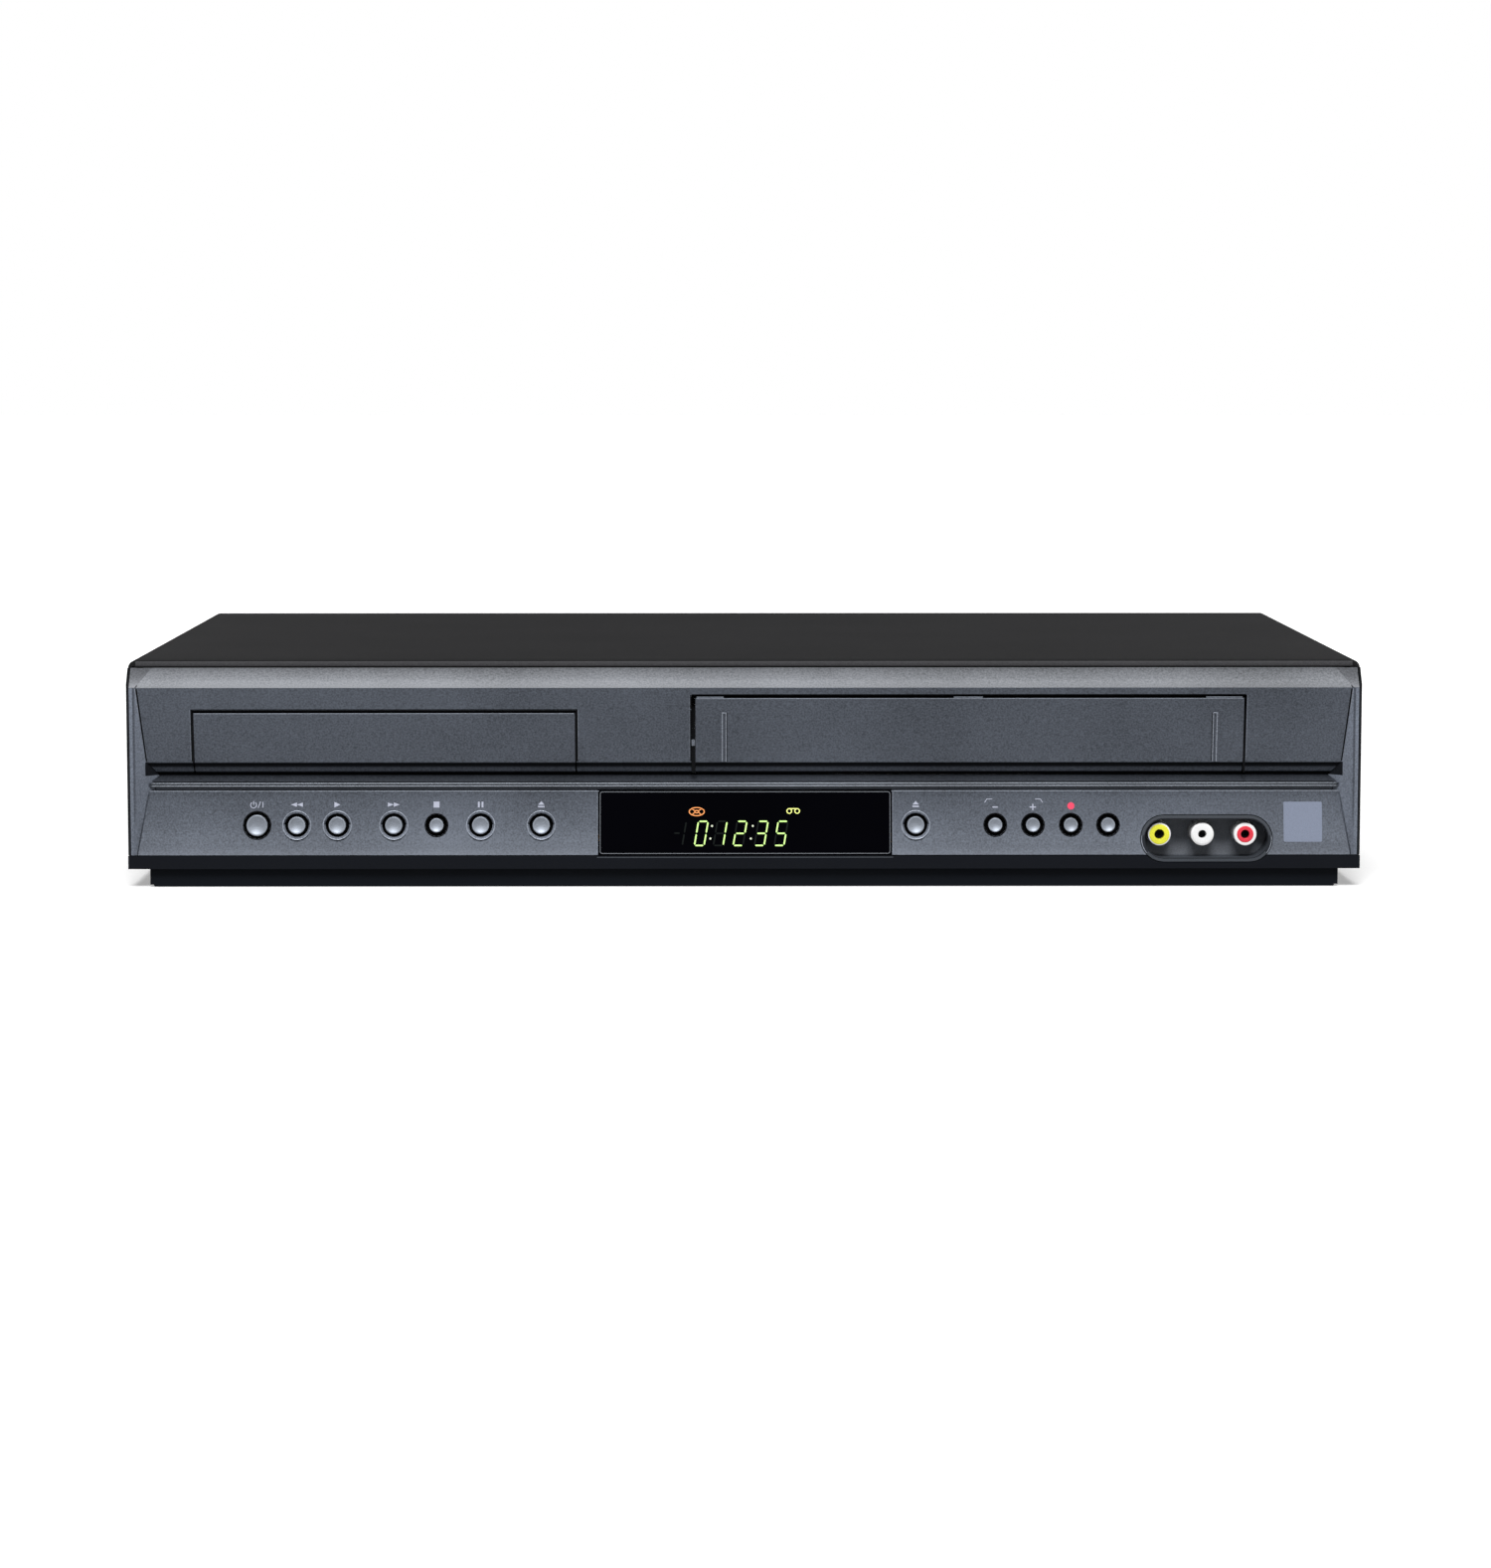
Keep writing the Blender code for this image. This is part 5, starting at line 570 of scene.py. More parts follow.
@dataclass(frozen=True)
class FasciaPaint(SilverPaint):
    """Silver paint over the fascia, with painted shade by height.

    Each height keeps its own share of the paint's tone, the rest being painted shade, and the walls behind
    the face are painted all shade.
    """

    shares: tuple[Flat, ...] = ()
    recesses: tuple[Flat, ...] = ()
    front: float = -132.5
    deepest: float = 10.0
    reach: float = 0.5

    def cover(self, recipe: Recipe) -> Socket:
        """The painted shade: the height's share, or 0, all shade, where y is further back than the face's
        recess plus the reach.
        """
        z = recipe.axis("Z")
        share = recipe.lined(z, self.shares)
        depths = recipe.lined(z, [(height, recess / self.deepest) for height, recess in self.recesses])
        face = recipe.sum("MULTIPLY_ADD", depths, self.deepest * MM, (self.front + self.reach) * MM)
        return recipe.times(share, recipe.sum("LESS_THAN", recipe.axis("Y"), face))


@dataclass(frozen=True)
class EndCapPaint(SilverPaint):
    """Silver paint on the end caps, with painted shade by height, most on the strip, along the fold, and near
    black outside the outer edge and in the nook at the waist.
    """

    # Painted shade: outside the edge and in the nook the tone keeps only the thin share, along the fold it
    # falls by the fold's shares, and it falls by height
    edge: float = 216.4
    nook: Flat = (39.4, 44.2)
    nook_x: float = 211.4
    thin: float = 0.06
    shares: tuple[Flat, ...] = (
        (11.0, 0.8), (24.0, 0.9), (70.6, 0.97), (70.9, 0.5), (77.5, 0.43), (80.0, 0.43),
    )
    fold: tuple[Flat, ...] = (
        (206.0, 0.0), (214.3, 0.0), (214.6, 1.0), (215.1, 1.0), (215.4, 0.0), (217.5, 0.0),
    )
    fold_shares: tuple[Flat, ...] = (
        (11.0, 0.9), (18.0, 0.9), (28.0, 0.5), (70.6, 0.4), (70.9, 1.0), (80.0, 1.0),
    )

    def cover(self, recipe: Recipe) -> Socket:
        """The painted shade: the height's share, less along the fold, and only the thin share outside the
        edge and in the nook.
        """
        x, z = recipe.sum("ABSOLUTE", recipe.axis("X")), recipe.axis("Z")
        nook = recipe.times(recipe.within(z, self.nook), recipe.below(x, self.nook_x))
        outside = recipe.sum("MAXIMUM", nook, recipe.above(x, self.edge))
        dark = recipe.sum("SUBTRACT", 1.0, recipe.lined(z, self.fold_shares))
        left = recipe.sum("SUBTRACT", 1.0, recipe.times(recipe.lined(x, self.fold), dark))
        kept = recipe.times(recipe.ranged(outside, (0, 1), (1, self.thin)), left)
        return recipe.times(recipe.lined(z, self.shares), kept)


@dataclass(frozen=True)
class PowderedSheet(Finish):
    """Sheet steel with a baked matte coat: a fine pebble and faint wide unevenness."""

    def mix(self, recipe: Recipe) -> None:
        """A pebble of a third of a millimetre in colour and bump, and a slow cloud in roughness."""
        pebble = recipe.grain(0.35, detail=3)
        cloud = recipe.grain(60, detail=4)
        tone = recipe.shaded(self.colour, 0.12, pebble)
        self.coat(recipe, tone, cloud, (0.03, 0.03), Normal=recipe.raised(pebble, 0.02))


@dataclass(frozen=True)
class Moulded(Finish):
    """Moulded plastic: a spark-eroded grain, and flow marks that vary its sheen."""

    grain: float = 0.4

    def mix(self, recipe: Recipe) -> None:
        """The tool's grain in bump and colour, and flow marks drawn out along X in roughness."""
        pits = recipe.grain(self.grain, detail=4)
        flow = recipe.grain(14, (4, 1, 1), 3)
        tone = self.tone(recipe, recipe.blended(pits, flow, (0.5, 0.5)))
        self.coat(recipe, tone, flow, (0.07, 0.07), Normal=recipe.raised(pits, 0.015))

    def tone(self, recipe: Recipe, grainy: Socket) -> Socket:
        """The plastic's colour, made a little uneven."""
        return recipe.shaded(self.colour, 0.09, grainy)


@dataclass(frozen=True)
class PlasticWithHighlight(Moulded):
    """Moulded plastic with one thin painted highlight across its front, where the window's lower edge catches
    the light.
    """

    # The painted highlight's colour
    line: Colour = (74, 78, 84)
    highlight_heights: Flat = (10.62, 10.92)
    highlight_ends: Flat = (-52.1, 52.5)

    def tone(self, recipe: Recipe, grainy: Socket) -> Socket:
        """The painted highlight's colour between its heights and its ends, and the plastic's elsewhere."""
        across = recipe.within(recipe.axis("X"), self.highlight_ends)
        share = recipe.times(across, recipe.within(recipe.axis("Z"), self.highlight_heights))
        return recipe.between(share, super().tone(recipe, grainy), self.line)


@dataclass(frozen=True)
class ShadedCup(Finish):
    """A moulded cup with painted shade and light: its walls are painted darker as shade, and its floor
    lighter to make up for the shade in the cup.
    """

    # The walls' colour, darker as painted shade
    walls: Colour = (58, 62, 68)
    floor_y: float = -120.6
    spread: float = 0.08

    def mix(self, recipe: Recipe) -> None:
        """The floor's tone behind its front plane and the walls' tone before it, over a grain."""
        pits = recipe.grain(0.4, detail=4)
        walls, floor = (recipe.shaded(colour, self.spread, pits) for colour in (self.walls, self.colour))
        tone = recipe.between(recipe.above(recipe.axis("Y"), self.floor_y), walls, floor)
        self.coat(recipe, tone, pits, (0.05, 0.05), Normal=recipe.raised(pits, 0.015))


@dataclass(frozen=True)
class Metal(Finish):
    """Bare metal with the marks of how it was made, drawn out along one axis."""

    stretch: Point = (30, 1, 1)
    size: float = 0.15
    depth: float = 0.006

    def mix(self, recipe: Recipe) -> None:
        """Long fine streaks in colour, roughness and bump, and a slow stain."""
        streak = recipe.grain(self.size, self.stretch, 3)
        stained = recipe.blended(streak, recipe.grain(9, detail=3), (0.6, 0.4))
        tone = recipe.shaded(self.colour, 0.12, stained)
        self.coat(recipe, tone, streak, (0.06, 0.08), Metallic=1.0, Normal=recipe.raised(streak, self.depth))


@dataclass(frozen=True)
class ZincSheet(Finish):
    """Galvanised sheet, with flat crystals that each shine a little differently."""

    crystal: float = 7.0

    def mix(self, recipe: Recipe) -> None:
        """Crystals from a cell pattern, each with its own tone and roughness."""
        cells = recipe.add("TexVoronoi", {"Vector": recipe.here, "Scale": 1 / (self.crystal * MM)})
        tone = recipe.add("SeparateColor", {"Color": cells.outputs["Color"]}).outputs[0]
        recipe.dress(
            Base_Color=recipe.shaded(self.colour, 0.1, recipe.ranged(tone, (0, 1), NOISE)),
            Metallic=1.0,
            Roughness=recipe.ranged(tone, (0, 1), (self.roughness - 0.08, self.roughness + 0.1)),
            Normal=recipe.raised(recipe.grain(0.3, (6, 1, 1)), 0.004),
        )


@dataclass(frozen=True)
class WindowGloss(Finish):
    """A polished black window, faintly smoked, with the least trace of wiping."""

    def mix(self, recipe: Recipe) -> None:
        """Wide wiping marks in roughness and colour, too faint to see head on."""
        wipe = recipe.grain(30, (3, 1, 1), 5)
        recipe.dress(
            Base_Color=recipe.shaded(self.colour, 0.3, wipe),
            Roughness=recipe.ranged(wipe, (0.35, 0.75), (self.roughness, self.roughness + 0.06)),
        )


@dataclass(frozen=True)
class Ink(Finish):
    """Screen-printed ink: matt, a little uneven at its edges."""

    def mix(self, recipe: Recipe) -> None:
        """The screen's fine mottle in colour and bump."""
        mottle = recipe.grain(0.2, detail=3)
        recipe.dress(
            Base_Color=recipe.shaded(self.colour, 0.07, mottle),
            Roughness=self.roughness,
            Normal=recipe.raised(mottle, 0.004),
        )


@dataclass(frozen=True)
class Lit(Finish):
    """Phosphor behind the window, under a fine wire mesh."""

    strength: float = 1.0

    def mix(self, recipe: Recipe) -> None:
        """The mesh is a fine grain that dims the light a little."""
        recipe.dress(
            Base_Color=(0.0, 0.0, 0.0, 1.0),
            Roughness=self.roughness,
            Emission_Color=recipe.shaded(self.colour, 0.1, recipe.grain(0.25)),
            Emission_Strength=self.strength,
        )


@dataclass(frozen=True)
class SoftRubber(Finish):
    """Rubber with a chalky bloom and a tight grain."""

    def mix(self, recipe: Recipe) -> None:
        """Bloom as a slow cloud in colour, over a tight grain in bump."""
        bloom = recipe.grain(5, detail=4)
        tone = recipe.shaded(self.colour, 0.25, bloom)
        self.coat(recipe, tone, bloom, (0.06, 0.06), Normal=recipe.raised(recipe.grain(0.25), 0.02))


@dataclass(frozen=True)
class BoardLacquer(Finish):
    """A circuit board: copper runs under lacquer, and dark parts that stand on it."""

    top: float = 17.7
    parts: Colour = (30, 30, 32)
    run_light: float = 1.35

    def mix(self, recipe: Recipe) -> None:
        """Runs from a brick pattern's joints in plan, and the parts' colour above the board's top."""
        board, run = ((*linear(scaled(self.colour, light)), 1) for light in (1, self.run_light))
        runs = recipe.add("TexBrick", {
            "Vector": recipe.here, "Scale": 120.0, "Mortar Size": 0.06, "Brick Width": 0.9,
            "Row Height": 0.31, "Color1": board, "Color2": board, "Mortar": run,
        }).outputs[0]
        mottle = recipe.grain(0.6, detail=3)
        dark = recipe.shaded(self.parts, 0.2, mottle)
        tone = recipe.between(recipe.above(recipe.axis("Z"), self.top), runs, dark)
        self.coat(recipe, tone, mottle, (0.05, 0.1), Normal=recipe.raised(mottle, 0.01))


LOWER_BOW = Bow(11.6, 34.1, 1.15)
STRIP_BOW = Bow(70.8, 77.5, -0.3)
# How much of the paint's own tone each height of the fascia keeps; the rest is painted shade: near black in
# the recess between the faces and on its chamfer, darker at the lower face's bottom and top and at the
# strip's foot and top, and an even share on the upper face
FASCIA_SHADE_SHARES = (
    (11.0, 0.56), (14.5, 0.6), (18.0, 0.79), (24.0, 0.86), (31.0, 0.83), (33.5, 0.69), (37.1, 0.45),
    (37.3, 0.4), (39.2, 0.22), (39.4, 0.02), (40.6, 0.02), (40.9, 1.0), (41.9, 0.8), (42.8, 0.06),
    (44.1, 0.02), (44.2, 0.665), (70.7, 0.665), (70.9, 0.62), (73.0, 0.95), (75.5, 1.0), (77.5, 0.8),
    (80.0, 0.76),
)
# How far back the fascia's face lies at each height
RECESSES = (
    (11.0, 0.0), (11.6, 0.0), (34.1, 4.0), (34.2, 10.0), (37.2, 10.0), (37.3, 4.6), (39.3, 7.3),
    (44.1, 3.3), (70.8, 0.0), (77.5, 5.5), (77.6, 10.0), (80.0, 10.0),
)
SILVER = FasciaPaint(
    "silver paint", (84, 89, 98), 0.40, 0.25, bows=(LOWER_BOW, STRIP_BOW), crest=(90, 92, 96), shares=FASCIA_SHADE_SHARES,
    recesses=RECESSES,
)
SILVER_CAP = EndCapPaint(
    "silver paint on end caps", (97, 103, 114), 0.40, 0.4, bows=(STRIP_BOW,), crest=(104, 106, 111),
)
# Light lines along edges and round the pocket: painted highlights
BRIGHT_EDGE_HIGHLIGHT = SilverPaint("painted edge highlight", (122, 127, 137), 0.34, 0.5)
# A paler silver for light lines along edges, which are painted highlights, and for the small tabs and tongues
# in the gaps
PALE_TABS_AND_EDGE_HIGHLIGHT = SilverPaint("thin painted edge highlight", (98, 103, 112), 0.4, 0.4)
# Lighter than the fascia's paint: painted highlight on the dish round a hole
DISH_HIGHLIGHT_SILVER = SilverPaint("painted highlight silver in dishes", (122, 128, 139), 0.34, 0.5, metallic=0.3)
BEAD_PAINT = SilverPaint("bright bead paint", (70, 74, 80), 0.32, 0.4, metallic=0.5)
# Lighter grey along the cover's rolled front edge: a painted highlight
HEM_HIGHLIGHT = PowderedSheet("black cover edge with painted highlight", (62, 62, 64), 0.7, 0.1)
COVER_BLACK = PowderedSheet("matte black cover coat", (30, 30, 31), 0.97, 0.02)
SHEET_BLACK = PowderedSheet("black rear coat", (34, 34, 35), 0.55, 0.3)
CASE_BLACK = Moulded("black moulded plastic", (24, 25, 27), 0.5, 0.25)
# The plinth carries the window's lower edge as a painted highlight
PLINTH_BLACK = PlasticWithHighlight("black plinth plastic", (18, 20, 25), 0.5, 0.05, grain=0.3)
STEP_BLACK = Moulded("black step plastic", (14, 17, 22), 0.5, 0.05, grain=0.3)
# Near black for the dark joints and stems, and for painted shade behind and beside the gaps, beside the ribs
# and in the holes
SEAM_AND_SHADE_BLACK = Moulded("painted shade and dark seams", (12, 13, 15), 0.7, 0.05, grain=0.2)
# The pocket's floor is painted lighter and its walls darker, as painted light and shade
POCKET_GREY = ShadedCup("grey pocket plastic", (110, 114, 121), 0.5, 0.2)
# A dark band inside the pocket's rim: painted shade on its wall
POCKET_LIP_SHADE = Moulded("painted shade at pocket lip", (30, 33, 38), 0.5, 0.1)
PART_GREY = Moulded("grey machine plastic", (96, 99, 104), 0.45, 0.4)
PART_WHITE = Moulded("white machine plastic", (222, 222, 214), 0.4, 0.5)
JACK_WHITE, JACK_YELLOW, JACK_RED, JACK_BLUE, JACK_GREEN, JACK_ORANGE = (
    Moulded(f"{name} jack plastic", colour, 0.35, 0.5)
    for name, colour in (
        ("white", (252, 252, 252)), ("yellow", (238, 234, 62)), ("red", (222, 48, 66)),
        ("blue", (40, 84, 190)), ("green", (36, 140, 70)), ("orange", (226, 118, 30)),
    )
)
CAP_METAL = Metal("brushed cap metal", (114, 119, 127), 0.45, stretch=(24, 1, 1), size=0.12)
STEEL = Metal("polished steel", (188, 190, 193), 0.24, stretch=(1, 1, 20))
CAST = Metal("cast alloy", (150, 152, 155), 0.46, stretch=(1, 1, 1), size=0.6, depth=0.03)
SCREW_METAL = Metal("dark screw metal", (72, 73, 76), 0.36, stretch=(1, 1, 1), size=0.3)
ZINC = ZincSheet("zinc sheet", (168, 172, 176), 0.38)
WINDOW = WindowGloss("black window", (2, 2, 5), 0.08, 0.012)
MARK_INK = Ink("pale mark ink", (172, 176, 192), 0.6, 0.3)
PLATE_INK = Ink("pale label plate", (119, 127, 145), 0.5, 0.3)
REAR_PLATE = Ink("pale rating plate", (158, 160, 164), 0.45, 0.4)
RECORD_INK = Ink("red mark ink", (232, 70, 100), 0.55, 0.3)
FIGURE_GREEN = Lit("lit green figures", (200, 255, 146), 0.4, 0.02, strength=1.55)
FIGURE_PALE = Lit("lit pale dots", (236, 255, 216), 0.4, 0.02, strength=1.2)
LIT_ORANGE = Lit("lit orange mark", (255, 158, 96), 0.4, 0.02, strength=1.6)
LIT_YELLOW = Lit("lit yellow mark", (234, 255, 140), 0.4, 0.02, strength=1.6)
WINDOW_LINE = Ink("grey window line", (112, 116, 122), 0.4, 0.2)
# Unlit strokes made to glow faintly: painted light
UNLIT_STROKE_GLOW = Lit("faint painted glow on unlit strokes", (26, 30, 29), 0.4, 0.02, strength=1.0)
RUBBER = SoftRubber("black rubber", (30, 30, 31), 0.8, 0.2)
GREEN_BOARD = BoardLacquer("green board", (22, 92, 50), 0.35, 0.5)
BROWN_BOARD = BoardLacquer("brown board", (150, 112, 62), 0.45, 0.4)

NODE_FINISHES: dict[Finish, tuple[str, ...]] = {
    SILVER: ("front_panel", "tray_front", "cassette_door"),
    SILVER_CAP: ("left_end_cap", "right_end_cap"),
    PLINTH_BLACK: ("front_plinth",),
    WINDOW: ("display_window",),
    POCKET_GREY: ("jack_pocket",),
    SHEET_BLACK: ("rear_panel",),
    CASE_BLACK: ("base_chassis", "mains_inlet", "disc_loader_frame", "disc_tray", "turntable"),
    RUBBER: ("front_left_foot", "front_right_foot", "rear_left_foot", "rear_right_foot", "pinch_roller"),
    PART_WHITE: ("disc_clamp", "tray_gear", "tray_motor_gear"),
    PART_GREY: ("optical_pickup", "supply_reel", "takeup_reel"),
    ZINC: (
        "clamp_bridge", "traverse_frame", "deck_chassis", "carrier_slider", "cassette_carrier", "pinch_arm",
    ),
    STEEL: ("head_drum", "capstan_flywheel", "sled_screw", "audio_control_head"),
    CAST: ("lower_drum", "loading_motor", "tray_motor", "spindle_motor", "supply_guide", "takeup_guide"),
    GREEN_BOARD: ("main_board",),
    BROWN_BOARD: ("power_board", "front_board"),
}


# Objects
def piece(
    name: str, form: Form, finish: Finish, body: str = "chassis",
    stands_for: Sequence[str] = (), crease: float = 38.0,
) -> bpy.types.Object:
    """Makes an object of a shape and ties it to the frame.

    Args:
        name: The object's name.
        form: Its shape in millimetres.
        finish: Its finish.
        body: The body that it rides on.
        stands_for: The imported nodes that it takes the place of.
        crease: The angle in degrees above which an edge stays sharp.

    Returns:
        The object.
    """
    mesh = bpy.data.meshes.new(name)
    faces = [face for corners in form.faces for face in corners.tolist()]
    mesh.from_pydata((form.points * MM).tolist(), [], faces)
    shell = bmesh.new()
    shell.from_mesh(mesh)
    bmesh.ops.remove_doubles(shell, verts=shell.verts, dist=MM / 1000)
    bmesh.ops.recalc_face_normals(shell, faces=shell.faces)
    shell.to_mesh(mesh)
    shell.free()
    mesh.polygons.foreach_set("use_smooth", np.ones(len(mesh.polygons), bool))
    mesh.set_sharp_from_angle(angle=math.radians(crease))
    mesh.materials.append(finish.material())
    item = bpy.data.objects.new(name, mesh)
    bpy.context.scene.collection.objects.link(item)
    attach(item, body)
    if stands_for:
        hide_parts(*stands_for)
    LOG.info("%s: %d faces on %s", name, len(mesh.polygons), body)
    return item


def dress_nodes() -> None:
    """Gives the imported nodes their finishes."""
    for finish, names in NODE_FINISHES.items():
        for name in names:
            frame["nodes"][name].material_slots[0].material = finish.material()
            LOG.info("%s: %s", name, finish.name)


LOWER = Face((-132.5, 11.6), (-128.5, 34.1))
UPPER = Face((-129.2, 44.1), (-132.5, 70.8))
STRIP = Face((-132.5, 70.8), (-127.0, 77.5))


# The studio
@dataclass(frozen=True)
class Studio:
    """The camera, the soft sun, the white surroundings and the pale floor."""

    eye: Point = (-9.3, -1598.6, 193.2)
    pitch: float = 6.09
    yaw: float = 0.376
    lens: float = 96.06
    near: float = 0.05
    far: float = 60.0
    sun_height: float = 50.0
    sun_left: float = 3.0
    sun_strength: float = 3.5
    sun_spread: float = 26.0
    ambient: float = 0.16
    floor_half: float = 9000.0
    floor_seen: Colour = (224, 224, 224)
    floor_lighting: Colour = (124, 124, 124)
    floor_glow: float = 0.28
    strips: tuple[Flat, ...] = ((58.0, 3.6), (-58.0, 3.6), (145.0, 6.0), (-145.0, 6.0))
    strip_away: float = 1500.0
    strip_size: Flat = (120.0, 800.0)
    strip_rise: float = 0.22

    def build(self) -> None:
        """Makes the whole studio."""
        self.camera()
        self.sun()
        for turn, watts in self.strips:
            self.strip_lamp(turn, watts)
        self.surroundings()
        self.floor()
        bpy.context.scene.view_settings.view_transform = "Standard"

    def camera(self) -> None:
        """Stands the camera where the photograph was taken from."""
        data = bpy.data.cameras.new("camera")
        data.lens = self.lens
        data.clip_start, data.clip_end = self.near, self.far
        item = bpy.data.objects.new("camera", data)
        item.location = [part * MM for part in self.eye]
        item.rotation_euler = (math.radians(90 - self.pitch), 0, math.radians(-self.yaw))
        bpy.context.scene.collection.objects.link(item)
        bpy.context.scene.camera = item

    def hang(self, data: bpy.types.Light, towards: Vector, away: float = 0.0) -> None:
        """Hangs a lamp that far off in a direction, so that it shines back at the object."""
        item = bpy.data.objects.new(data.name, data)
        item.location = towards * away * MM
        item.rotation_mode = "QUATERNION"
        item.rotation_quaternion = towards.to_track_quat("Z", "Y")
        bpy.context.scene.collection.objects.link(item)

    def sun(self) -> None:
        """Hangs a wide soft sun high in front, a little to the left."""
        data = bpy.data.lights.new("soft sun", "SUN")
        data.energy = self.sun_strength
        data.angle = math.radians(self.sun_spread)
        height, left = math.radians(self.sun_height), math.radians(self.sun_left)
        level = math.cos(height)
        self.hang(data, Vector((-math.sin(left) * level, -math.cos(left) * level, math.sin(height))))

    def strip_lamp(self, turn: float, watts: float) -> None:
        """Stands a narrow upright lamp beside the object, for the edges of round metal.

        Args:
            turn: How far round from straight in front it stands, in degrees to the right.
            watts: Its power.
        """
        data = bpy.data.lights.new("strip lamp", "AREA")
        data.energy = watts
        data.shape = "RECTANGLE"
        data.size, data.size_y = (part * MM for part in self.strip_size)
        angle = math.radians(turn)
        self.hang(data, Vector((math.sin(angle), -math.cos(angle), self.strip_rise)), self.strip_away)

    def surroundings(self) -> None:
        """A white world to look at and to reflect, which lights the object only faintly."""
        world = bpy.data.worlds.new("white surroundings")
        recipe = Recipe(world, "Background")
        rays = recipe.add("LightPath").outputs
        seen = recipe.sum("MAXIMUM", rays["Is Camera Ray"], rays["Is Glossy Ray"])
        seen = recipe.sum("MAXIMUM", seen, rays["Is Transmission Ray"])
        recipe.dress(Color=(1, 1, 1, 1), Strength=recipe.ranged(seen, (0, 1), (self.ambient, 1.0)))
        bpy.context.scene.world = world

    def floor(self) -> None:
        """A wide floor, white to look at, that throws little light back up."""
        x, y = np.meshgrid([-1.0, 0.0, 1.0], [-1.0, 0.0, 1.0])
        points = np.stack([x, y, np.zeros_like(x)], -1).reshape(-1, 3) * self.floor_half * MM
        mesh = bpy.data.meshes.new("floor")
        mesh.from_pydata(points.tolist(), [], grid_faces(3, 3, False, False).tolist())
        material = bpy.data.materials.new("pale floor")
        recipe = Recipe(material)
        diffuse = recipe.add("LightPath").outputs["Is Diffuse Ray"]
        recipe.dress(
            Base_Color=recipe.between(diffuse, self.floor_seen, self.floor_lighting),
            Roughness=1.0,
            Specular_IOR_Level=0.0,
            Emission_Color=(1.0, 1.0, 1.0, 1.0),
            Emission_Strength=recipe.ranged(diffuse, (0, 1), (self.floor_glow, 0)),
        )
        mesh.materials.append(material)
        item = bpy.data.objects.new("floor", mesh)
        bpy.context.scene.collection.objects.link(item)


# The casing
@dataclass(frozen=True)
class Screw:
    """A pan head with a cross recess in its crown.

    crown is a share of the radius. dome, shoulder and slot_depth are shares of the height.
    slot_half is a share of the radius and what is added to it, and slot_reach another share.
    """

    radius: float
    height: float = 1.1
    crown: float = 0.82
    dome: float = 0.25
    shoulder: float = 0.7
    seat: float = -0.2
    rounding: float = 0.3
    slot_half: Flat = (0.11, 0.12)
    slot_reach: float = 0.62
    slot_depth: float = 0.55

    def head(self, centre: Point, axis: Point) -> Form:
        """The turned head.

        Inside the cross, where the smaller of two distances from the centre lines is under the
        slot's half width, a point moves in by the slot's depth.

        Args:
            centre: The middle of the head's seat.
            axis: The direction that the head points in.

        Returns:
            The closed head.
        """
        radius, height = self.radius, self.height
        radii = np.linspace(0, self.crown, 16)
        crown = np.stack([radii * radius, height * (1 - self.dome * radii ** 2)], 1)
        edge = [(radius, height * self.shoulder), (radius, self.seat), (0, self.seat)]
        rim = softened([crown[-1], *edge], self.rounding, closed=False)
        form = turned(np.vstack([crown, rim[1:]]), centre, axis)
        axis = np.asarray(axis, float)
        local = form.points - np.asarray(centre)
        along = local @ axis
        level = local - along[:, None] * axis
        first = unit(np.cross(axis, (0.3, 0.5, 0.8)))
        spots = np.abs(np.stack([level @ first, level @ np.cross(axis, first)], 1))
        slot = spots.min(1) < self.slot_half[0] * radius + self.slot_half[1]
        slot &= (spots.max(1) < self.slot_reach * radius) & (along > height * self.shoulder)
        return Form(form.points - self.slot_depth * height * slot[:, None] * axis, form.faces)


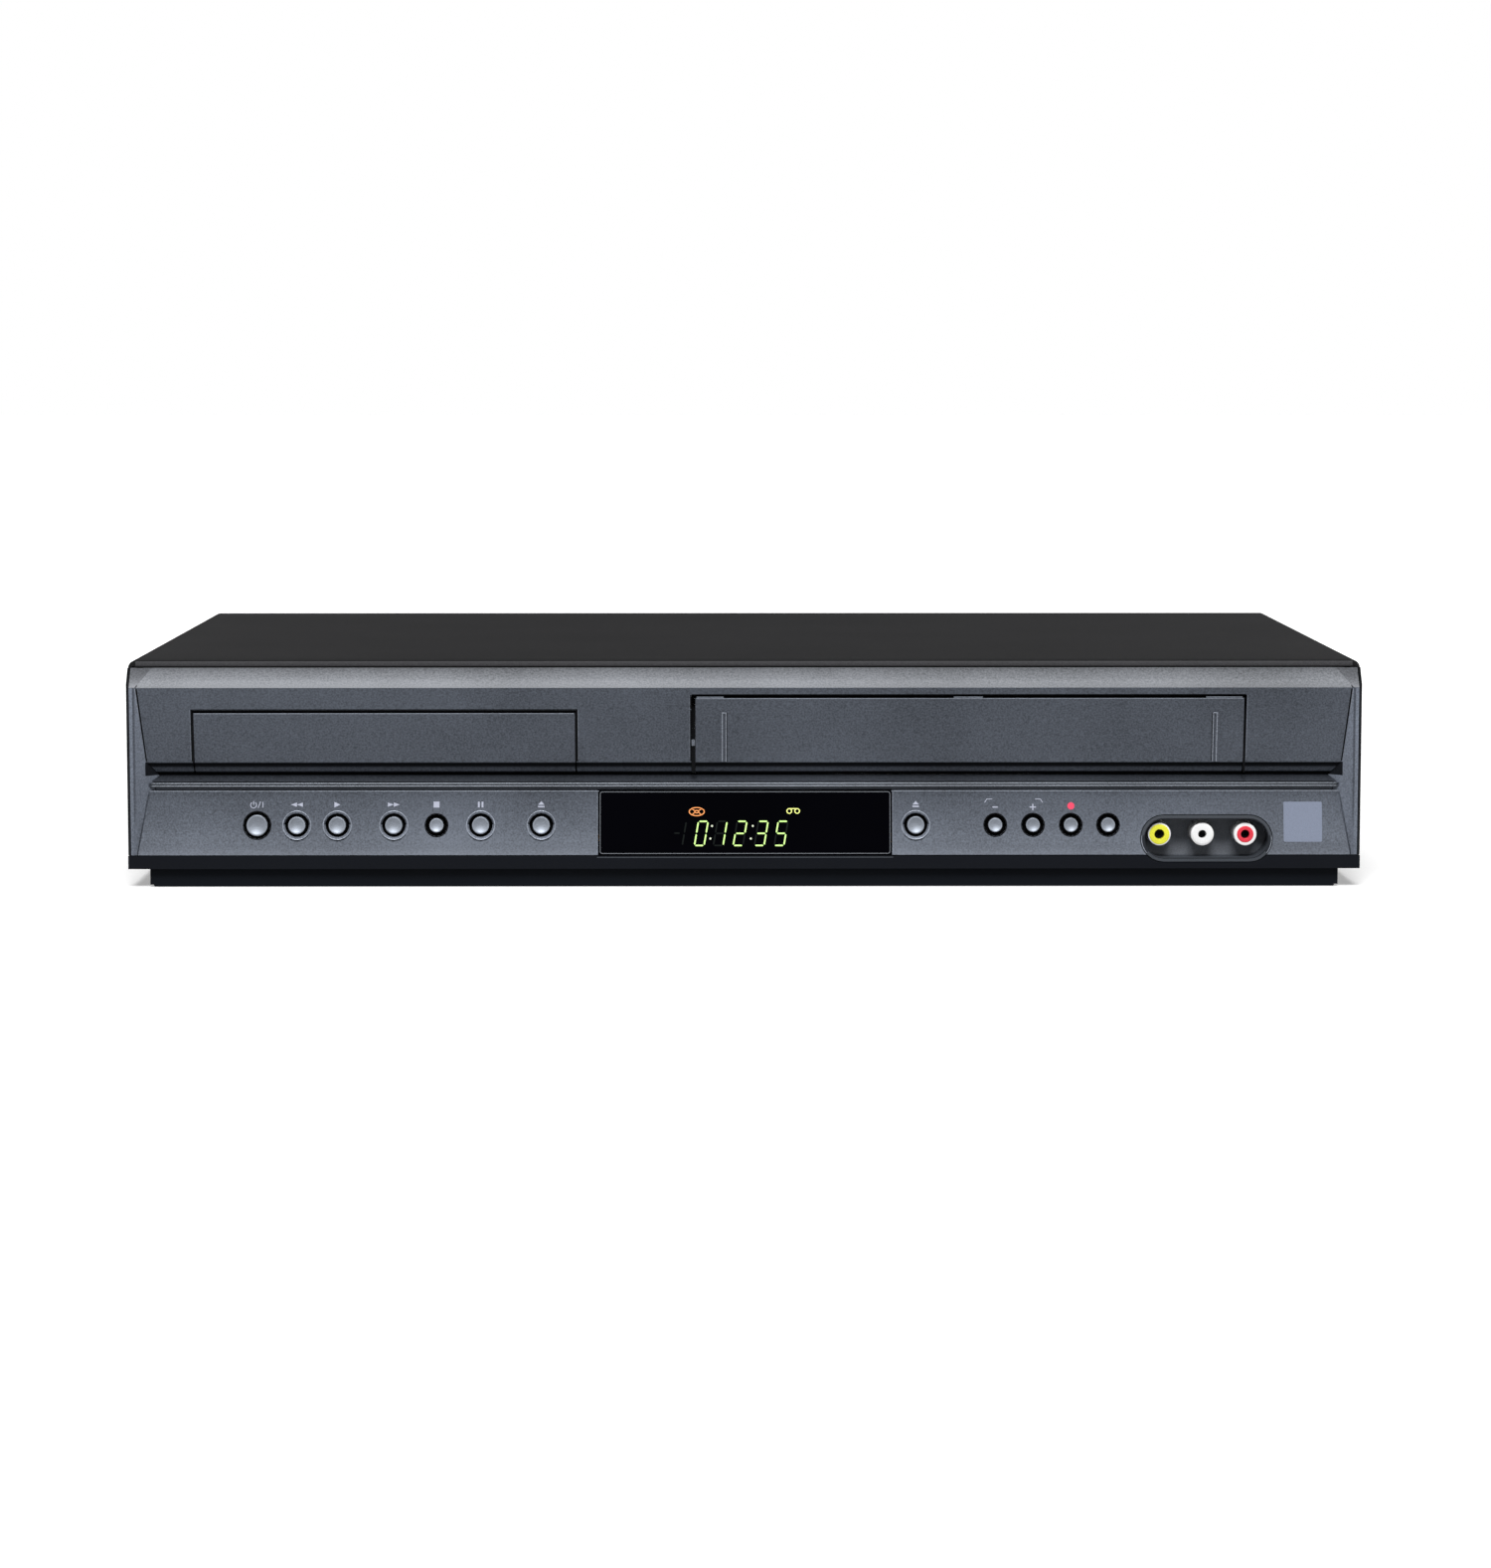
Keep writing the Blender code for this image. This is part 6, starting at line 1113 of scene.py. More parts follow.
@dataclass(frozen=True)
class Cover:
    """The sheet cover over the top and sides, with a rolled front edge and dimples for its screws."""

    half: float = 217.5
    height: float = 80.0
    foot: float = 8.1
    front: float = -126.7
    rear: float = 128.5
    corner: float = 2.8
    wall: float = 1.2
    hem: float = 2.2
    hem_depth: float = 2.5
    hem_z: float = 78.85
    roll: float = 1.1
    dimple_radius: float = 6.5
    dimple_floor: float = 4.4
    dimple_depth: float = 1.3
    step: float = 0.8
    screw_z: float = 24.0
    screw_ys: Flat = (-70.0, 92.0)
    screw: Screw = Screw(3.4)

    def build(self) -> None:
        """Makes the cover, its side screws and a painted highlight along the rolled edge of its hem."""
        piece("cover_sheet", self.sheet(), COVER_BLACK, stands_for=["top_cover"])
        seat = self.half - self.dimple_depth
        heads = [
            self.screw.head((side * seat, y, self.screw_z), (side, 0, 0))
            for side in (-1, 1) for y in self.screw_ys
        ]
        piece("cover_screws", joined(heads), SCREW_METAL)
        # A lighter bead on the hem: painted highlight along the rolled front edge
        reach = self.half - self.corner
        path = np.array([(x, self.front + 0.02, self.hem_z) for x in (-reach, reach)])
        piece("cover_hem", carried(path, bead(1.75, 0.2, 0.3), np.array(FRONT)), HEM_HIGHLIGHT)

    def across(self, middle: float) -> np.ndarray:
        """Close steps across a screw's dimple."""
        return np.arange(middle - self.dimple_radius, middle + self.dimple_radius, self.step)

    def outline(self) -> tuple[np.ndarray, np.ndarray]:
        """The cover's outer line seen from the front, and its outward directions.

        It goes up the right side, round a quarter circle, over the top, and down the left side.
        The sides have close steps where the screws' dimples are.
        """
        up = np.concatenate([[self.foot], self.across(self.screw_z), [self.height - self.corner]])
        right_x, bend_z = self.half - self.corner, self.height - self.corner
        bend = arc((right_x, bend_z), (self.corner, self.corner), 0, 90, 12)
        top = np.stack([np.linspace(right_x, 0, 12), np.full(12, self.height)], 1)
        right = np.vstack([np.stack([np.full(len(up), self.half), up], 1)[:-1], bend[:-1], top])
        out = np.vstack([
            np.tile((1.0, 0.0), (len(up) - 1, 1)), unit(bend - (right_x, bend_z))[:-1],
            np.tile((0.0, 1.0), (12, 1)),
        ])
        mirror = np.array([-1.0, 1.0])
        return np.vstack([right, (right * mirror)[-2::-1]]), np.vstack([out, (out * mirror)[-2::-1]])

    def sheet(self) -> Form:
        """The cover's wall carried along its outline.

        Each point is the outline's point minus its outward direction times an inset, plus the
        dimple's depth times a smooth step of the distance from the nearest screw. Along the
        rolled edge y is the front plus roll (1 - cos a), and the inset is roll (1 - sin a), with a
        from 0 to 90 degrees. The inset is 0 outside and the wall inside, and under the top's
        front edge it is the hem.
        """
        line, out = self.outline()
        turn = np.radians(np.linspace(0, 90, 7))[:-1]
        whole = np.linspace(self.front + self.roll, self.rear, 24)
        along = np.unique(np.concatenate([whole, *(self.across(y) for y in self.screw_ys)]))
        front_in = np.array([self.front + self.hem_depth, self.front + self.hem_depth, self.front])
        y = np.concatenate([self.front + self.roll * (1 - np.cos(turn)), along, along[::-1], front_in])
        hems = np.concatenate([np.zeros(len(y) - 2), [1.0, 1.0]])
        inset = np.concatenate([
            self.roll * (1 - np.sin(turn)), np.zeros(len(along)), np.full(len(along) + 3, self.wall),
        ])
        depth = inset[None] + hems[None] * (self.hem - self.wall) * out[:, 1:] ** 2
        flat = line[:, None] - out[:, None] * depth[..., None]
        near = [np.hypot(y[None] - screw_y, flat[..., 1] - self.screw_z) for screw_y in self.screw_ys]
        slope = self.dimple_radius - self.dimple_floor
        share = np.clip((self.dimple_radius - np.minimum(*near)) / slope, 0, 1)
        dent = self.dimple_depth * share ** 2 * (3 - 2 * share) * np.abs(out[:, :1])
        flat = flat - out[:, None] * dent[..., None]
        return tube(np.stack([flat[..., 0], np.broadcast_to(y, flat.shape[:2]), flat[..., 1]], -1))


@dataclass(frozen=True)
class Trim:
    """The double bead that runs across the front between the two faces."""

    low: float = 35.2
    high: float = 37.0
    front: float = -129.1
    back: float = -127.0
    end: float = 210.55
    straight: float = 200.0
    rounding: float = 1.6
    valley: float = 0.45
    least: float = 0.05
    thin: float = 0.25

    def build(self) -> None:
        """Makes the bead."""
        piece("trim_bead", self.bead(), BEAD_PAINT, stands_for=["trim_bar"])

    def bead(self) -> Form:
        """Two half rounds side by side, carried along X with rounded ends.

        Towards each end the section's depth behind the back line is multiplied by cos a, while its
        place is moved in by the rounding times 1 - sin a, with a from 0 to 90 degrees.
        """
        quarter = (self.high - self.low) / 4
        line = np.vstack([
            arc((0, self.low + quarter * place), (self.valley, quarter), -90, 90, 9) for place in (1, 3)
        ])
        depth = self.back - self.front - self.valley + line[:, 0]
        section = np.vstack([np.stack([depth, line[:, 1]], 1), [(0, self.high), (0, self.low)]])
        turn = np.radians(np.linspace(0, 90, 8))
        ends = self.end - self.rounding * (1 - np.sin(turn))
        x = np.concatenate([-ends[::-1], np.linspace(-self.straight, self.straight, 5), ends])
        fill = np.maximum(np.concatenate([np.cos(turn)[::-1], np.ones(5), np.cos(turn)]), self.least)
        middle = (self.low + self.high) / 2
        y = self.back - section[None, :, 0] * fill[:, None]
        z = middle + (section[None, :, 1] - middle) * (self.thin + (1 - self.thin) * fill[:, None])
        return tube(np.stack([np.broadcast_to(x[:, None], y.shape), y, z], -1))


@dataclass(frozen=True)
class Seams:
    """The thin dark joints of the fascia, the tray's front and the cassette door, with painted highlights
    along edges and painted shade in and beside the gaps.
    """

    groove: float = 0.5
    strip_widening: float = 1.4
    light: float = 0.28
    proud: float = 0.05
    joint_lines: tuple[tuple[Face, Flat, Flat], ...] = (
        (UPPER, (213.8, 70.4), (211.0, 44.6)), (LOWER, (210.7, 33.7), (214.5, 12.0)),
        (STRIP, (213.9, 71.2), (213.3, 77.1)),
    )
    edge_aside: float = 0.52
    edge_width: float = 0.26
    uprights: tuple[Point, ...] = (
        (-58.62, 45.0, 63.0), (177.15, 45.0, 68.0), (-195.2, 45.0, 63.0), (-19.35, 45.0, 68.0),
    )
    upright_width: float = 0.22
    window_edges: Flat = (-51.95, 52.35)
    strip_end: tuple[Flat, ...] = ((205.0, 71.0), (213.7, 71.0), (213.1, 77.4), (205.0, 77.4))
    ribs: tuple[Flat, ...] = ((-8.0, -6.4), (165.1, 166.7))
    rib_proud: float = 0.5
    rib_heights: Flat = (44.5, 61.9)
    gap_strips: tuple[tuple[float, ...], ...] = (
        (-18.08, 0.62, -129.3, 40.6, 64.6), (176.43, 0.35, -129.3, 40.6, 64.6),
        (-194.32, 0.22, -130.4, 44.2, 62.7), (-59.48, 0.22, -130.4, 44.2, 62.7),
    )
    top_strips: tuple[tuple[float, ...], ...] = (
        (-18.5, 176.6, 1.12, -128.4, 67.92), (-194.4, -59.4, 0.4, -130.2, 62.38),
    )
    strip_wall: float = 0.2
    gap_lines: tuple[tuple[Flat, Flat, float], ...] = (
        ((-194.8, 44.6), (-194.8, 62.9), 0.46), ((-59.0, 44.6), (-59.0, 62.9), 0.46),
        ((-18.98, 44.6), (-18.98, 68.2), 0.46), ((-195.0, 63.0), (-58.8, 63.0), 0.34),
        ((-18.6, 68.35), (176.7, 68.35), 0.28),
    )
    tongues: tuple[Flat, ...] = ((-16.9, -7.4), (73.7, 83.9), (162.6, 175.4))
    tongue_heights: Flat = (66.9, 67.55)
    tab: tuple[float, ...] = (-18.7, -17.5, 50.0, 52.2)

    def build(self) -> None:
        """Makes the joints of the end caps, the painted highlights along edges and round the openings, and
        the painted shade in the gaps.
        """
        piece("end_cap_joints", joined(self.joints(0.0, self.groove)), SEAM_AND_SHADE_BLACK)
        # Light lines beside the end caps' joints and along the fascia's edges are painted highlights
        piece("end_cap_highlights", joined(self.joints(self.edge_aside, self.edge_width)), BRIGHT_EDGE_HIGHLIGHT)
        piece("fascia_highlights", joined(self.edges()), PALE_TABS_AND_EDGE_HIGHLIGHT)
        # A light line along the tray's top edge: painted highlight
        tray = UPPER.line([(-193.6, 61.55), (-60.2, 61.55)], self.light, self.proud)
        piece("tray_front_highlight", tray, PALE_TABS_AND_EDGE_HIGHLIGHT, "disc_tray")
        # The door's top line and rib lines are painted highlights, and its rib shades painted shade
        for name, lines, finish in (
            ("cassette_door_highlight_and_tongues", self.door_edges(), PALE_TABS_AND_EDGE_HIGHLIGHT),
            ("cassette_door_rib_highlights", self.rib_lines(), BRIGHT_EDGE_HIGHLIGHT),
            ("cassette_door_rib_shade", self.rib_shades(), SEAM_AND_SHADE_BLACK),
        ):
            piece(name, joined(lines), finish, "cassette_door")
        # Dark strips behind and beside the openings' gaps: painted shade
        piece("opening_shade_strips", joined(self.shade_strips()), SEAM_AND_SHADE_BLACK)
        ends = [STRIP.slab(np.array(self.strip_end) * (side, 1), 0.03) for side in (-1, 1)]
        piece("strip_ends", joined(ends), SILVER)
        piece("gap_tabs", UPPER.slab(softened(oblong(*self.tab), 0.2), -0.35, 1.4), PALE_TABS_AND_EDGE_HIGHLIGHT)

    def joints(self, aside: float, width: float) -> list[Form]:
        """Lines down both faces and the strip, where the end caps meet the fascia.

        Args:
            aside: How far outside the joint the lines lie.
            width: How wide they are.

        Returns:
            The lines' shapes.
        """
        lines = []
        for side in (-1, 1):
            for face, *ends in self.joint_lines:
                path = [(side * (x + aside), z) for x, z in ends]
                widening = self.strip_widening if face is STRIP else 1.0
                lines.append(face.line(path, width * widening, self.proud))
        return lines

    def edges(self) -> list[Form]:
        """Painted highlights: light lines where the faces turn, and beside the openings."""
        lines = [LOWER.line([(-210.2, 33.85), (210.2, 33.85)], self.light, self.proud)]
        for x, low, high in self.uprights:
            lines.append(UPPER.line([(x, low), (x, high)], self.upright_width, self.proud))
        for x in self.window_edges:
            lines.append(LOWER.line([(x, 12.2), (x, 33.9)], self.edge_width, self.proud))
        return lines

    def strip(self, start: Point, end: Point, half: float) -> Form:
        """A thin strip that faces the front, that far to both sides of its middle line."""
        section = softened(oblong(-half, half, -self.strip_wall, self.strip_wall), 0.08)
        return carried(np.array([start, end]), section, np.array(FRONT))

    def shade_strips(self) -> list[Form]:
        """Painted shade: dark strips that stand behind the gaps, and dark lines that widen them on the face.
        """
        lines = [self.strip((x, y, low), (x, y, high), half) for x, half, y, low, high in self.gap_strips]
        lines += [
            self.strip((left, y, z), (right, y, z), half) for left, right, half, y, z in self.top_strips
        ]
        return lines + [UPPER.line([start, end], width, 0.03) for start, end, width in self.gap_lines]

    def door_edges(self) -> list[Form]:
        """A painted highlight along the door's top, and the low tongues that stand in the gap over it."""
        lines = [UPPER.line([(-16.9, 66.85), (175.6, 66.85)], self.light, self.proud)]
        for left, right in self.tongues:
            lines.append(UPPER.slab(softened(oblong(left, right, *self.tongue_heights), 0.15), -0.3, 0.9))
        return lines

    def rib_lines(self) -> list[Form]:
        """Painted highlights down both edges of each rib of the door, and a light bar across its top."""
        low, high = self.rib_heights
        lines = []
        for left, right in self.ribs:
            left, right = left + 0.15, right - 0.15
            rail = [(left, low), (left, high), (right, high), (right, low)]
            lines.append(carried(UPPER.place(rail, self.rib_proud), bead(0.3, 0.04), UPPER.out))
        return lines

    def rib_shades(self) -> list[Form]:
        """A dark line outside each edge of each rib."""
        low, high = self.rib_heights
        aside = self.light / 2
        places = [x for left, right in self.ribs for x in (left - aside, right + aside)]
        return [UPPER.line([(x, low), (x, high)], self.light, self.proud) for x in places]


@dataclass(frozen=True)
class PlinthStep:
    """The lower step of the plinth, which draws in a little to its foot."""

    half: float = 210.2
    top: float = 6.6
    foot: float = 0.15
    front: float = -129.62
    back: float = -127.4
    draft: float = 1.4

    def build(self) -> None:
        """Makes the step."""
        corners = [
            (-self.half, self.top), (-self.half + self.draft, self.foot),
            (self.half - self.draft, self.foot), (self.half, self.top),
        ]
        step = Face((self.front, self.foot), (self.front, self.top))
        slab = step.slab(softened(corners, 0.4), 0.0, self.back - self.front)
        piece("plinth_step", slab, STEP_BLACK)


# The buttons
class Kind(Enum):
    """The sizes of button, as (cap's radius, hole's radius, dish's radius)."""

    POWER = (3.72, 4.75, 4.75)
    TRANSPORT = (3.05, 4.2, 4.9)
    PLAIN = (2.5, 3.9, 3.9)


@dataclass(frozen=True)
class Button:
    """A round push button: a hollowed metal cap, a dark stem behind it and a ring round its hole."""

    node: str
    kind: Kind
    proud: float = 0.45
    hollow: float = 0.14
    hollow_reach: float = 0.86
    cap_back: float = -2.6
    stem_front: float = -2.5
    stem_radius: float = 1.4
    stem_reach: float = 1.5
    stem_gap: float = 0.15
    flange: float = 1.0
    black: float = 0.3
    deep: float = 0.8
    well_back: float = -2.3
    lap: float = 0.05

    def build(self) -> None:
        """Makes the cap, the stem, the well and, round a dished hole, the ring."""
        low, high = box_mm(self.node)
        x, z = (low[0] + high[0]) / 2, (low[2] + high[2]) / 2
        centre = (x, float(LOWER.lean(z)), z)
        piece(self.node + "_cap", self.cap(centre), CAP_METAL, self.node, [self.node])
        piece(self.node + "_stem", self.stem(centre, high), SEAM_AND_SHADE_BLACK, self.node)
        if self.dished():
            # The ring is painted lighter than the fascia as a highlight on the dish
            piece(self.node + "_ring", self.ring(centre), DISH_HIGHLIGHT_SILVER)
        piece(self.node + "_well", self.well(centre), SEAM_AND_SHADE_BLACK)

    def dished(self) -> bool:
        """Whether a dish leads down to the hole."""
        _, hole, dish = self.kind.value
        return dish > hole

    def sloped(self, profile: Sequence[Flat], centre: Point, looped: bool = False) -> Form:
        """A turned profile sheared back as it rises, as the face it stands in."""
        form = turned(profile, centre, FRONT, looped)
        points = form.points.copy()
        points[:, 1] += LOWER.lean(points[:, 2]) - centre[1]
        return Form(points, form.faces)

    def cap(self, centre: Point) -> Form:
        """A turned cap with a hollow crown and a rounded rim."""
        radius, reach = self.kind.value[0], self.hollow_reach
        crown = [
            (radius * share, self.proud - self.hollow * radius * (1 - (share / reach) ** 2))
            for share in np.linspace(0, reach, 9)
        ]
        edge = [(radius, self.proud), (radius, self.cap_back), (0, self.cap_back)]
        rim = softened([crown[-1], *edge], 0.32, closed=False)
        return self.sloped(np.vstack([crown, rim[1:]]), centre)

    def stem(self, centre: Point, high: np.ndarray) -> Form:
        """The flange behind the wall and the stem that reaches the switch."""
        cap, hole, _ = self.kind.value
        neck, wide, thin = cap - self.stem_gap, hole + 1.0, self.stem_radius
        end = centre[1] - high[1]
        back = end + self.stem_reach
        front = back + self.flange
        profile = [
            (0, self.stem_front), (neck, self.stem_front), (neck, front), (wide, front), (wide, back),
            (thin, back), (thin, end), (0, end),
        ]
        return turned(profile, centre, FRONT)

    def ring(self, centre: Point) -> Form:
        """The dish round the hole: a bead, and a cone down to the hole."""
        _, hole, dish = self.kind.value
        deep, lap = self.deep, self.lap
        corners = [
            (hole - lap, -deep), (dish - 0.06, 0.04), (dish + 0.08, 0.1), (dish + 0.24, 0.03),
            (dish + 0.24, -0.12), (dish + 0.04, -0.16), (hole + lap, -deep - 0.14),
            (hole - lap, -deep - 0.14),
        ]
        return self.sloped(softened(corners, 0.05, steps=3), centre, looped=True)

    def well(self, centre: Point) -> Form:
        """The dark wall of the hole, with a rounded lip at its open end."""
        hole, back = self.kind.value[1], self.well_back
        inside = hole - 0.04
        if self.dished():
            top, outside = -self.deep - 0.1, hole + 0.12
            corners = [(inside, back), (inside, top), (outside, top + 0.2), (outside, back)]
        else:
            lip = hole + self.black
            corners = [(inside, back), (inside, 0.07), (lip, 0.07), (lip, -0.1), (hole + self.lap, back)]
        return self.sloped(softened(corners, 0.04, steps=3), centre, looped=True)


BUTTON_KINDS = {
    "power": Kind.POWER, "rewind": Kind.TRANSPORT, "play": Kind.TRANSPORT, "forward": Kind.TRANSPORT,
    "stop": Kind.PLAIN, "pause": Kind.TRANSPORT, "open_close": Kind.TRANSPORT, "eject": Kind.TRANSPORT,
    "tracking_minus": Kind.PLAIN, "tracking_plus": Kind.PLAIN, "record": Kind.PLAIN, "source": Kind.PLAIN,
}


@dataclass(frozen=True)
class Marks:
    """The printed signs over the buttons, the red dot and the plain label plate."""

    height: float = 29.2
    size: float = 2.1
    stroke: float = 0.42
    thin: float = 0.28
    proud: float = 0.03
    plate: tuple[float, ...] = (190.6, 204.2, 16.0, 30.0)
    plate_proud: float = 0.06
    dot: Point = (115.4, 28.6, 1.25)
    tracking_height: float = 28.2
    brackets: tuple[tuple[Flat, ...], ...] = (
        ((84.9, 29.8), (85.7, 31.0), (87.6, 31.0)), ((102.8, 31.0), (104.6, 31.0), (105.4, 29.8)),
    )

    def build(self) -> None:
        """Makes the signs, the dot and the plate."""
        signs = self.power() + self.arrows() + self.tracking()
        piece("key_marks", joined(signs), MARK_INK)
        x, z, radius = self.dot
        dot = LOWER.slab(loop((x, z), (radius, radius), 32), self.proud)
        piece("record_dot", dot, RECORD_INK)
        plate = LOWER.slab(softened(oblong(*self.plate), 0.5), self.plate_proud)
        piece("label_plate", plate, PLATE_INK)

    def above(self, name: str) -> float:
        """How far across the front a button is."""
        low, high = box_mm(name + "_button")
        return float(low[0] + high[0]) / 2

    def flat(self, outline: Sequence[Flat]) -> Form:
        """An outline printed on the lower face."""
        return LOWER.slab(np.asarray(outline, float), self.proud)

    def triangle(self, x: float, width: float, height: float = 1.5) -> Form:
        """A triangle that points to the right, or to the left if its width is under 0."""
        z, back = self.height, x - width / 2
        return self.flat([(back, z - height / 2), (x + width / 2, z), (back, z + height / 2)])

    def power(self) -> list[Form]:
        """A broken ring with a stroke in its gap, a slash and an upright stroke."""
        x, z = self.above("power"), self.height
        ring = arc((x - 1.3, z - 0.1), (1.05, 1.05), 125, 415, 28)
        strokes = [
            ((x - 1.3, z), (x - 1.3, z + 1.25)), ((x + 0.35, z - 1.1), (x + 1.15, z + 1.1)),
            ((x + 2.0, z - 1.0), (x + 2.0, z + 1.0)),
        ]
        lines = [self.flat(bar(start, end, self.thin)) for start, end in strokes]
        return [LOWER.line(ring, self.thin, self.proud), *lines]

    def arrows(self) -> list[Form]:
        """The signs for winding, playing, stopping, pausing and ejecting."""
        z, size = self.height, self.size
        stop, pause = self.above("stop"), self.above("pause")
        signs = [
            self.triangle(self.above(name) + shift, width)
            for name, width in (("rewind", -size), ("forward", size)) for shift in (-size / 2, size / 2)
        ]
        signs.append(self.triangle(self.above("play"), size, 2.0))
        signs.append(self.flat(bar((stop, z - size / 2), (stop, z + size / 2), size)))
        signs += [self.flat(bar((pause + x, z - 1), (pause + x, z + 1), 0.65)) for x in (-0.65, 0.65)]
        for x in (self.above("open_close"), self.above("eject")):
            signs.append(self.flat([(x - 1.15, z - 0.1), (x + 1.15, z - 0.1), (x, z + 1.15)]))
            signs.append(self.flat(bar((x - 1.15, z - 0.75), (x + 1.15, z - 0.75), 0.5)))
        return signs

    def tracking(self) -> list[Form]:
        """Minus and plus over their two buttons, and the bent lines that join them."""
        minus, plus = self.above("tracking_minus"), self.above("tracking_plus")
        z, half = self.tracking_height, self.stroke / 2
        strokes = [
            ((minus - 0.95, z), (minus + 0.95, z)), ((plus - 1.1, z), (plus + 1.1, z)),
            ((plus, z + half), (plus, z + 1.1)), ((plus, z - half), (plus, z - 1.1)),
        ]
        signs = [self.flat(bar(start, end, self.stroke)) for start, end in strokes]
        return signs + [LOWER.line(corners, 0.24, self.proud) for corners in self.brackets]


# The display
class Stroke(Enum):
    """The seven strokes of a figure, as their ends in a cell one wide and two high."""

    TOP = ((0, 2), (1, 2))
    UPPER_RIGHT = ((1, 1), (1, 2))
    LOWER_RIGHT = ((1, 0), (1, 1))
    BOTTOM = ((0, 0), (1, 0))
    LOWER_LEFT = ((0, 0), (0, 1))
    UPPER_LEFT = ((0, 1), (0, 2))
    MIDDLE = ((0, 1), (1, 1))


FIGURES: dict[str, tuple[Stroke, ...]] = {
    "0": tuple(stroke for stroke in Stroke if stroke is not Stroke.MIDDLE),
    "1": (Stroke.UPPER_RIGHT, Stroke.LOWER_RIGHT),
    "2": (Stroke.TOP, Stroke.UPPER_RIGHT, Stroke.MIDDLE, Stroke.LOWER_LEFT, Stroke.BOTTOM),
    "3": (Stroke.TOP, Stroke.UPPER_RIGHT, Stroke.MIDDLE, Stroke.LOWER_RIGHT, Stroke.BOTTOM),
    "5": (Stroke.TOP, Stroke.UPPER_LEFT, Stroke.MIDDLE, Stroke.LOWER_RIGHT, Stroke.BOTTOM),
}


@dataclass(frozen=True)
class Display:
    """The lit clock behind the window, its two small signs, its unlit strokes with a faint painted glow, and
    its frame.
    """

    face: Face = Face((-132.5, 11.6), (-128.8, 34.1))
    cells: tuple[tuple[float, str], ...] = (
        (-15.3, "0"), (-8.6, "1"), (-1.6, "2"), (5.9, "3"), (12.9, "5"),
    )
    unlit_one: float = -23.0
    unlit_dash: tuple[Flat, Flat] = ((-24.9, 19.2), (-22.9, 19.2))
    dots: tuple[Flat, ...] = ((-11.5, 21.7), (-12.1, 17.3), (2.9, 21.7), (2.2, 17.3))
    dot_radius: float = 0.36
    bottom: float = 14.9
    width: float = 3.4
    half_height: float = 4.2
    stroke: float = 0.52
    point: float = 0.24
    slant: float = 0.17
    proud: float = 0.03
    disc: Flat = (-16.9, 26.7)
    disc_rings: tuple[Flat, ...] = ((2.65, 1.42), (0.75, 0.42))
    tape: Flat = (17.2, 26.9)
    reel: float = 0.82
    reel_aside: float = 1.4
    reel_line: float = 0.32
    frame: tuple[float, ...] = (-51.0, 51.4, 12.1, 33.6)

    def build(self) -> None:
        """Makes the figures, the signs and the frame."""
        lit = [self.figure(x, FIGURES[digit]) for x, digit in self.cells]
        piece("clock_figures", joined(lit), FIGURE_GREEN)
        radius = (self.dot_radius, self.dot_radius)
        dots = [self.face.slab(loop(place, radius, 20), self.proud) for place in self.dots]
        piece("clock_dots", joined(dots), FIGURE_PALE)
        rest = [
            self.figure(x, [stroke for stroke in Stroke if stroke not in FIGURES[digit]])
            for x, digit in self.cells if digit != "0"
        ]
        rest += [self.stick(*self.unlit_dash, 0.5, 0.2), self.figure(self.unlit_one, FIGURES["1"])]
        # The unlit strokes glow faintly: painted light
        piece("unlit_strokes", joined(rest), UNLIT_STROKE_GLOW)
        piece("disc_sign", joined(self.disc_sign()), LIT_ORANGE)
        piece("tape_sign", joined(self.tape_sign()), LIT_YELLOW)
        frame_line = self.face.line(softened(oblong(*self.frame), 0.9), 0.22, self.proud, closed=True)
        piece("window_frame_line", frame_line, WINDOW_LINE)

    def stick(self, start: Flat, end: Flat, width: float, point: float = 0.0) -> Form:
        """A stroke as a thin plate on the window."""
        return self.face.slab(bar(start, end, width, point), self.proud)

    def figure(self, centre: float, strokes: Sequence[Stroke]) -> Form:
        """A leaning figure.

        Each stroke's end (u, v) goes to x = centre + (u - 1/2) width + slant * rise, z = bottom + v
        half_height, where rise is v half_height less one half_height.

        Args:
            centre: How far across the front the figure is.
            strokes: The strokes that it has.

        Returns:
            The figure's strokes as thin plates.
        """
        plates = []
        for stroke in strokes:
            ends = np.array(stroke.value, float)
            rise = ends[:, 1] * self.half_height
            x = centre + (ends[:, 0] - 0.5) * self.width + self.slant * (rise - self.half_height)
            start, end = np.stack([x, self.bottom + rise], 1)
            away = unit(end - start) * self.point
            plates.append(self.stick(start + away, end - away, self.stroke, self.point))
        return joined(plates)

    def disc_sign(self) -> list[Form]:
        """An oval ring with a small oval and a groove inside it."""
        x, z = self.disc
        rings = [
            self.face.line(loop((x, z), size, 48), 0.3, self.proud, closed=True) for size in self.disc_rings
        ]
        arms = [
            self.stick((x + side * 0.8, z + rise * 0.45), (x + side * 1.5, z + rise * 0.8), 0.26)
            for side in (-1, 1) for rise in (-1, 1)
        ]
        return [*rings, *arms]

    def tape_sign(self) -> list[Form]:
        """Two reels and the tape between them."""
        x, z = self.tape
        reel, aside, width = self.reel, self.reel_aside, self.reel_line
        reels = [
            self.face.line(loop((x + side * aside, z), (reel, reel), 32), width, self.proud, closed=True)
            for side in (-1, 1)
        ]
        return [*reels, self.stick((x - aside, z + reel), (x + aside, z + reel), width)]


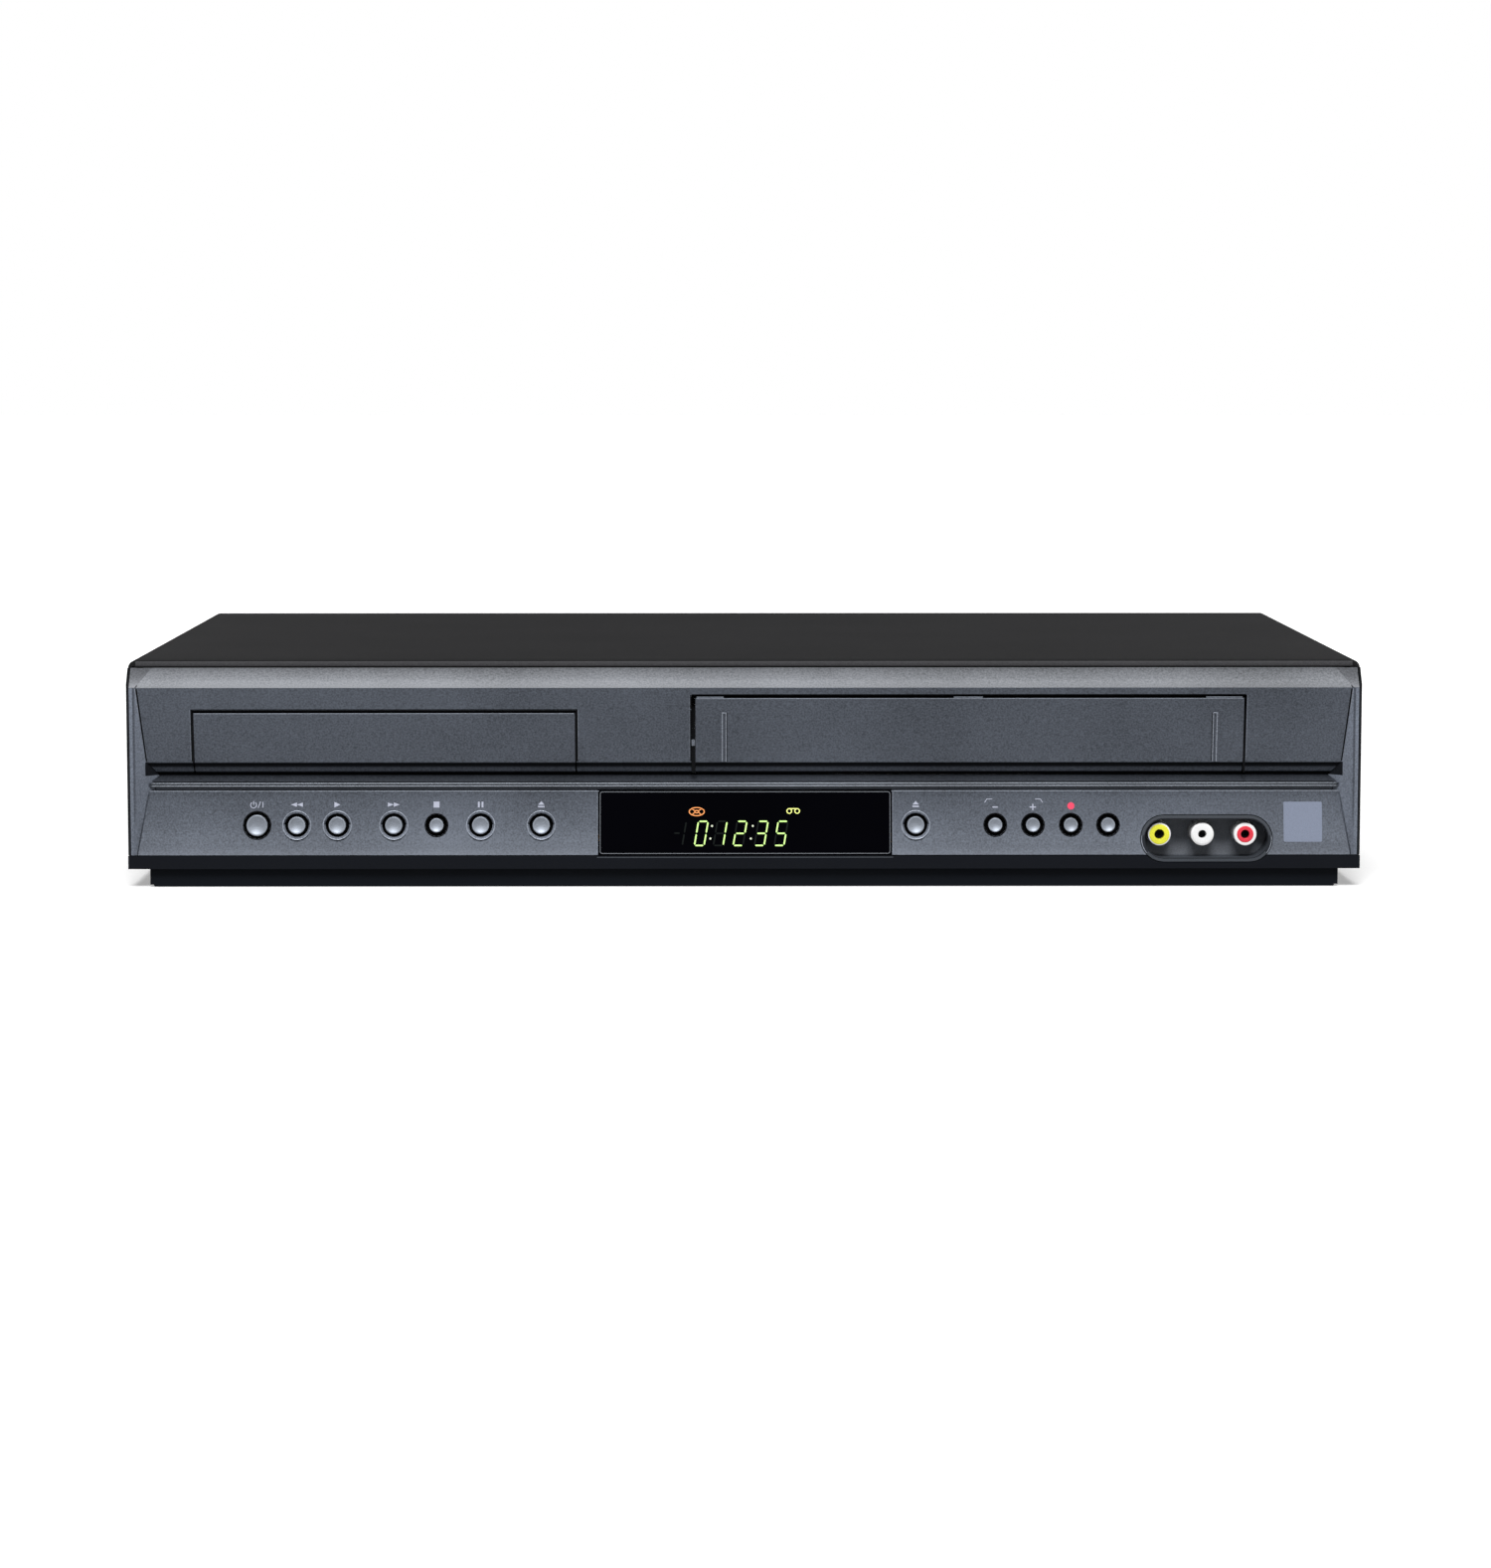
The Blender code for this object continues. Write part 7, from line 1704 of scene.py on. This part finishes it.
# The jacks
@dataclass(frozen=True)
class Jack:
    """A phono jack: a white or metal collar, a coloured insert, and a dark bore.

    Its shapes are turned round its place, which is the middle of its open end.
    """

    out: Point
    insert: Finish
    insert_radius: float
    bore: float
    insert_proud: float
    insert_back: float = -3.0
    collar_radius: float = 4.05
    collar_bore: float = 1.9

    def collar(self, place: Point, base: float) -> Form:
        """The turned sleeve from its open end to its foot, which is at y = base."""
        length, bore, radius = abs(place[1] - base), self.collar_bore, self.collar_radius
        corners = [(bore, -length + 0.5), (bore, 0), (radius, 0), (radius, -length), (bore, -length)]
        return turned(softened(corners, 0.35), place, self.out, looped=True)

    def disc(self, place: Point) -> Form:
        """The coloured ring in the sleeve's open end."""
        bore, radius, back, proud = self.bore, self.insert_radius, self.insert_back, self.insert_proud
        corners = [(bore, back), (bore, proud), (radius, proud), (radius, back)]
        return turned(softened(corners, 0.2), place, self.out, looped=True)

    def well(self, place: Point) -> Form:
        """The dark bottom of the bore."""
        wide, front = self.bore + 0.2, self.insert_back
        corners = [(0, -3.6), (wide, -3.6), (wide, -2.2), (0.9, -2.4), (0.55, front), (0, front)]
        return turned(corners, place, self.out)


@dataclass(frozen=True)
class FrontJacks:
    """The three jacks in their pocket, the painted highlight round the pocket's rim and the painted shade at
    its lip.
    """

    xs: tuple[float, ...] = (146.9, 162.1, 177.3)
    z: float = 18.4
    tip: float = -129.0
    base: float = -119.6
    inserts: tuple[tuple[str, Finish, float, float], ...] = (
        ("yellow", JACK_YELLOW, 3.6, 1.75), ("white", JACK_WHITE, 3.6, 1.45), ("red", JACK_RED, 2.95, 1.55),
    )
    insert_proud: float = 0.12
    housing_front: float = -119.4
    pocket: Flat = (163.3, 17.2)
    pocket_size: Flat = (46.4, 16.2)
    rim_proud: float = 0.11
    bead_proud: float = 0.02

    def build(self) -> None:
        """Makes the jacks with their housing, inserts and bores, the painted highlight round the pocket's rim
        and the painted shade at its lip.
        """
        places = [(x, self.tip, self.z) for x in self.xs]
        jacks = [Jack(FRONT, *sizes, self.insert_proud) for _, *sizes in self.inserts]
        forms = [jack.collar(place, self.base) for jack, place in zip(jacks, places)]
        forms.append(housing("front_jack_block", 0.8, front=self.housing_front))
        collars = joined(forms)
        piece("front_jack_collars", collars, JACK_WHITE, stands_for=["front_jack_block"])
        for (name, *_), jack, place in zip(self.inserts, jacks, places):
            piece(f"{name}_jack_insert", jack.disc(place), jack.insert)
        wells = [jack.well(place) for jack, place in zip(jacks, places)]
        piece("front_jack_wells", joined(wells), SEAM_AND_SHADE_BLACK)
        piece("pocket_rim", self.around(0.2, 0.24), BRIGHT_EDGE_HIGHLIGHT)
        piece("pocket_lip", self.around(0.85, 1.05), POCKET_LIP_SHADE)

    def around(self, inset: float, width: float) -> Form:
        """A bead round the pocket, that far inside its edge.

        It lies on the lower face, and below the face's foot on the upright plane of that foot.
        """
        size = [part - 2 * inset for part in self.pocket_size]
        path = LOWER.place(stadium(self.pocket, *size), self.rim_proud)
        foot = LOWER.low[0] + self.bead_proud - LOWER.out[2] * width / 2 * LOWER.out[1]
        path[:, 1] = np.maximum(path[:, 1], foot)
        return carried(path, bead(width, self.bead_proud), LOWER.out, closed=True)


@dataclass(frozen=True)
class RearSide:
    """The jacks, the inlet's pins and the screws of the rear."""

    columns: tuple[float, ...] = (-114.75, -99.75, -84.75, -69.75)
    rows: Flat = (43.4, 26.4)
    tip: float = 132.4
    base: float = 126.9
    colours: tuple[Finish, ...] = (
        JACK_YELLOW, JACK_WHITE, JACK_RED, JACK_ORANGE, JACK_GREEN, JACK_BLUE, JACK_RED, JACK_YELLOW,
    )
    housing_back: float = 127.0
    sheet: Face = Face((128.5, 78.0), (128.5, 6.5))
    plate: tuple[float, ...] = (30.0, 104.0, 16.0, 46.0)
    plate_proud: float = 0.12
    line_inset: float = 1.6
    frames: tuple[tuple[float, ...], ...] = ((-124.5, -60.0, 17.0, 52.5), (-122.5, -62.0, 18.6, 34.6))
    pin_xs: Flat = (-165.85, -157.25)
    pin_y: float = 117.2
    pin_z: float = 29.0
    pin_radius: float = 1.2
    pin_length: float = 12.6
    screw: Screw = Screw(3.0)
    screw_places: tuple[Flat, ...] = (
        (-208.0, 70.0), (208.0, 70.0), (-208.0, 13.0), (208.0, 13.0), (0.0, 13.0),
        (-92.25, 57.0), (-128.0, 34.0), (-56.0, 34.0),
    )

    def build(self) -> None:
        """Makes the rear's jacks, pins, screws and labels."""
        places = [(x, self.tip, z) for z in self.rows for x in self.columns]
        jacks = [Jack(BACK, colour, 3.5, 1.6, 0.08) for colour in self.colours]
        sleeves = [jack.collar(place, self.base) for jack, place in zip(jacks, places)]
        piece("rear_jack_sleeves", joined(sleeves), STEEL)
        for index, (jack, place) in enumerate(zip(jacks, places)):
            piece(f"rear_jack_insert_{index + 1}", jack.disc(place), jack.insert)
        forms = [jack.well(place) for jack, place in zip(jacks, places)]
        forms.append(housing("rear_jack_block", 1.0, back=self.housing_back))
        piece("rear_jack_housing", joined(forms), CASE_BLACK, stands_for=["rear_jack_block"])
        radius, length = self.pin_radius, self.pin_length
        rounded = softened([(0, length), (radius, length), (radius, 0)], 0.8, closed=False)
        profile = [(0, 0), *rounded, (0, 0)]
        pins = [turned(profile, (x, self.pin_y, self.pin_z), BACK) for x in self.pin_xs]
        piece("inlet_pins", joined(pins), STEEL)
        heads = [self.screw.head((x, self.sheet.low[0], z), BACK) for x, z in self.screw_places]
        piece("rear_screws", joined(heads), SCREW_METAL)
        self.labels()

    def labels(self) -> None:
        """Sticks on the bare rating plate, and prints its line and the frames round the jacks."""
        plate = self.sheet.slab(softened(oblong(*self.plate), 2.0), self.plate_proud)
        piece("rating_plate", plate, REAR_PLATE)
        inset = np.array([1, -1, 1, -1]) * self.line_inset
        path = self.sheet.place(softened(oblong(*(self.plate + inset)), 1.2), self.plate_proud)
        frame_line = carried(path, bead(0.35, 0.03), self.sheet.out, closed=True)
        piece("rating_plate_line", frame_line, SEAM_AND_SHADE_BLACK)
        outlines = [softened(oblong(*sides), 3.0) for sides in self.frames]
        lines = [self.sheet.line(outline, 0.5, 0.03, closed=True) for outline in outlines]
        piece("rear_print", joined(lines), MARK_INK)


@dataclass(frozen=True)
class Underside:
    """The screws under the bottom tray and in the feet."""

    level: float = 6.3
    screw: Screw = Screw(3.0)
    places: tuple[Flat, ...] = (
        (-150.0, -60.0), (-90.0, 70.0), (20.0, -60.0), (140.0, -60.0), (40.0, 90.0), (150.0, 100.0),
        (-205.0, 0.0), (205.0, 0.0),
    )

    def build(self) -> None:
        """Makes the screws."""
        heads = [self.screw.head((x, y, self.level), DOWN) for x, y in self.places]
        piece("bottom_screws", joined(heads), SCREW_METAL)


def main() -> None:
    """Builds the studio and every sub-assembly in order."""
    logging.basicConfig(level=logging.INFO, format="%(message)s")
    Studio().build()
    dress_nodes()
    for assembly in (Cover(), Trim(), Seams(), PlinthStep()):
        assembly.build()
    for name, kind in BUTTON_KINDS.items():
        Button(name + "_button", kind).build()
    for assembly in (Marks(), Display(), FrontJacks(), RearSide(), Underside()):
        assembly.build()


if __name__ == "__main__":
    main()
